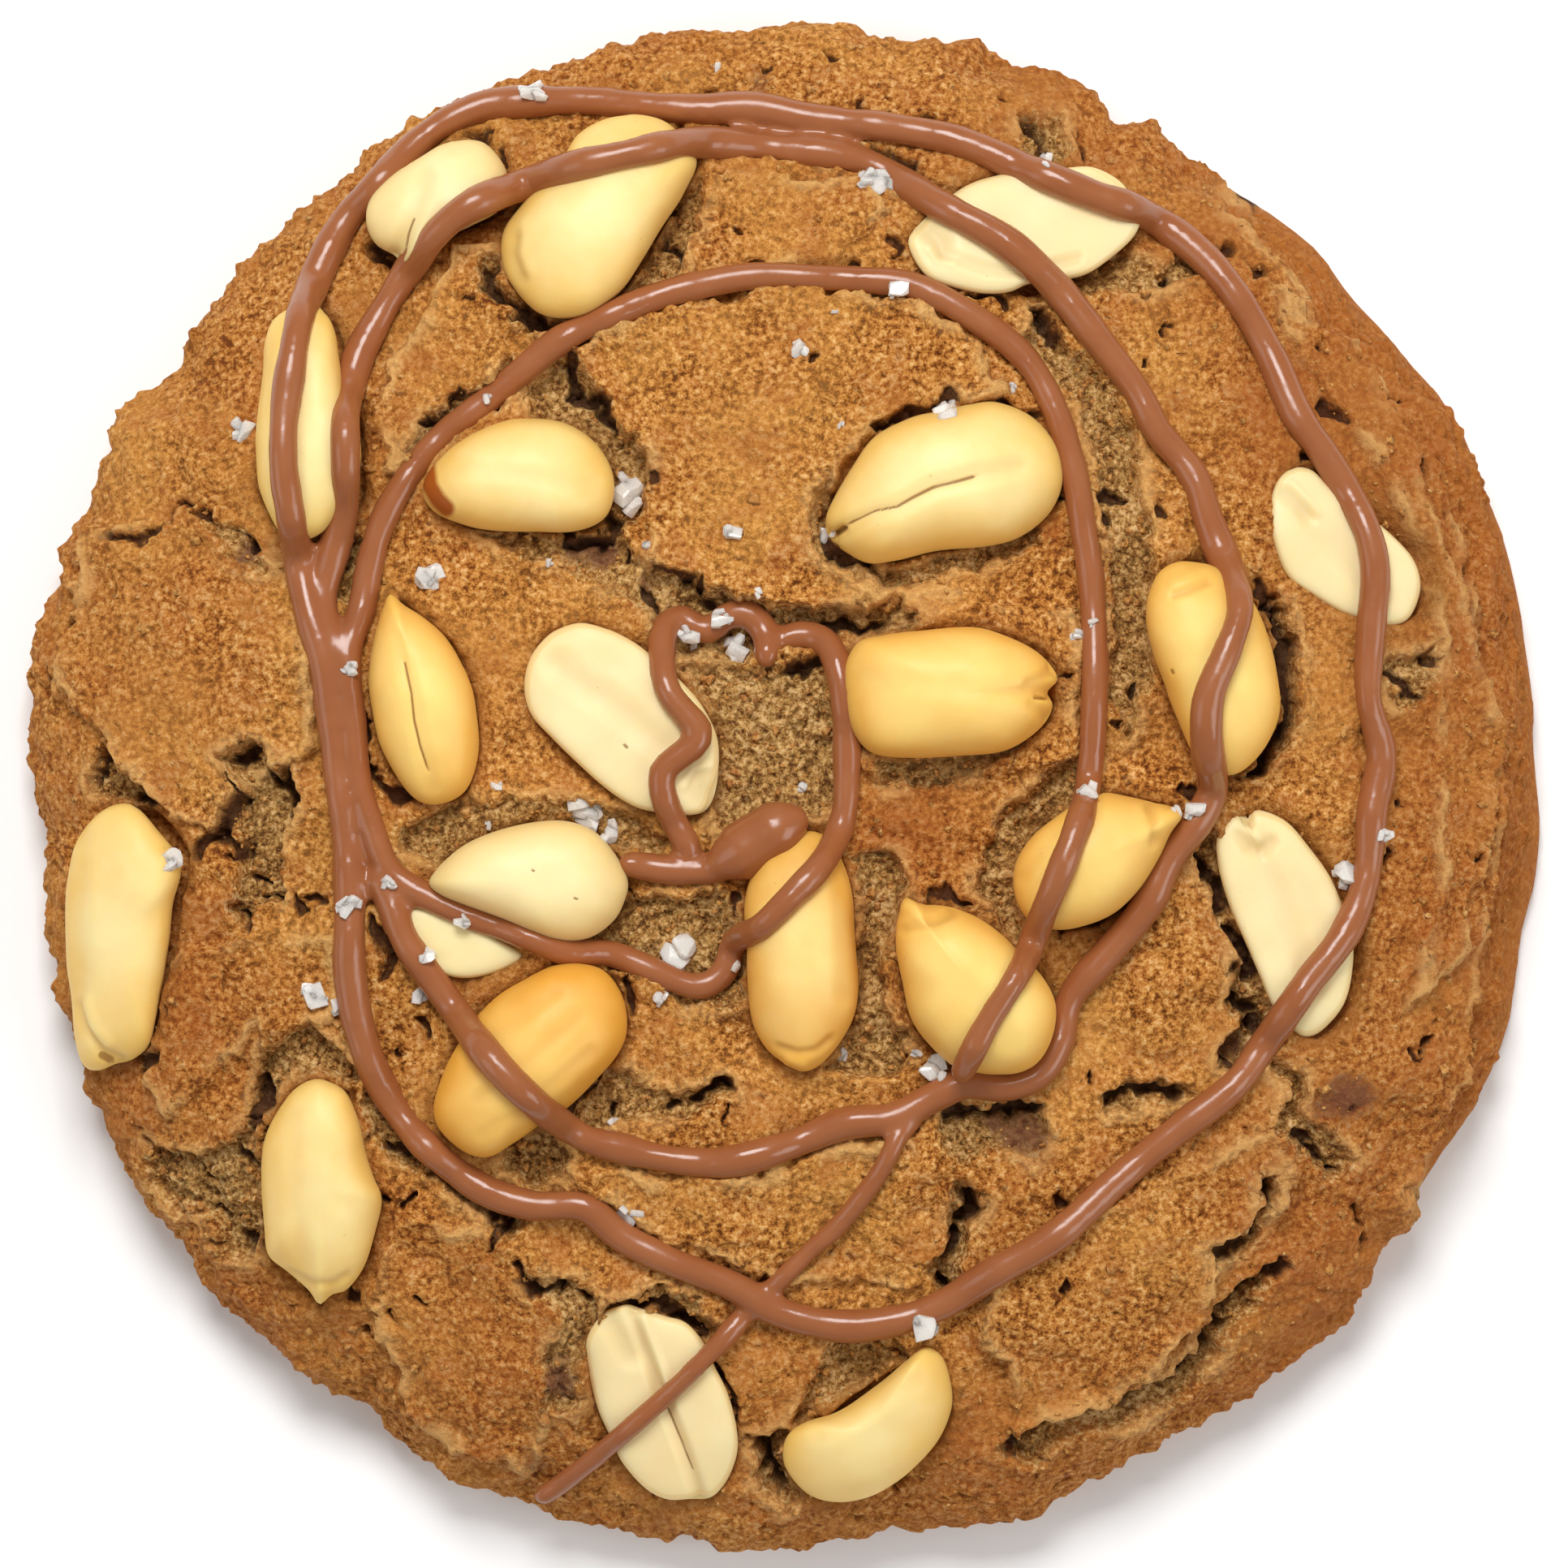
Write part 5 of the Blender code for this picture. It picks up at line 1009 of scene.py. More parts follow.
KERNEL_MARKS = tuple(KernelMark(*row[:5], row[5:]) for row in (
    (1, CREASE, 0.7, 0.35, 0.1, (-0.6, 1.4), (-1.5, -1.2), (-2.1, -2.6), (-2.5, -4)),
    (1, SEAM, 0.1, 0.1, 0.5, (-1.6, -1.6), (-2.1, -2.8), (-2.5, -4.1)),
    (2, CREASE, 0.5, 0.2, 0.14, (-5.9, -1.6), (-6.1, -3), (-5.5, -4.4)),
    (2, CREASE, 0.5, -0.14, 0.0, (-5.2, -0.6), (-5.5, -2.4), (-5, -4)),
    (3, CREASE, 0.8, 0.5, 0.3, (-6.7, -0.2), (-5.8, -1), (-5.7, -1.9)),
    (3, CREASE, 0.35, -0.25, 0.0, (-6.6, -1.5), (-6, -2.4), (-4.9, -2.5)),
    (3, CREASE, 0.45, 0.28, 0.1, (-4.8, -2.2), (-2.4, -3), (0.4, -3.3), (4, -2.2)),
    (4, CREASE, 0.7, 0.18, 0.05, (-1.2, 7), (-1.4, 0), (-0.9, -6.8)),
    (5, SKIN, 0.75, -0.05, 1.0, (-6.6, 0.8), (-6.4, -0.6), (-5.8, -1.6), (-5.2, -2.2)),
    (5, CREASE, 0.7, 0.1, 0.04, (-4, 0.6), (0, 0.2), (5, -0.6)),
    (6, SEAM, 0.14, 0.22, 0.9, (-8, -4), (-6.6, -2.9), (-5.2, -2.2), (-3.4, -1.9), (-2.2, -1.2),
     (-0.8, -0.5), (0.8, -0.1), (2.2, 0.3)),
    (6, CREASE, 0.7, 0.32, 0.08, (-7.8, -3.8), (-5.2, -2.3), (-3.4, -1.9), (-0.8, -0.5), (2.6, 0.4),
     (5.2, 1)),
    (6, SEAM, 0.34, 0.45, 0.9, (-8.2, -4.1), (-7.5, -3.6)),
    (7, CREASE, 0.6, 0.35, 0.18, (-4.5, 3.8), (-3.6, 3.1), (-2.6, 2.1)),
    (7, CREASE, 0.3, -0.2, 0.0, (-3.9, 4.4), (-2.9, 3.4), (-2, 2.4)),
    (7, CREASE, 0.9, 0.28, 0.06, (-2.6, 2.1), (0, -0.6), (2.6, -3.6)),
    (8, SEAM, 0.11, 0.16, 0.85, (-1.3, 2.8), (-0.8, 0.6), (-0.6, -1.4), (-0.2, -3.2), (0.4, -5)),
    (8, CREASE, 0.6, 0.18, 0.05, (-1.6, 4.6), (-0.8, 0.6), (0.6, -6)),
    (9, CREASE, 1.0, 0.32, 0.06, (-4.8, 4), (-3.2, 2.6), (-1.4, 1.6), (0.4, 0.2), (3, -2)),
    (9, CREASE, 1.1, 0.5, 0.22, (5.2, -4.1), (5.9, -5.2)),
    (9, CREASE, 0.3, -0.22, 0.0, (4.4, -4.8), (5, -3.5), (6.2, -3.3)),
    (9, SEAM, 0.14, 0.05, 0.6, (0.1, -1.8), (0.3, -2)),
    (10, SEAM, 0.16, 0.3, 0.8, (6, -0.3), (6.6, -0.4), (7.4, -0.2)),
    (10, CREASE, 0.5, 0.3, 0.12, (5.6, 0.6), (6.6, 1), (7.4, 1.8)),
    (10, CREASE, 0.5, 0.25, 0.1, (5.8, -0.9), (6.4, -1.4), (7, -2.2)),
    (10, CREASE, 0.9, 0.14, 0.03, (-6.4, 1), (-1, 0.6), (5, 0)),
    (11, CREASE, 0.3, 0.28, 0.22, (-2.8, 5.1), (-1.6, 5.5), (-0.4, 6)),
    (11, CREASE, 0.5, -0.16, 0.0, (-2.8, 5.9), (-1.6, 6.3), (-0.6, 6.7)),
    (11, SEAM, 0.13, 0.05, 0.7, (-3, -0.3), (-2.9, -0.5)),
    (12, CREASE, 0.35, 0.3, 0.22, (-2.9, -5), (-2.4, -6.6), (-1.2, -8.2), (0.4, -9)),
    (12, CREASE, 0.4, -0.2, 0.0, (-2.1, -4.8), (-1.6, -6.6), (-0.6, -7.8)),
    (12, SEAM, 0.3, 0.12, 0.7, (-1.2, -8.7), (-0.5, -9.1)),
    (12, CREASE, 0.7, 0.2, 0.05, (-2.4, 7), (-2.8, 1), (-2.6, -4)),
    (13, SEAM, 0.12, 0.04, 0.6, (0.6, 0.8), (0.7, 0.7)),
    (13, SEAM, 0.12, 0.04, 0.6, (3.6, -1.2), (3.8, -1.3)),
    (14, CREASE, 0.3, 0.25, 0.2, (-1.7, -6.9), (-0.4, -7.3), (1.1, -7.1), (2, -6.3)),
    (14, CREASE, 0.35, -0.2, 0.0, (-1, -7.8), (0.1, -8.1)),
    (14, CREASE, 0.7, 0.16, 0.06, (2.4, 6.6), (3, 2), (3, -3)),
    (15, CREASE, 0.35, 0.28, 0.2, (4, 4), (4.4, 2.8), (4.4, 1.4)),
    (15, CREASE, 0.5, -0.18, 0.0, (5, 3.7), (5.8, 3.3)),
    (15, CREASE, 0.5, 0.14, 0.06, (-5, -1), (-3, 1.8), (-0.4, 3.8)),
    (16, CREASE, 0.35, 0.28, 0.2, (-5.1, 4.4), (-3.8, 4.7), (-2.6, 5.1), (-1.6, 5.6)),
    (16, CREASE, 0.5, -0.2, 0.0, (-4.8, 5.9), (-4, 5.7)),
    (16, CREASE, 0.9, 0.14, 0.04, (-3.6, 3.4), (-0.6, 0.4), (2.4, -3.6)),
    (17, CREASE, 0.35, 0.45, 0.35, (-2.8, 7.6), (-2.5, 6.9)),
    (17, CREASE, 0.45, -0.35, 0.0, (-2.3, 6.6), (-1.8, 5.9)),
    (17, CREASE, 0.5, 0.35, 0.22, (-3.1, 6.2), (-2.6, 5.4), (-1.6, 5.1), (-1, 5.8)),
    (17, CREASE, 0.8, 0.25, 0.05, (-1.8, 5), (0, 1), (2.2, -4.6)),
    (18, CREASE, 0.6, 0.14, 0.05, (-3.4, 1.2), (-1, 3), (1.8, 5)),
    (18, CREASE, 0.6, 0.14, 0.05, (-3.6, -2.6), (-0.4, -0.2), (3.6, 3.2)),
    (18, CREASE, 0.5, 0.12, 0.05, (-3.4, -5.2), (0.2, -2.8), (4.4, 0.8)),
    (19, CREASE, 0.3, 0.22, 0.16, (-2.2, -6.1), (-0.6, -6.9), (1, -6.9), (2, -6.3)),
    (19, CREASE, 0.6, 0.12, 0.03, (-1.6, 5), (-1.9, -1), (-1.2, -5.4)),
    (20, CREASE, 0.5, 0.5, 0.2, (-2, 6.4), (-1.3, 4.2), (-0.4, 1.6), (0.6, -1), (1.6, -3.6),
     (2.7, -6.8)),
    (20, SEAM, 0.1, 0.1, 0.5, (0.4, -0.6), (1.6, -3.6), (2.2, -5.2)),
    (20, CREASE, 0.8, 0.35, 0.22, (-3.4, 5.6), (-2.7, 4.4), (-2.2, 3.4)),
    (20, CREASE, 0.4, -0.35, 0.0, (-1.4, 6.1), (-0.6, 4), (0.4, 1.4)),
    (21, CREASE, 0.7, 0.16, 0.05, (-3.6, -0.2), (0, 1.6), (3.2, 3.8)),
))


def read_places(mesh: Mesh) -> Array:
    """Returns the places of a mesh's vertices as rows of x, y and z."""
    places = np.empty(len(mesh.vertices) * 3)
    mesh.vertices.foreach_get("co", places)
    return places.reshape(-1, 3)


def write_places(mesh: Mesh, places: Array) -> None:
    """Moves a mesh's vertices to places given in millimetres."""
    mesh.vertices.foreach_set("co", (places * MM).astype(np.float32).ravel())
    mesh.update()


def read_normals(mesh: Mesh) -> Array:
    """Returns the direction in which a mesh faces at each vertex."""
    normals = np.empty(len(mesh.vertices) * 3)
    mesh.vertex_normals.foreach_get("vector", normals)
    return normals.reshape(-1, 3)


def write_attribute(mesh: Mesh, name: Attribute, channels: tuple[Array, ...]) -> None:
    """Stores four channels on a mesh's vertices as a colour attribute."""
    layer = mesh.color_attributes.new(name=name.value, type="FLOAT_COLOR", domain="POINT")
    layer.data.foreach_set("color", np.column_stack(channels).astype(np.float32).ravel())


def apply_modifiers(made: Object) -> None:
    """Makes what the modifiers show the object's own mesh."""
    shown = made.evaluated_get(bpy.context.evaluated_depsgraph_get())
    old = made.data
    made.data = bpy.data.meshes.new_from_object(shown)
    made.data.name = made.name
    made.modifiers.clear()
    bpy.data.meshes.remove(old)


def shade_smooth(made: Object) -> None:
    """Shades every face of an object smooth."""
    made.data.polygons.foreach_set("use_smooth", [True] * len(made.data.polygons))
    made.data.update()


def link_object(name: str, data: ID) -> Object:
    """Puts a mesh, curve, light or camera into the scene as a new object."""
    made = bpy.data.objects.new(name, data)
    bpy.context.scene.collection.objects.link(made)
    return made


def link_mesh(name: str, bm: BMesh) -> Object:
    """Puts a finished bmesh into the scene as a new object, and frees it."""
    mesh = bpy.data.meshes.new(name)
    bm.to_mesh(mesh)
    bm.free()
    return link_object(name, mesh)


def merge(bm: BMesh, part: BMesh) -> None:
    """Adds a finished part to a bmesh, and frees the part."""
    loose = bpy.data.meshes.new("part")
    part.to_mesh(loose)
    part.free()
    bm.from_mesh(loose)
    bpy.data.meshes.remove(loose)


@dataclass
class DoughForm:
    """The shape of the dough: a turned dome with an uneven edge, plates, hollows, holes and crumb.

    Each row of raggedness or swells is the distance between two bumps and their size. Each edge bite
    is its direction in degrees, half its width in degrees, and its depth, below 0 for a bulge.
    """

    radius: float = 54.9
    dome_height: float = 16.2
    widest_height: float = 4.3
    flatness: float = 3.2
    shoulder: float = 0.55
    foot_tuck: float = 1.9
    below_table: float = 1.2
    base_share: float = 0.15
    edge_wave: float = 0.45
    edge_waves_round: float = 2.6
    ledge_drop: float = 1.8
    ledge_fade: float = 9.0
    ledge_slope: float = 0.8
    raggedness: tuple[tuple[float, float], ...] = ((2.4, 0.65), (0.9, 0.4), (0.45, 0.18))
    plate_slope: float = 0.35
    hollow_slope: float = 0.5
    press_depth: float = 1.8
    press_swell: float = 0.25
    edge_bites: tuple[tuple[float, float, float], ...] = (
        (2, 8, -0.5), (16, 7, -0.7), (29, 7, -1.3), (45, 6, -0.6), (57, 4, 1.1),
        (63.5, 2, 2.0), (82, 6, 0.4), (94, 6, 0.8), (106, 6, 0.8), (127, 4, 1.5),
        (134, 5, 1.0), (140, 3, 1.0), (146, 3, 1.7), (151, 3, -0.7), (153.5, 1.6, 0.9),
        (158, 3, 1.2), (184, 4, 1.4), (192, 5, 1.0), (203, 2.2, 0.7), (235, 3, 0.5),
        (244, 3, -1.1), (251, 5, -0.8), (262, 6, 0.5), (279, 4, 0.6), (288, 5, -0.8),
        (306, 5, -1.1), (306, 2.5, 0.8), (316, 5, -0.7), (334, 5, -0.9), (342, 5, -1.1),
        (350, 6, -0.4),
    )
    swells: tuple[tuple[float, float], ...] = ((15.0, 0.55), (5.5, 0.40), (2.6, 0.22))

    def edge_radius(self, degrees: Array) -> Array:
        """Returns the radius of the uneven outline in each direction."""
        turn = np.radians(degrees)
        circle = np.stack([np.cos(turn), np.sin(turn)], axis=1) * self.edge_waves_round
        radius = self.radius + self.edge_wave * (noise_at(circle, 1.0, 1) + noise_at(circle, 0.28, 2))
        for middle, half_width, depth in self.edge_bites:
            gap = (degrees - middle + 180.0) % 360.0 - 180.0
            radius = radius - depth * np.exp(-((gap / half_width) ** 2))
        return radius

    def dome(self, points: Array) -> Array:
        """Returns the height of the smooth top over each (x, y)."""
        share = np.clip(np.hypot(points[:, 0], points[:, 1]) / self.radius, 0.0, 1.0)
        rise = (1.0 - share**self.flatness) ** self.shoulder
        return self.widest_height + (self.dome_height - self.widest_height) * rise

    def slope(self, x: float, y: float) -> tuple[float, float]:
        """Returns how steeply the smooth top falls at a place, and in which direction."""
        out = math.hypot(x, y)
        high, low = self.dome(np.array([[out - 0.5, 0.0], [out + 0.5, 0.0]]))
        return math.atan(high - low), math.atan2(y, x)

    def broken(self, places: Array) -> Array:
        """Returns x and y shifted about by noise, which makes every line through them ragged."""
        shifted = places[:, :2].copy()
        for layer, (wavelength, shift) in enumerate(self.raggedness):
            for axis in (0, 1):
                shifted[:, axis] += shift * crumb_noise(places, wavelength, 3 + 2 * layer + axis)
        return shifted

    def past_ledge(self, shifted: Array, inwards: float = 0.0) -> Array:
        """Works out which places lie outside the ledge of the crust.

        Args:
            shifted: rows of x and y, in millimetres.
            inwards: how far the line is moved towards the middle, in millimetres.

        Returns:
            A share from 0 to 1 for each place.
        """
        ledge = np.array(LEDGE)
        turns = np.degrees(np.arctan2(ledge[:, 1], ledge[:, 0]))[::-1]
        radii = np.hypot(ledge[:, 0], ledge[:, 1])[::-1]
        turn = np.degrees(np.arctan2(shifted[:, 1], shifted[:, 0]))
        out = np.hypot(shifted[:, 0], shifted[:, 1]) - np.interp(turn, turns, radii)
        fade = smooth_step((turn - turns[0]) / self.ledge_fade)
        fade = fade * smooth_step((turns[-1] - turn) / self.ledge_fade)
        return fade * smooth_step((out + inwards) / self.ledge_slope + 0.5)

    def profile(self) -> tuple[Array, Array]:
        """Returns radius and height along the turned section, from the top's middle to the base's."""
        quarter = np.linspace(0.0, math.pi / 2, 160)
        top_radius = self.radius * np.sin(quarter)
        top_height = self.dome(np.stack([top_radius, np.zeros_like(top_radius)], axis=1))
        side_radius = self.radius - self.foot_tuck * (1.0 - np.cos(quarter[1:]))
        side_height = self.widest_height - (self.widest_height + self.below_table) * np.sin(quarter[1:])
        radius = np.concatenate([top_radius, side_radius, [0.0]])
        height = np.concatenate([top_height, side_height, [-self.below_table]])
        return radius, height


@dataclass
class Surface:
    """What the baked surface is like, for many places at once: its relief and its regions.

    A region is a soft field that is 0.5 on the region's edge and grows inwards to 1.
    """

    relief: Array
    sunken: Array
    hole: Array
    # where shade is painted in holes, in pits and on the step of the ledge
    chip: Array
    toast: Array
    # where shade is painted on the dough round the kernels
    contact_shade: Array
    # where a highlight is painted along the raised lips
    lip: Array


@dataclass
class DoughCrust:
    """The dough as it is seen: the form with its crumb, pits and flakes, and its regions of colour.

    Each row of grain or lumps is the distance between two bumps and how far they stand out.
    """

    form: DoughForm = field(default_factory=DoughForm)
    finish: BakedDough = field(default_factory=BakedDough)
    subdivisions: int = 9
    triangles: int = 192000
    skin_grain: tuple[tuple[float, float], ...] = (
        (7.0, 0.32), (3.2, 0.28), (1.5, 0.17), (0.8, 0.13), (0.5, 0.05),
    )
    crumb_lumps: tuple[tuple[float, float], ...] = ((1.7, 0.5), (0.9, 0.32), (0.5, 0.16))
    rim_grain: tuple[tuple[float, float], ...] = ((2.6, 0.5), (1.2, 0.4), (0.6, 0.25))
    rim_height: float = 7.0
    baked_side_height: float = 9.0
    lump_height: float = 1.1
    brink_depth: float = 0.8
    brink_shade: float = 0.85
    flake_levels: tuple[float, ...] = (-0.18, 0.12)
    flake_step: float = 0.26
    pit_depth: float = 0.30
    pit_shade: float = 0.56
    lip: float = 0.30
    lip_width: float = 0.4
    field_reach: float = 1.1

    def surface(self, places: Array) -> Surface:
        """Works out relief and regions at each place.

        Args:
            places: rows of x, y and z of the smooth form, in millimetres.

        Returns:
            The relief in millimetres and each region's field.
        """
        form = self.form
        flat = places[:, :2]
        broken = form.broken(places)
        relief, lip = np.zeros(len(places)), np.zeros(len(places))
        for layer, (wavelength, swell) in enumerate(form.swells):
            relief += swell * noise_at(flat, wavelength, 10 + layer)
        for plate in PLATES:
            depth = depth_inside(broken, plate.outline)
            relief += plate.rise * smooth_step(depth / form.plate_slope + 0.5)
            rim = np.exp(-(((depth - 0.4) / self.lip_width) ** 2))
            relief += self.lip * rim
            lip = np.maximum(lip, rim)
        outside = form.past_ledge(broken)
        relief -= form.ledge_drop * outside
        brink = 4.0 * outside * (1.0 - outside)
        edge = form.past_ledge(broken, form.ledge_slope)
        lip = np.maximum(lip, 4.0 * edge * (1.0 - edge))
        sunken = np.zeros(len(places))
        floor = np.zeros(len(places))
        for hollow in HOLLOWS:
            depth = depth_inside(broken, hollow.outline)
            floor = np.maximum(floor, hollow.depth * smooth_step(depth / form.hollow_slope + 0.5))
            rim = np.exp(-(((depth + 0.5) / self.lip_width) ** 2))
            relief += self.lip * rim
            lip = np.maximum(lip, 0.8 * rim)
            sunken = np.maximum(sunken, np.clip(0.5 + depth / (2 * self.field_reach), 0.0, 1.0))
        relief -= floor
        uneven = crumb_noise(places, 1.4, 20)
        relief -= self.brink_depth * brink
        # Painted shade on the step of the ledge, then in each opening
        hole = self.brink_shade * brink * smooth_step(0.55 + 1.5 * crumb_noise(places, 3.5, 21))
        for opening in SHADED_HOLES:
            width = opening.width * (0.9 + 0.6 * uneven)
            gap = distance_to_course(broken, opening.course, 3.0) / np.maximum(width, 0.05)
            relief -= (0.6 + opening.width) * smooth_step((1.3 - gap) * 1.5)
            hole = np.maximum(hole, np.clip(1.0 - gap / 2.2, 0.0, 1.0))
        contact_shade = self._press_kernels(flat, relief)
        lumps = np.zeros(len(places))
        for layer, (wavelength, height) in enumerate(self.crumb_lumps):
            lumps += height * (0.5 - np.abs(crumb_noise(places, wavelength, 30 + layer)) * 1.6)
        relief += self.lump_height * smooth_step(sunken * 1.6 - 0.5) * (lumps - 0.1)
        for layer, (wavelength, height) in enumerate(self.skin_grain):
            relief += height * crumb_noise(places, wavelength, 40 + layer)
        flake = crumb_noise(places, 7.0, 50) + 0.2 * crumb_noise(places, 1.5, 51)
        for level in self.flake_levels:
            relief += self.flake_step * smooth_step((flake - level) / 0.06)
        # Pits are sunk and painted dark as shade
        pits = smooth_step((crumb_noise(places, 0.8, 52) - 0.56) / 0.1)
        relief -= self.pit_depth * pits
        hole = np.maximum(hole, self.pit_shade * pits)
        chip = np.zeros(len(places))
        for spot in CHIPS:
            gap = np.hypot(*(broken - np.array(spot.middle)).T)
            chip = np.maximum(chip, np.clip(1.0 - gap / (2 * spot.radius), 0.0, 1.0) * spot.strength)
        out = np.hypot(flat[:, 0], flat[:, 1])
        turn = np.degrees(np.arctan2(flat[:, 1], flat[:, 0]))
        right = smooth_step(1.0 - np.abs((turn - 5.0) / 85.0))
        toast = smooth_step((out - 28.0) / 24.0) * (0.3 + 0.6 * right) + 0.4 * outside
        for spot in BROWNED:
            gap = np.hypot(*(flat - np.array(spot.middle)).T)
            toast += spot.strength * np.exp(-((gap / spot.radius) ** 2))
        toast += 0.35 * crumb_noise(places, 9.0, 53)
        # The painted highlight on the lips, broken into patches
        lip = lip * smooth_step(0.5 + 2.0 * crumb_noise(places, 4.0, 54))
        return Surface(relief, sunken, hole, chip, np.clip(toast, 0.0, 1.0), contact_shade, lip)

    def _press_kernels(self, flat: Array, relief: Array) -> Array:
        """Presses the dough down under each kernel.

        Args:
            flat: rows of x and y, in millimetres.
            relief: the relief at each place, which this changes.

        Returns:
            How close each place is to a kernel's edge, from 0 to 1, which is where shade is painted on the
            dough.
        """
        contact_shade = np.zeros(len(flat))
        for kernel in KERNELS:
            near = boxed(flat, kernel.edge(), 4.0)
            inside = depth_inside(flat[near], kernel.edge(), 5.0)
            swell = np.exp(-(((inside + 1.1) / 0.8) ** 2))
            pressed = self.form.press_depth * smooth_step(inside / 0.9 + 0.2)
            relief[near] += self.form.press_swell * swell - pressed
            contact_shade[near] = np.maximum(contact_shade[near], np.exp(-((inside / 0.7) ** 2)))
        return contact_shade

    def build(self) -> Object:
        """Builds the dough as one closed mesh with a flat base, and dresses it."""
        form = self.form
        radius, height = form.profile()
        steps = np.hypot(np.diff(radius), np.diff(height)) * (radius[1:] + radius[:-1])
        steps[-1] *= form.base_share
        swept = np.concatenate([[0.0], np.cumsum(steps)])
        swept /= swept[-1]
        normal_out, normal_up = -np.gradient(height), np.gradient(radius)
        length = np.hypot(normal_out, normal_up)
        bm = bmesh.new()
        bmesh.ops.create_icosphere(bm, subdivisions=self.subdivisions, radius=1.0)
        made = link_mesh("dough", bm)
        mesh = made.data
        ball = read_places(mesh)
        share = (1.0 - ball[:, 2]) / 2.0
        out = np.interp(share, swept, radius)
        up = np.interp(share, swept, height)
        across = np.maximum(np.hypot(ball[:, 0], ball[:, 1]), 1e-9)
        heading = ball[:, :2] / across[:, None]
        surface = self.surface(np.column_stack([heading * out[:, None], up]))
        fade = smooth_step(up / form.widest_height) * (share < swept[-2])
        ring = np.column_stack([heading * form.radius, up])
        low = 1.0 - smooth_step((up - form.widest_height) / self.rim_height)
        lift = surface.relief
        for layer, (wavelength, depth) in enumerate(self.rim_grain):
            lift = lift + depth * low * crumb_noise(ring, wavelength, 60 + layer)
        lift = lift * fade
        out = out + lift * np.interp(share, swept, normal_out / length)
        up = up + lift * np.interp(share, swept, normal_up / length)
        turn = np.degrees(np.arctan2(heading[:, 1], heading[:, 0]))
        around = np.arange(-180.0, 180.5, 0.5)
        out = out * np.interp(turn, around, form.edge_radius(around)) / form.radius
        write_places(mesh, np.column_stack([heading * out[:, None], up]))
        white = np.ones(len(up))
        side = 1.0 - smooth_step(up / self.baked_side_height)
        write_attribute(mesh, Attribute.BAKE, (surface.sunken, surface.hole, surface.chip, white))
        write_attribute(mesh, Attribute.TOAST, (surface.toast, side, surface.contact_shade, surface.lip))
        fewer = made.modifiers.new("Fewer triangles", "DECIMATE")
        fewer.ratio = self.triangles / len(mesh.polygons)
        apply_modifiers(made)
        self._stand_flat(made)
        shade_smooth(made)
        made.data.materials.append(self.finish.material())
        return made

    def _stand_flat(self, made: Object) -> None:
        """Cuts off what is below the table and closes the base with a flat face.

        Args:
            made: the dough, whose mesh this changes.
        """
        bm = bmesh.new()
        bm.from_mesh(made.data)
        everything = bm.verts[:] + bm.edges[:] + bm.faces[:]
        bmesh.ops.bisect_plane(
            bm, geom=everything, plane_co=(0, 0, 0), plane_no=(0, 0, -1), clear_outer=True, dist=1e-5
        )
        bmesh.ops.holes_fill(bm, edges=[edge for edge in bm.edges if edge.is_boundary])
        bmesh.ops.triangulate(bm, faces=[face for face in bm.faces if len(face.verts) > 4])
        bmesh.ops.recalc_face_normals(bm, faces=bm.faces)
        bm.to_mesh(made.data)
        bm.free()


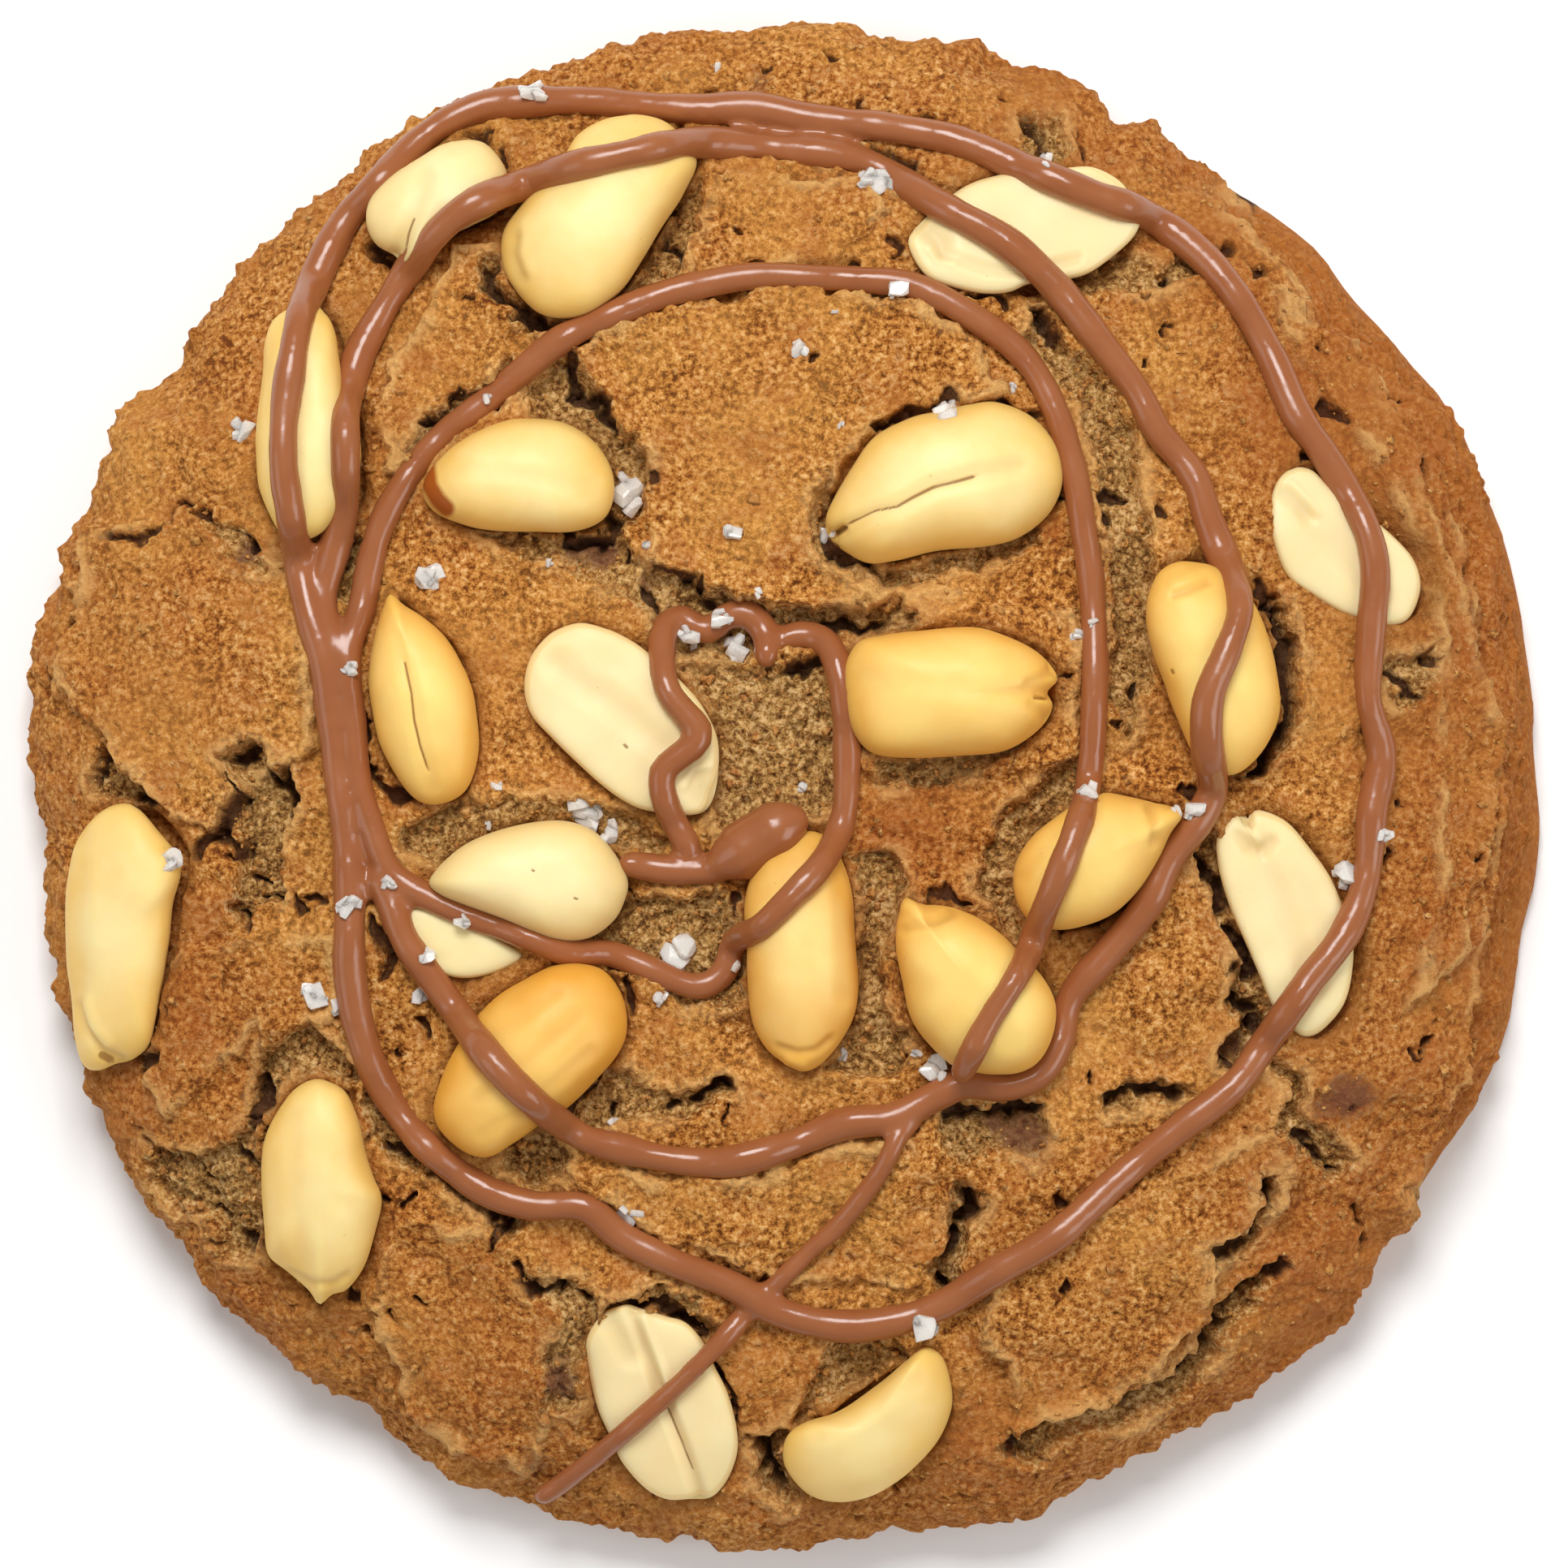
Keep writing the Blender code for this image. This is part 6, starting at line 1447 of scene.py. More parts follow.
@dataclass
class KernelSet:
    """The peanut kernels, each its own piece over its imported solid.

    Each row of dents is the distance between two dents and their depth.
    """

    form: DoughForm = field(default_factory=DoughForm)
    around: int = 168
    rings: int = 90
    roundness: float = 2.35
    half_crown: float = 0.22
    half_flatness: float = 7.0
    lean_with_dome: float = 0.85
    dents: tuple[tuple[float, float], ...] = ((6.0, 0.30), (2.6, 0.09))
    cut_face_yellow: float = 0.08
    cut_rim_yellow: float = 0.6
    side_shade_yellow: float = 0.8

    def build(self) -> list[Object]:
        """Builds and dresses every kernel."""
        materials = {name: finish.material() for name, finish in TONES.items()}
        made = []
        for number, kernel in enumerate(KERNELS, 1):
            piece = self._kernel(number, kernel)
            piece.data.materials.append(materials[kernel.tone])
            made.append(piece)
        return made

    def _kernel(self, number: int, kernel: Kernel) -> Object:
        """Builds one kernel in its place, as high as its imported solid.

        Args:
            number: its number, from 1, which its node has too.
            kernel: its sizes.

        Returns:
            The finished object.
        """
        bm = bmesh.new()
        bmesh.ops.create_uvsphere(bm, u_segments=self.around, v_segments=self.rings, radius=1.0)
        made = link_mesh(f"kernel_{number:02d}", bm)
        ball = read_places(made.data)
        share = np.clip(np.hypot(ball[:, 0], ball[:, 1]), 0.0, 1.0)
        places = self._shape(ball, share, kernel, number)
        write_places(made.data, places)
        seam, skin, crease, depth = self._marks(places, made.data, number)
        normals = read_normals(made.data)
        places = places - normals * depth[:, None]
        places[:, :2] += np.array(kernel.middle)
        places[:, 2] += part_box(f"peanut_{number:02d}")[1].z / MM - places[:, 2].max()
        write_places(made.data, places)
        # A whole kernel is painted deeper yellow towards its sides as shade; a half's cut face is its own
        # paler colour
        if kernel.form is HALF:
            face = (ball[:, 2] > 0.0) & (share < 0.95)
            side = np.where(face, self.cut_face_yellow, self.cut_rim_yellow)
        else:
            side = self.side_shade_yellow * np.where(ball[:, 2] > 0.0, share**2.4, 1.0)
        # The fourth channel is the painted shade of the creases
        write_attribute(made.data, Attribute.MARKS, (seam, skin, side, crease))
        shade_smooth(made)
        return made

    def _shape(self, ball: Array, share: Array, kernel: Kernel, number: int) -> Array:
        """Moves the unit ball's points to the kernel's surface, in millimetres from its middle.

        Args:
            ball: the points of the unit ball.
            share: how far out each point is, from 0 over the middle to 1 on the outline.
            kernel: the kernel's sizes.
            number: the kernel's number, which makes its dents its own.

        Returns:
            The points of the surface.
        """
        turn = np.arctan2(ball[:, 1], ball[:, 0])
        out = share * kernel.reach(turn)
        x, y = out * np.cos(turn), out * np.sin(turn)
        if kernel.form is HALF:
            crown = kernel.thickness * self.half_crown
            top = crown * np.sqrt(1.0 - share**self.half_flatness)
            under = (kernel.thickness - crown) * np.sqrt(1.0 - share**2)
        else:
            top = under = kernel.thickness / 2 * np.sqrt(1.0 - share**self.roundness)
        up = np.where(ball[:, 2] > 0.0, top, -under)
        lean, outward = self.form.slope(*kernel.middle)
        fall = math.tan(lean * self.lean_with_dome)
        up = up - fall * (x * math.cos(outward) + y * math.sin(outward))
        places = np.column_stack([x, y, up])
        for layer, (wavelength, depth) in enumerate(self.dents):
            for axis in range(3):
                shift = crumb_noise(places, wavelength, 100 + 10 * number + 3 * layer + axis)
                places[:, axis] += depth * (0.4 if axis < 2 else 1.0) * shift
        return places

    def _marks(
        self, places: Array, mesh: Mesh, number: int
    ) -> tuple[Array, Array, Array, Array]:
        """Reads the kernel's marks at each place on its upper side.

        Args:
            places: the kernel's points from its middle, in millimetres.
            mesh: the kernel's mesh, for which way its surface faces.
            number: the kernel's number.

        Returns:
            The fields of seam and of skin, the shade of creases, and the depth in millimetres.
        """
        upward = read_normals(mesh)[:, 2] > 0.1
        found = {kind: np.zeros(len(places)) for kind in Mark}
        depth = np.zeros(len(places))
        for mark in KERNEL_MARKS:
            if mark.kernel != number:
                continue
            gap = distance_to_course(places[:, :2], mark.course) / mark.width
            share = smooth_step(1.0 - gap / 1.7) * upward
            depth += mark.depth * share
            strength = mark.shade * share
            if mark.kind is not CREASE:
                strength = np.clip(1.0 - gap / 2.0, 0.0, 1.0) * upward
            found[mark.kind] = np.maximum(found[mark.kind], strength)
        return found[SEAM], found[SKIN], found[CREASE], depth


Finder = Callable[[float, float], tuple[float, int]]


def surface_finder(objects: list[Object]) -> Finder:
    """Makes a function that finds the highest point of some objects over a place.

    Args:
        objects: the pieces to look at.

    Returns:
        A function of x and y in millimetres, which gives the height and the piece's number, or -1.
    """
    trees = []
    for made in objects:
        bm = bmesh.new()
        bm.from_mesh(made.data)
        trees.append(BVHTree.FromBMesh(bm))
        bm.free()
    down = Vector((0.0, 0.0, -1.0))

    def highest(x: float, y: float) -> tuple[float, int]:
        """Returns the highest point over (x, y) and whose it is."""
        best, owner = 0.0, -1
        for number, tree in enumerate(trees):
            hit = tree.ray_cast(Vector((x, y, 60.0)) * MM, down)[0]
            if hit and hit.z / MM > best:
                best, owner = hit.z / MM, number
        return best, owner

    return highest


@dataclass(frozen=True)
class Strand:
    """One pour of the drizzle: radius of its bead, and its course seen from above."""

    radius: float
    course: tuple[Place, ...]


LOOP_BEAD, SPIRAL_BEAD, TAIL_BEAD, BLOB_BEAD = 1.15, 1.02, 0.78, 2.2

STRANDS = tuple(Strand(radius, tuple(course)) for radius, *course in (
    (LOOP_BEAD, (-18.1, 49.3), (-21.3, 49.1), (-24.5, 47.8), (-26.8, 46), (-29.1, 43.4), (-31.4, 41),
     (-33.2, 37.7), (-34.5, 34.1), (-35.2, 30), (-35.7, 26), (-35.7, 22.5), (-35.2, 19), (-34.7, 15.5),
     (-34, 12.3), (-33, 9.1), (-32.4, 5.1), (-32, 1), (-31.5, -3.1), (-31.1, -6.6), (-31.1, -10.1),
     (-31.1, -13.5), (-30.4, -17.6), (-28.8, -21.7), (-25.9, -25.7), (-21.8, -28.9), (-18.1, -30.2),
     (-14.3, -30.3), (-11.7, -32.4), (-7.9, -34.3), (-3.8, -35.9), (-0.3, -37.9), (4.3, -38.9), (8.4, -38.4),
     (11.6, -37.2), (15, -35), (19.4, -32.4), (24.1, -28.2), (28.1, -24.9), (32.2, -21.7), (34.8, -18.2),
     (37.4, -14.4), (40.3, -10.6), (41.8, -6.6), (42.2, -1.9), (42.9, 2.1), (41.9, 6.2), (42.1, 10.9),
     (42.4, 15.5), (41.5, 19), (39.2, 23.1), (36.8, 26.6), (35.1, 30.6), (32.8, 34.7), (29.9, 38.2),
     (26.4, 40.8), (22.3, 42.2), (17.1, 44.3), (12.4, 46.3), (6.6, 47.4), (2, 47.9), (-2.1, 48.7),
     (-6.2, 48.6), (-10.2, 48.9), (-14, 49.3), (-18.1, 49.3), (-21.3, 49.1)),
    (LOOP_BEAD, (-31, 8), (-33, 12.3), (-32.4, 16.1), (-31.4, 20.2), (-31.3, 24.2), (-31.3, 27.1),
     (-30.6, 30.6), (-28.8, 34.1), (-26.5, 37.6), (-23.6, 40.6), (-20.1, 42.5), (-15.5, 44), (-10.8, 45.1),
     (-6.7, 46), (-3.8, 46), (0.8, 45.6), (4.9, 45), (7.8, 43.7), (11.3, 41.4), (15.9, 38.8), (19.4, 35.7),
     (22.3, 32.1), (25.2, 28.3), (26.7, 25.4), (29.3, 22.2), (30.4, 19), (31.7, 15.5), (32.5, 12.6),
     (31.5, 9.4), (30.2, 6.2), (30.1, 2.7), (30.7, -0.2), (29.6, -2.6), (27.5, -5.4), (25.8, -8.9),
     (22.9, -12.4), (20.5, -15.3), (19.7, -18.5), (18.2, -20.8), (15.9, -21.7), (13, -21.4), (10.7, -22.4),
     (7.8, -23.9), (4.3, -24.3), (0.8, -25.7), (-3.8, -27), (-7.9, -26.9), (-12, -26), (-14.3, -25.3),
     (-16.6, -23.7), (-20.1, -20.4), (-23, -16.9), (-25.3, -13.8), (-27.1, -11.2), (-28.2, -8.3),
     (-29.3, -6)),
    (SPIRAL_BEAD, (12.4, -21.1), (14.5, -16.9), (17.1, -12.7), (18.8, -8.3), (20.5, -4), (21.6, -0.8),
     (22.1, 3.9), (22.2, 9.7), (22, 14.4), (21.4, 18.4), (20.7, 22.5), (19.4, 26.8), (17.2, 30.6),
     (13.6, 33.4), (9.5, 35.6), (6, 36.1), (2, 36.3), (-2.1, 36.4), (-6.2, 35.7), (-9.6, 34.7),
     (-13.1, 33.2), (-16, 31.8), (-18.9, 29.5), (-21.8, 27.1), (-24.8, 24.7), (-27.1, 21.8), (-28.8, 18.7),
     (-29.7, 15.5), (-30.3, 12.3), (-31.3, 9.1), (-31, 5.1), (-30.6, 1), (-29.5, -3.1), (-28.1, -6.4),
     (-25.3, -8.2), (-22.1, -9.6), (-18.9, -10.7), (-15.5, -12), (-12.5, -12.1), (-9.1, -13.5),
     (-6.2, -14.5), (-4.3, -13.5), (-3.5, -11.2), (-1.8, -10.3), (0.5, -8), (2.8, -5.5), (4.2, -2.5),
     (4.5, 1), (4.4, 4.5), (4, 7.7), (3.1, 10), (1.1, 10.7), (-0.6, 10)),
    (SPIRAL_BEAD, (-1.4, 8.4), (-1.2, 10.5), (-2.6, 12.2), (-4.3, 11.9), (-5.2, 11), (-6.3, 11.2),
     (-7.5, 11.9), (-8.6, 11), (-8.7, 8.5), (-8.2, 6.5), (-7, 5), (-6.1, 3.8), (-6.4, 2.8), (-7.7, 1.8),
     (-8.7, 0.8), (-8.6, -0.8), (-7.9, -2.6), (-7, -4.2), (-6.5, -5.6)),
    (SPIRAL_BEAD, (-11.7, -5.6), (-10, -5.9), (-7.5, -6.2), (-4.6, -6.1), (-3.4, -5.6)),
    (BLOB_BEAD, (-5.4, -6), (-3.5, -5.1), (-1.5, -3.9), (0.3, -2.8), (1.6, -2.2)),
    (TAIL_BEAD, (9.6, -23.6), (8.3, -25), (6.7, -28), (4, -31.5), (2, -33.3), (-0.2, -35.5), (-2.7, -38),
     (-5, -40.5), (-8, -43.5), (-10, -45.3), (-13, -48), (-16, -50.5), (-17.9, -51.8)),
))


@dataclass
class Drizzle:
    """The milk chocolate: every strand laid on what is under it, run together where they meet."""

    finish: MilkChocolate = field(default_factory=MilkChocolate)
    step: float = 0.7
    rise: float = 0.45
    unevenness: float = 0.17
    voxel: float = 0.29
    smoothing: int = 5
    ease: float = 1.3
    stiffness: float = 0.6
    above_solids: float = 0.5

    def build(self, ground: Finder) -> Object:
        """Pours the strands and runs them together.

        Args:
            ground: finds what lies under a place.

        Returns:
            The finished drizzle.
        """
        curve = bpy.data.curves.new("drizzle", "CURVE")
        curve.dimensions = "3D"
        curve.bevel_depth = MM
        curve.bevel_resolution = 4
        curve.use_fill_caps = True
        for number, strand in enumerate(STRANDS, 1):
            self._pour(curve, strand, ground, number)
        guide = link_object("drizzle guide", curve)
        shown = guide.evaluated_get(bpy.context.evaluated_depsgraph_get())
        mesh = bpy.data.meshes.new_from_object(shown)
        bpy.data.objects.remove(guide)
        made = link_object("drizzle", mesh)
        remesh = made.modifiers.new("Run together", "REMESH")
        remesh.mode = "VOXEL"
        remesh.voxel_size = self.voxel * MM
        smooth = made.modifiers.new("Settle", "SMOOTH")
        smooth.factor = 0.5
        smooth.iterations = self.smoothing
        apply_modifiers(made)
        shade_smooth(made)
        made.data.materials.clear()
        made.data.materials.append(self.finish.material())
        return made

    def _pour(self, curve: Curve, strand: Strand, ground: Finder, number: int) -> None:
        """Adds one strand to the curve.

        Args:
            curve: the curve that gets it.
            strand: the radius of its bead and its course.
            ground: finds what lies under a place.
            number: the strand's number, which makes its swells its own.
        """
        course = smooth_course(strand.course, self.step)
        height = np.array([self._rest(x, y, strand.radius, ground) for x, y in course])
        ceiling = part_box("peanut_16")[1].z / MM + self.above_solids - strand.radius
        height = np.minimum(self._bridge(height) + self.rise * strand.radius, ceiling)
        swell = noise_at(course, 4.2, 60 + number) + 0.5 * noise_at(course, 1.9, 70 + number)
        radii = strand.radius * (1.0 + self.unevenness * swell)
        ends = np.minimum(np.arange(len(radii)), np.arange(len(radii))[::-1])
        radii *= np.sqrt(np.clip((ends + 0.35) * self.step / (strand.radius * 1.1), 0.05, 1.0))
        spline = curve.splines.new("POLY")
        spline.points.add(len(course) - 1)
        for point, (x, y), z, radius in zip(spline.points, course, height, radii):
            point.co = (x * MM, y * MM, z * MM, 1.0)
            point.radius = radius

    def _rest(self, x: float, y: float, radius: float, ground: Finder) -> float:
        """Finds how high a bead rests over a place.

        Args:
            x: the place's x, in millimetres.
            y: the place's y.
            radius: the bead's radius.
            ground: finds what lies under a place.

        Returns:
            The height of what is under the bead, without the lowest of five places.
        """
        reach = 0.55 * radius
        around = ((0.0, 0.0), (reach, 0.0), (-reach, 0.0), (0.0, reach), (0.0, -reach))
        heights = sorted(ground(x + dx, y + dy)[0] for dx, dy in around)
        return sum(heights[1:]) / (len(heights) - 1)

    def _bridge(self, height: Array) -> Array:
        """Lets a strand sag over small gaps and follow what is wide, as thick chocolate does.

        Args:
            height: the height under each point of the strand.

        Returns:
            The height that the strand takes at each point.
        """
        reach = max(int(round(self.ease / self.step)), 1)
        padded = np.pad(height, reach, mode="edge")
        window = np.lib.stride_tricks.sliding_window_view(padded, 2 * reach + 1)
        raised = window.max(axis=1)
        padded = np.pad(raised, reach, mode="edge")
        closed = np.lib.stride_tricks.sliding_window_view(padded, 2 * reach + 1).min(axis=1)
        blend = self.stiffness * closed + (1.0 - self.stiffness) * height
        weights = np.hanning(2 * reach + 3)[1:-1]
        padded = np.pad(blend, reach, mode="edge")
        return np.convolve(padded, weights / weights.sum(), mode="valid")


@dataclass
class SaltFlakes:
    """Salt flakes: broken blocks and plates of crystal, the large ones as small clusters.

    Each flake is its x, y and size in millimetres.
    """

    finish: SaltCrystal = field(default_factory=SaltCrystal)
    seed: int = 11
    sink: float = 0.10
    cluster_step: float = 0.6
    cuts: int = 14
    flakes: tuple[tuple[float, float, float], ...] = (
        (-18.1, 49.9, 2.1), (6.6, 43.1, 2.6), (8.2, 35.4, 1.7), (-38.8, 25.3, 2.0), (-11.1, 20.9, 2.7),
        (11.6, 26.3, 2.1), (-3.7, 18.1, 1.6), (-25.3, 14.9, 2.3), (3.0, 17.8, 1.3), (0.9, 31.1, 1.6),
        (-4.4, 11.7, 1.8), (-3.5, 9.5, 2.0), (-6.9, 10.6, 2.0), (-14.3, -2.0, 2.6), (-12.4, -3.6, 1.8),
        (-43.7, -5.3, 1.8), (-7.8, -12.4, 2.7), (-31.1, -8.8, 2.1), (-33.6, -15.3, 2.2),
        (-32.1, -15.9, 1.2), (-26.2, -15.2, 1.4), (-25.5, -12.4, 1.3), (-23.0, -9.9, 1.3),
        (21.7, -0.6, 1.7), (28.1, -1.9, 1.0), (29.4, -1.8, 1.7), (40.3, -6.4, 2.0), (43.2, -3.7, 1.2),
        (21.0, 10.6, 1.2), (22.1, 11.6, 0.9), (18.9, 44.9, 1.3), (10.1, -38.8, 2.1), (-11.1, -30.9, 1.9),
        (10.7, -20.6, 1.9), (4.2, -19.3, 1.1), (9.5, -19.2, 0.9), (-3.4, -13.0, 1.1), (-1.7, 13.7, 1.0),
        (-9.8, 17.1, 0.9), (-16.9, 15.8, 0.8), (16.4, 28.3, 0.8), (4.0, 25.7, 0.7), (-20.6, -0.2, 1.0),
        (-21.1, -3.0, 0.8), (-4.8, 51.8, 0.9), (-8.9, -15.2, 1.2), (3.6, 33.8, 0.7), (-12.3, -24.3, 0.8),
        (1.4, -0.2, 0.9), (-31.0, 8.1, 1.2), (-28.2, -7.0, 1.2), (-21.3, 27.6, 0.9),
    )

    def build(self, ground: Finder) -> Object:
        """Scatters the flakes as one piece.

        Args:
            ground: finds what lies under a place.

        Returns:
            The finished flakes.
        """
        chance = random.Random(self.seed)
        bm = bmesh.new()
        for x, y, size in self.flakes:
            count = 1 + int(size / self.cluster_step)
            for part in range(count):
                share = 0.72 if part == 0 else chance.uniform(0.3, 0.6)
                shift = 0.0 if part == 0 else size * chance.uniform(0.18, 0.4)
                turn = chance.uniform(0.0, 2 * math.pi)
                place = (x + shift * math.cos(turn), y + shift * math.sin(turn))
                self._crystal(bm, place, size * share, ground, chance)
        made = link_mesh("salt_flakes", bm)
        made.data.materials.append(self.finish.material())
        return made

    def _crystal(
        self, bm: BMesh, place: Place, size: float, ground: Finder, chance: random.Random
    ) -> None:
        """Adds one crystal: a squat block with its corners broken off by random planes.

        Args:
            bm: the bmesh that gets it.
            place: its x and y, in millimetres.
            size: its length.
            ground: finds what lies under a place.
            chance: the source of random numbers.
        """
        part = bmesh.new()
        bmesh.ops.create_cube(part, size=1.0)
        for corner in part.verts:
            corner.co *= chance.uniform(0.88, 1.12)
        for _ in range(self.cuts):
            direction = Vector((chance.gauss(0, 1), chance.gauss(0, 1), chance.gauss(0, 1))).normalized()
            distance = chance.uniform(0.34, 0.62)
            cut = bmesh.ops.bisect_plane(
                part, geom=part.verts[:] + part.edges[:] + part.faces[:], plane_co=direction * distance,
                plane_no=direction, clear_outer=True, dist=1e-4,
            )
            edges = [edge for edge in cut["geom_cut"] if isinstance(edge, BMEdge)]
            if edges:
                bmesh.ops.edgeloop_fill(part, edges=edges)
        bmesh.ops.recalc_face_normals(part, faces=part.faces)
        height = ground(*place)[0]
        thick = size * chance.uniform(0.35, 0.7)
        wide = size * chance.uniform(0.55, 1.1)
        bmesh.ops.scale(part, verts=part.verts, vec=Vector((size * 1.2, wide, thick)) * MM)
        tilt = Matrix.Rotation(chance.uniform(0, math.pi), 4, "Z")
        tilt = tilt @ Matrix.Rotation(chance.uniform(-0.8, 0.8), 4, "X")
        rest = Vector((place[0], place[1], height + thick * (0.5 - self.sink))) * MM
        part.transform(Matrix.Translation(rest) @ tilt)
        merge(bm, part)


@dataclass
class LooseCrumbs:
    """Crumbs of dough that stand on the crust, most of them in the hollows and along their edges."""

    crust: DoughCrust
    name: str
    count: int
    smallest: float
    largest: float
    subdivisions: int
    seed: int
    sink: float = 0.05
    batch: int = 150
    on_crust: float = 0.12
    in_hollows: float = 0.8
    near_edge: float = 0.1

    def build(self, ground: Finder) -> Object:
        """Scatters the crumbs as one piece.

        Args:
            ground: finds what lies under a place. Its piece number 0 is the dough, which alone
                carries crumbs.

        Returns:
            The finished crumbs.
        """
        chance = np.random.default_rng(self.seed)
        kept = self._chosen(chance)
        rests = []
        for x, y in kept:
            height, owner = ground(float(x), float(y))
            if owner == 0:
                rests.append((float(x), float(y), height))
        sizes = self.smallest + (self.largest - self.smallest) * chance.random(len(rests)) ** 2.5
        bm = bmesh.new()
        for start in range(0, len(rests), self.batch):
            self._add_batch(bm, rests[start : start + self.batch], sizes[start : start + self.batch])
        made = link_mesh(self.name, bm)
        self._knead(made.data, len(rests), chance)
        shade_smooth(made)
        made.data.materials.append(self.crust.finish.material())
        count = len(made.data.vertices)
        none, one = np.zeros(count), np.ones(count)
        write_attribute(made.data, Attribute.BAKE, (np.full(count, 0.3), none, none, one))
        # The fourth channel lays a little of the painted highlight over every crumb
        write_attribute(made.data, Attribute.TOAST, (np.full(count, 0.15), none, none, 0.3 * one))
        return made

    def _chosen(self, chance: np.random.Generator) -> Array:
        """Draws the places of the crumbs.

        Args:
            chance: the source of random numbers.

        Returns:
            Rows of x and y, in millimetres.
        """
        tries = self.count * 5
        form = self.crust.form
        out = (form.radius - 1.2) * np.sqrt(chance.random(tries))
        turn = chance.random(tries) * 2 * math.pi
        points = np.stack([out * np.cos(turn), out * np.sin(turn)], axis=1)
        surface = self.crust.surface(np.column_stack([points, form.dome(points)]))
        wish = self.on_crust + self.in_hollows * smooth_step(surface.sunken * 2.0 - 0.3)
        wish = wish + self.near_edge * smooth_step((out - 44.0) / 8.0)
        wish = wish * (1.0 - smooth_step(surface.hole * 3.0 - 0.4)) * (1.0 - surface.chip)
        return points[chance.random(tries) < wish][: self.count]

    def _add_batch(self, bm: BMesh, rests: list[tuple[float, ...]], sizes: Array) -> None:
        """Adds one batch of round crumbs, made apart because a large bmesh slows its operators.

        Args:
            bm: the bmesh that gets them.
            rests: x, y and the height below each crumb, in millimetres.
            sizes: the width of each crumb.
        """
        batch = bmesh.new()
        for (x, y, height), size in zip(rests, sizes):
            centre = Vector((x, y, height + float(size) * self.sink)) * MM
            bmesh.ops.create_icosphere(
                batch, subdivisions=self.subdivisions, radius=float(size) * 0.5 * MM,
                matrix=Matrix.Translation(centre),
            )
        merge(bm, batch)

    def _knead(self, mesh: Mesh, count: int, chance: np.random.Generator) -> None:
        """Makes each round crumb knobbly and uneven by moving its corners in or out at random.

        Args:
            mesh: the mesh of all the crumbs, which this changes.
            count: how many crumbs it holds.
            chance: the source of random numbers.
        """
        places = read_places(mesh).reshape(count, -1, 3)
        centres = places.mean(axis=1, keepdims=True)
        stretch = 0.45 + 0.95 * chance.random((places.shape[0], places.shape[1], 1))
        squash = 0.7 + 0.6 * chance.random((count, 1, 3))
        places = centres + (places - centres) * stretch * squash
        mesh.vertices.foreach_set("co", places.astype(np.float32).ravel())
        mesh.update()


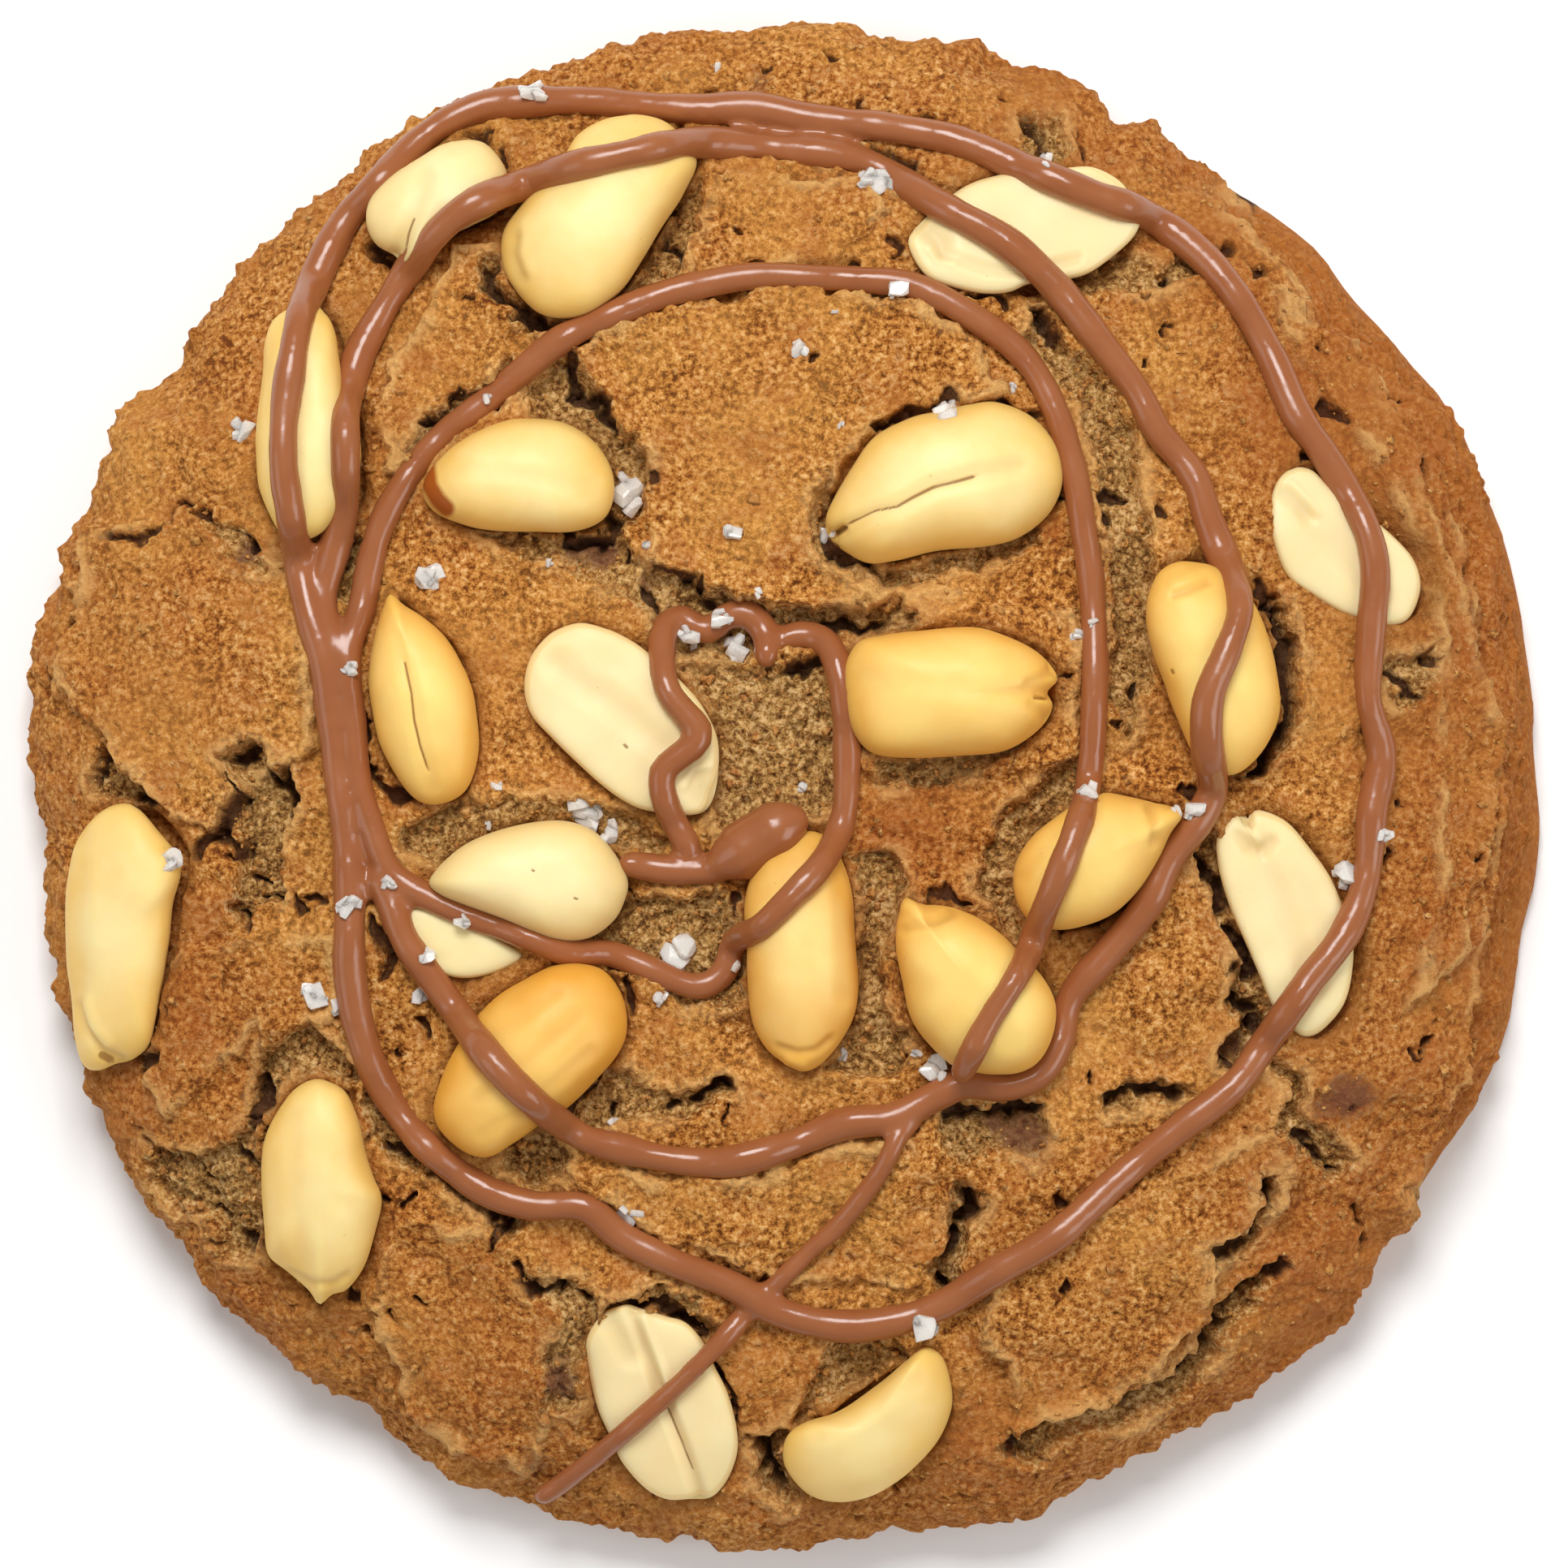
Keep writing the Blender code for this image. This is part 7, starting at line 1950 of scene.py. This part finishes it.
@dataclass
class Studio:
    """Floor, lights and the camera, which looks straight down from the photograph's place.

    Each softbox is its name, its place and the length of its side in metres, and its power in watts.
    """

    photo_pixels: float = 1932.0
    pixel: float = 0.05895
    camera_height: float = 804.3
    sharp_height: float = 4.3
    sensor: float = 36.0
    floor_size: float = 3000.0
    room_light: float = 0.34
    softboxes: tuple[tuple[str, tuple[float, float, float], float, float], ...] = (
        ("overhead softbox", (-0.05, 0.38, 0.60), 0.28, 3.9),
        ("left softbox", (-0.60, -0.1, 0.45), 0.4, 0.7),
        ("right softbox", (0.60, -0.2, 0.5), 0.4, 1.8),
    )

    def build(self) -> None:
        """Builds the floor, the world, the lights and the camera."""
        scene = bpy.context.scene
        scene.view_settings.view_transform = "Standard"
        bm = bmesh.new()
        bmesh.ops.create_grid(bm, x_segments=1, y_segments=1, size=self.floor_size / 2 * MM)
        floor = link_mesh("floor", bm)
        floor.data.materials.append(PaleFloor().material())
        world = bpy.data.worlds.new("Soft white room")
        world.use_nodes = True
        room = world.node_tree.nodes["Background"]
        room.inputs["Color"].default_value = (1.0, 1.0, 1.0, 1.0)
        room.inputs["Strength"].default_value = self.room_light
        scene.world = world
        for softbox in self.softboxes:
            self._softbox(*softbox)
        self._camera(scene)

    def _softbox(self, name: str, place: tuple[float, float, float], size: float, power: float) -> None:
        """Adds a square area light that faces the cookie.

        Args:
            name: the light's name.
            place: where it stands, in metres.
            size: the length of its side, in metres.
            power: in watts.
        """
        data = bpy.data.lights.new(name, "AREA")
        data.shape = "SQUARE"
        data.size = size
        data.energy = power
        light = link_object(name, data)
        light.location = place
        light.rotation_euler = Vector(place).to_track_quat("Z", "Y").to_euler()

    def _camera(self, scene: Scene) -> None:
        """Adds the camera so that the photograph's frame is the render's frame.

        Args:
            scene: the scene that gets it.
        """
        data = bpy.data.cameras.new("camera")
        distance = self.camera_height - self.sharp_height
        data.sensor_width = self.sensor
        data.lens = self.sensor * distance / (self.photo_pixels * self.pixel)
        data.clip_start = 0.01
        scene.camera = link_object("camera", data)
        scene.camera.location = (0.0, 0.0, self.camera_height * MM)


def corners(box: tuple[Vector, Vector]) -> list[list[float]]:
    """Returns a box's two corners as plain lists."""
    return [[float(value) for value in corner] for corner in box]


def attach(piece: Object, slot: Slot, *nodes: str) -> None:
    """Makes a piece ride on the cookie and stand for the nodes that it replaces."""
    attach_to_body(piece, "root")
    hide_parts(*nodes)
    log.info("%s: %d faces", piece.name, len(piece.data.polygons))


def main() -> None:
    """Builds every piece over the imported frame."""
    logging.basicConfig(level=logging.INFO, format="%(message)s")
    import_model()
    crust = DoughCrust()
    dough = crust.build()
    attach(dough, Slot.DOUGH, "cookie")
    kernels = KernelSet(crust.form).build()
    for number, kernel in enumerate(kernels, 1):
        attach(kernel, Slot.PEANUT, f"peanut_{number:02d}")
    ground = surface_finder([dough, *kernels])
    for crumbs in (
        LooseCrumbs(crust, "fine_crumbs", count=4500, smallest=0.2, largest=0.42, subdivisions=1, seed=5),
        LooseCrumbs(crust, "coarse_crumbs", count=600, smallest=0.42, largest=0.85, subdivisions=2, seed=6),
    ):
        attach(crumbs.build(ground), Slot.DOUGH, "cookie")
    drizzle = Drizzle().build(ground)
    attach(drizzle, Slot.CHOCOLATE, "cookie")
    salt = SaltFlakes().build(surface_finder([dough, drizzle, *kernels]))
    attach(salt, Slot.SALT, "cookie")
    Studio().build()


if __name__ == "__main__":
    main()
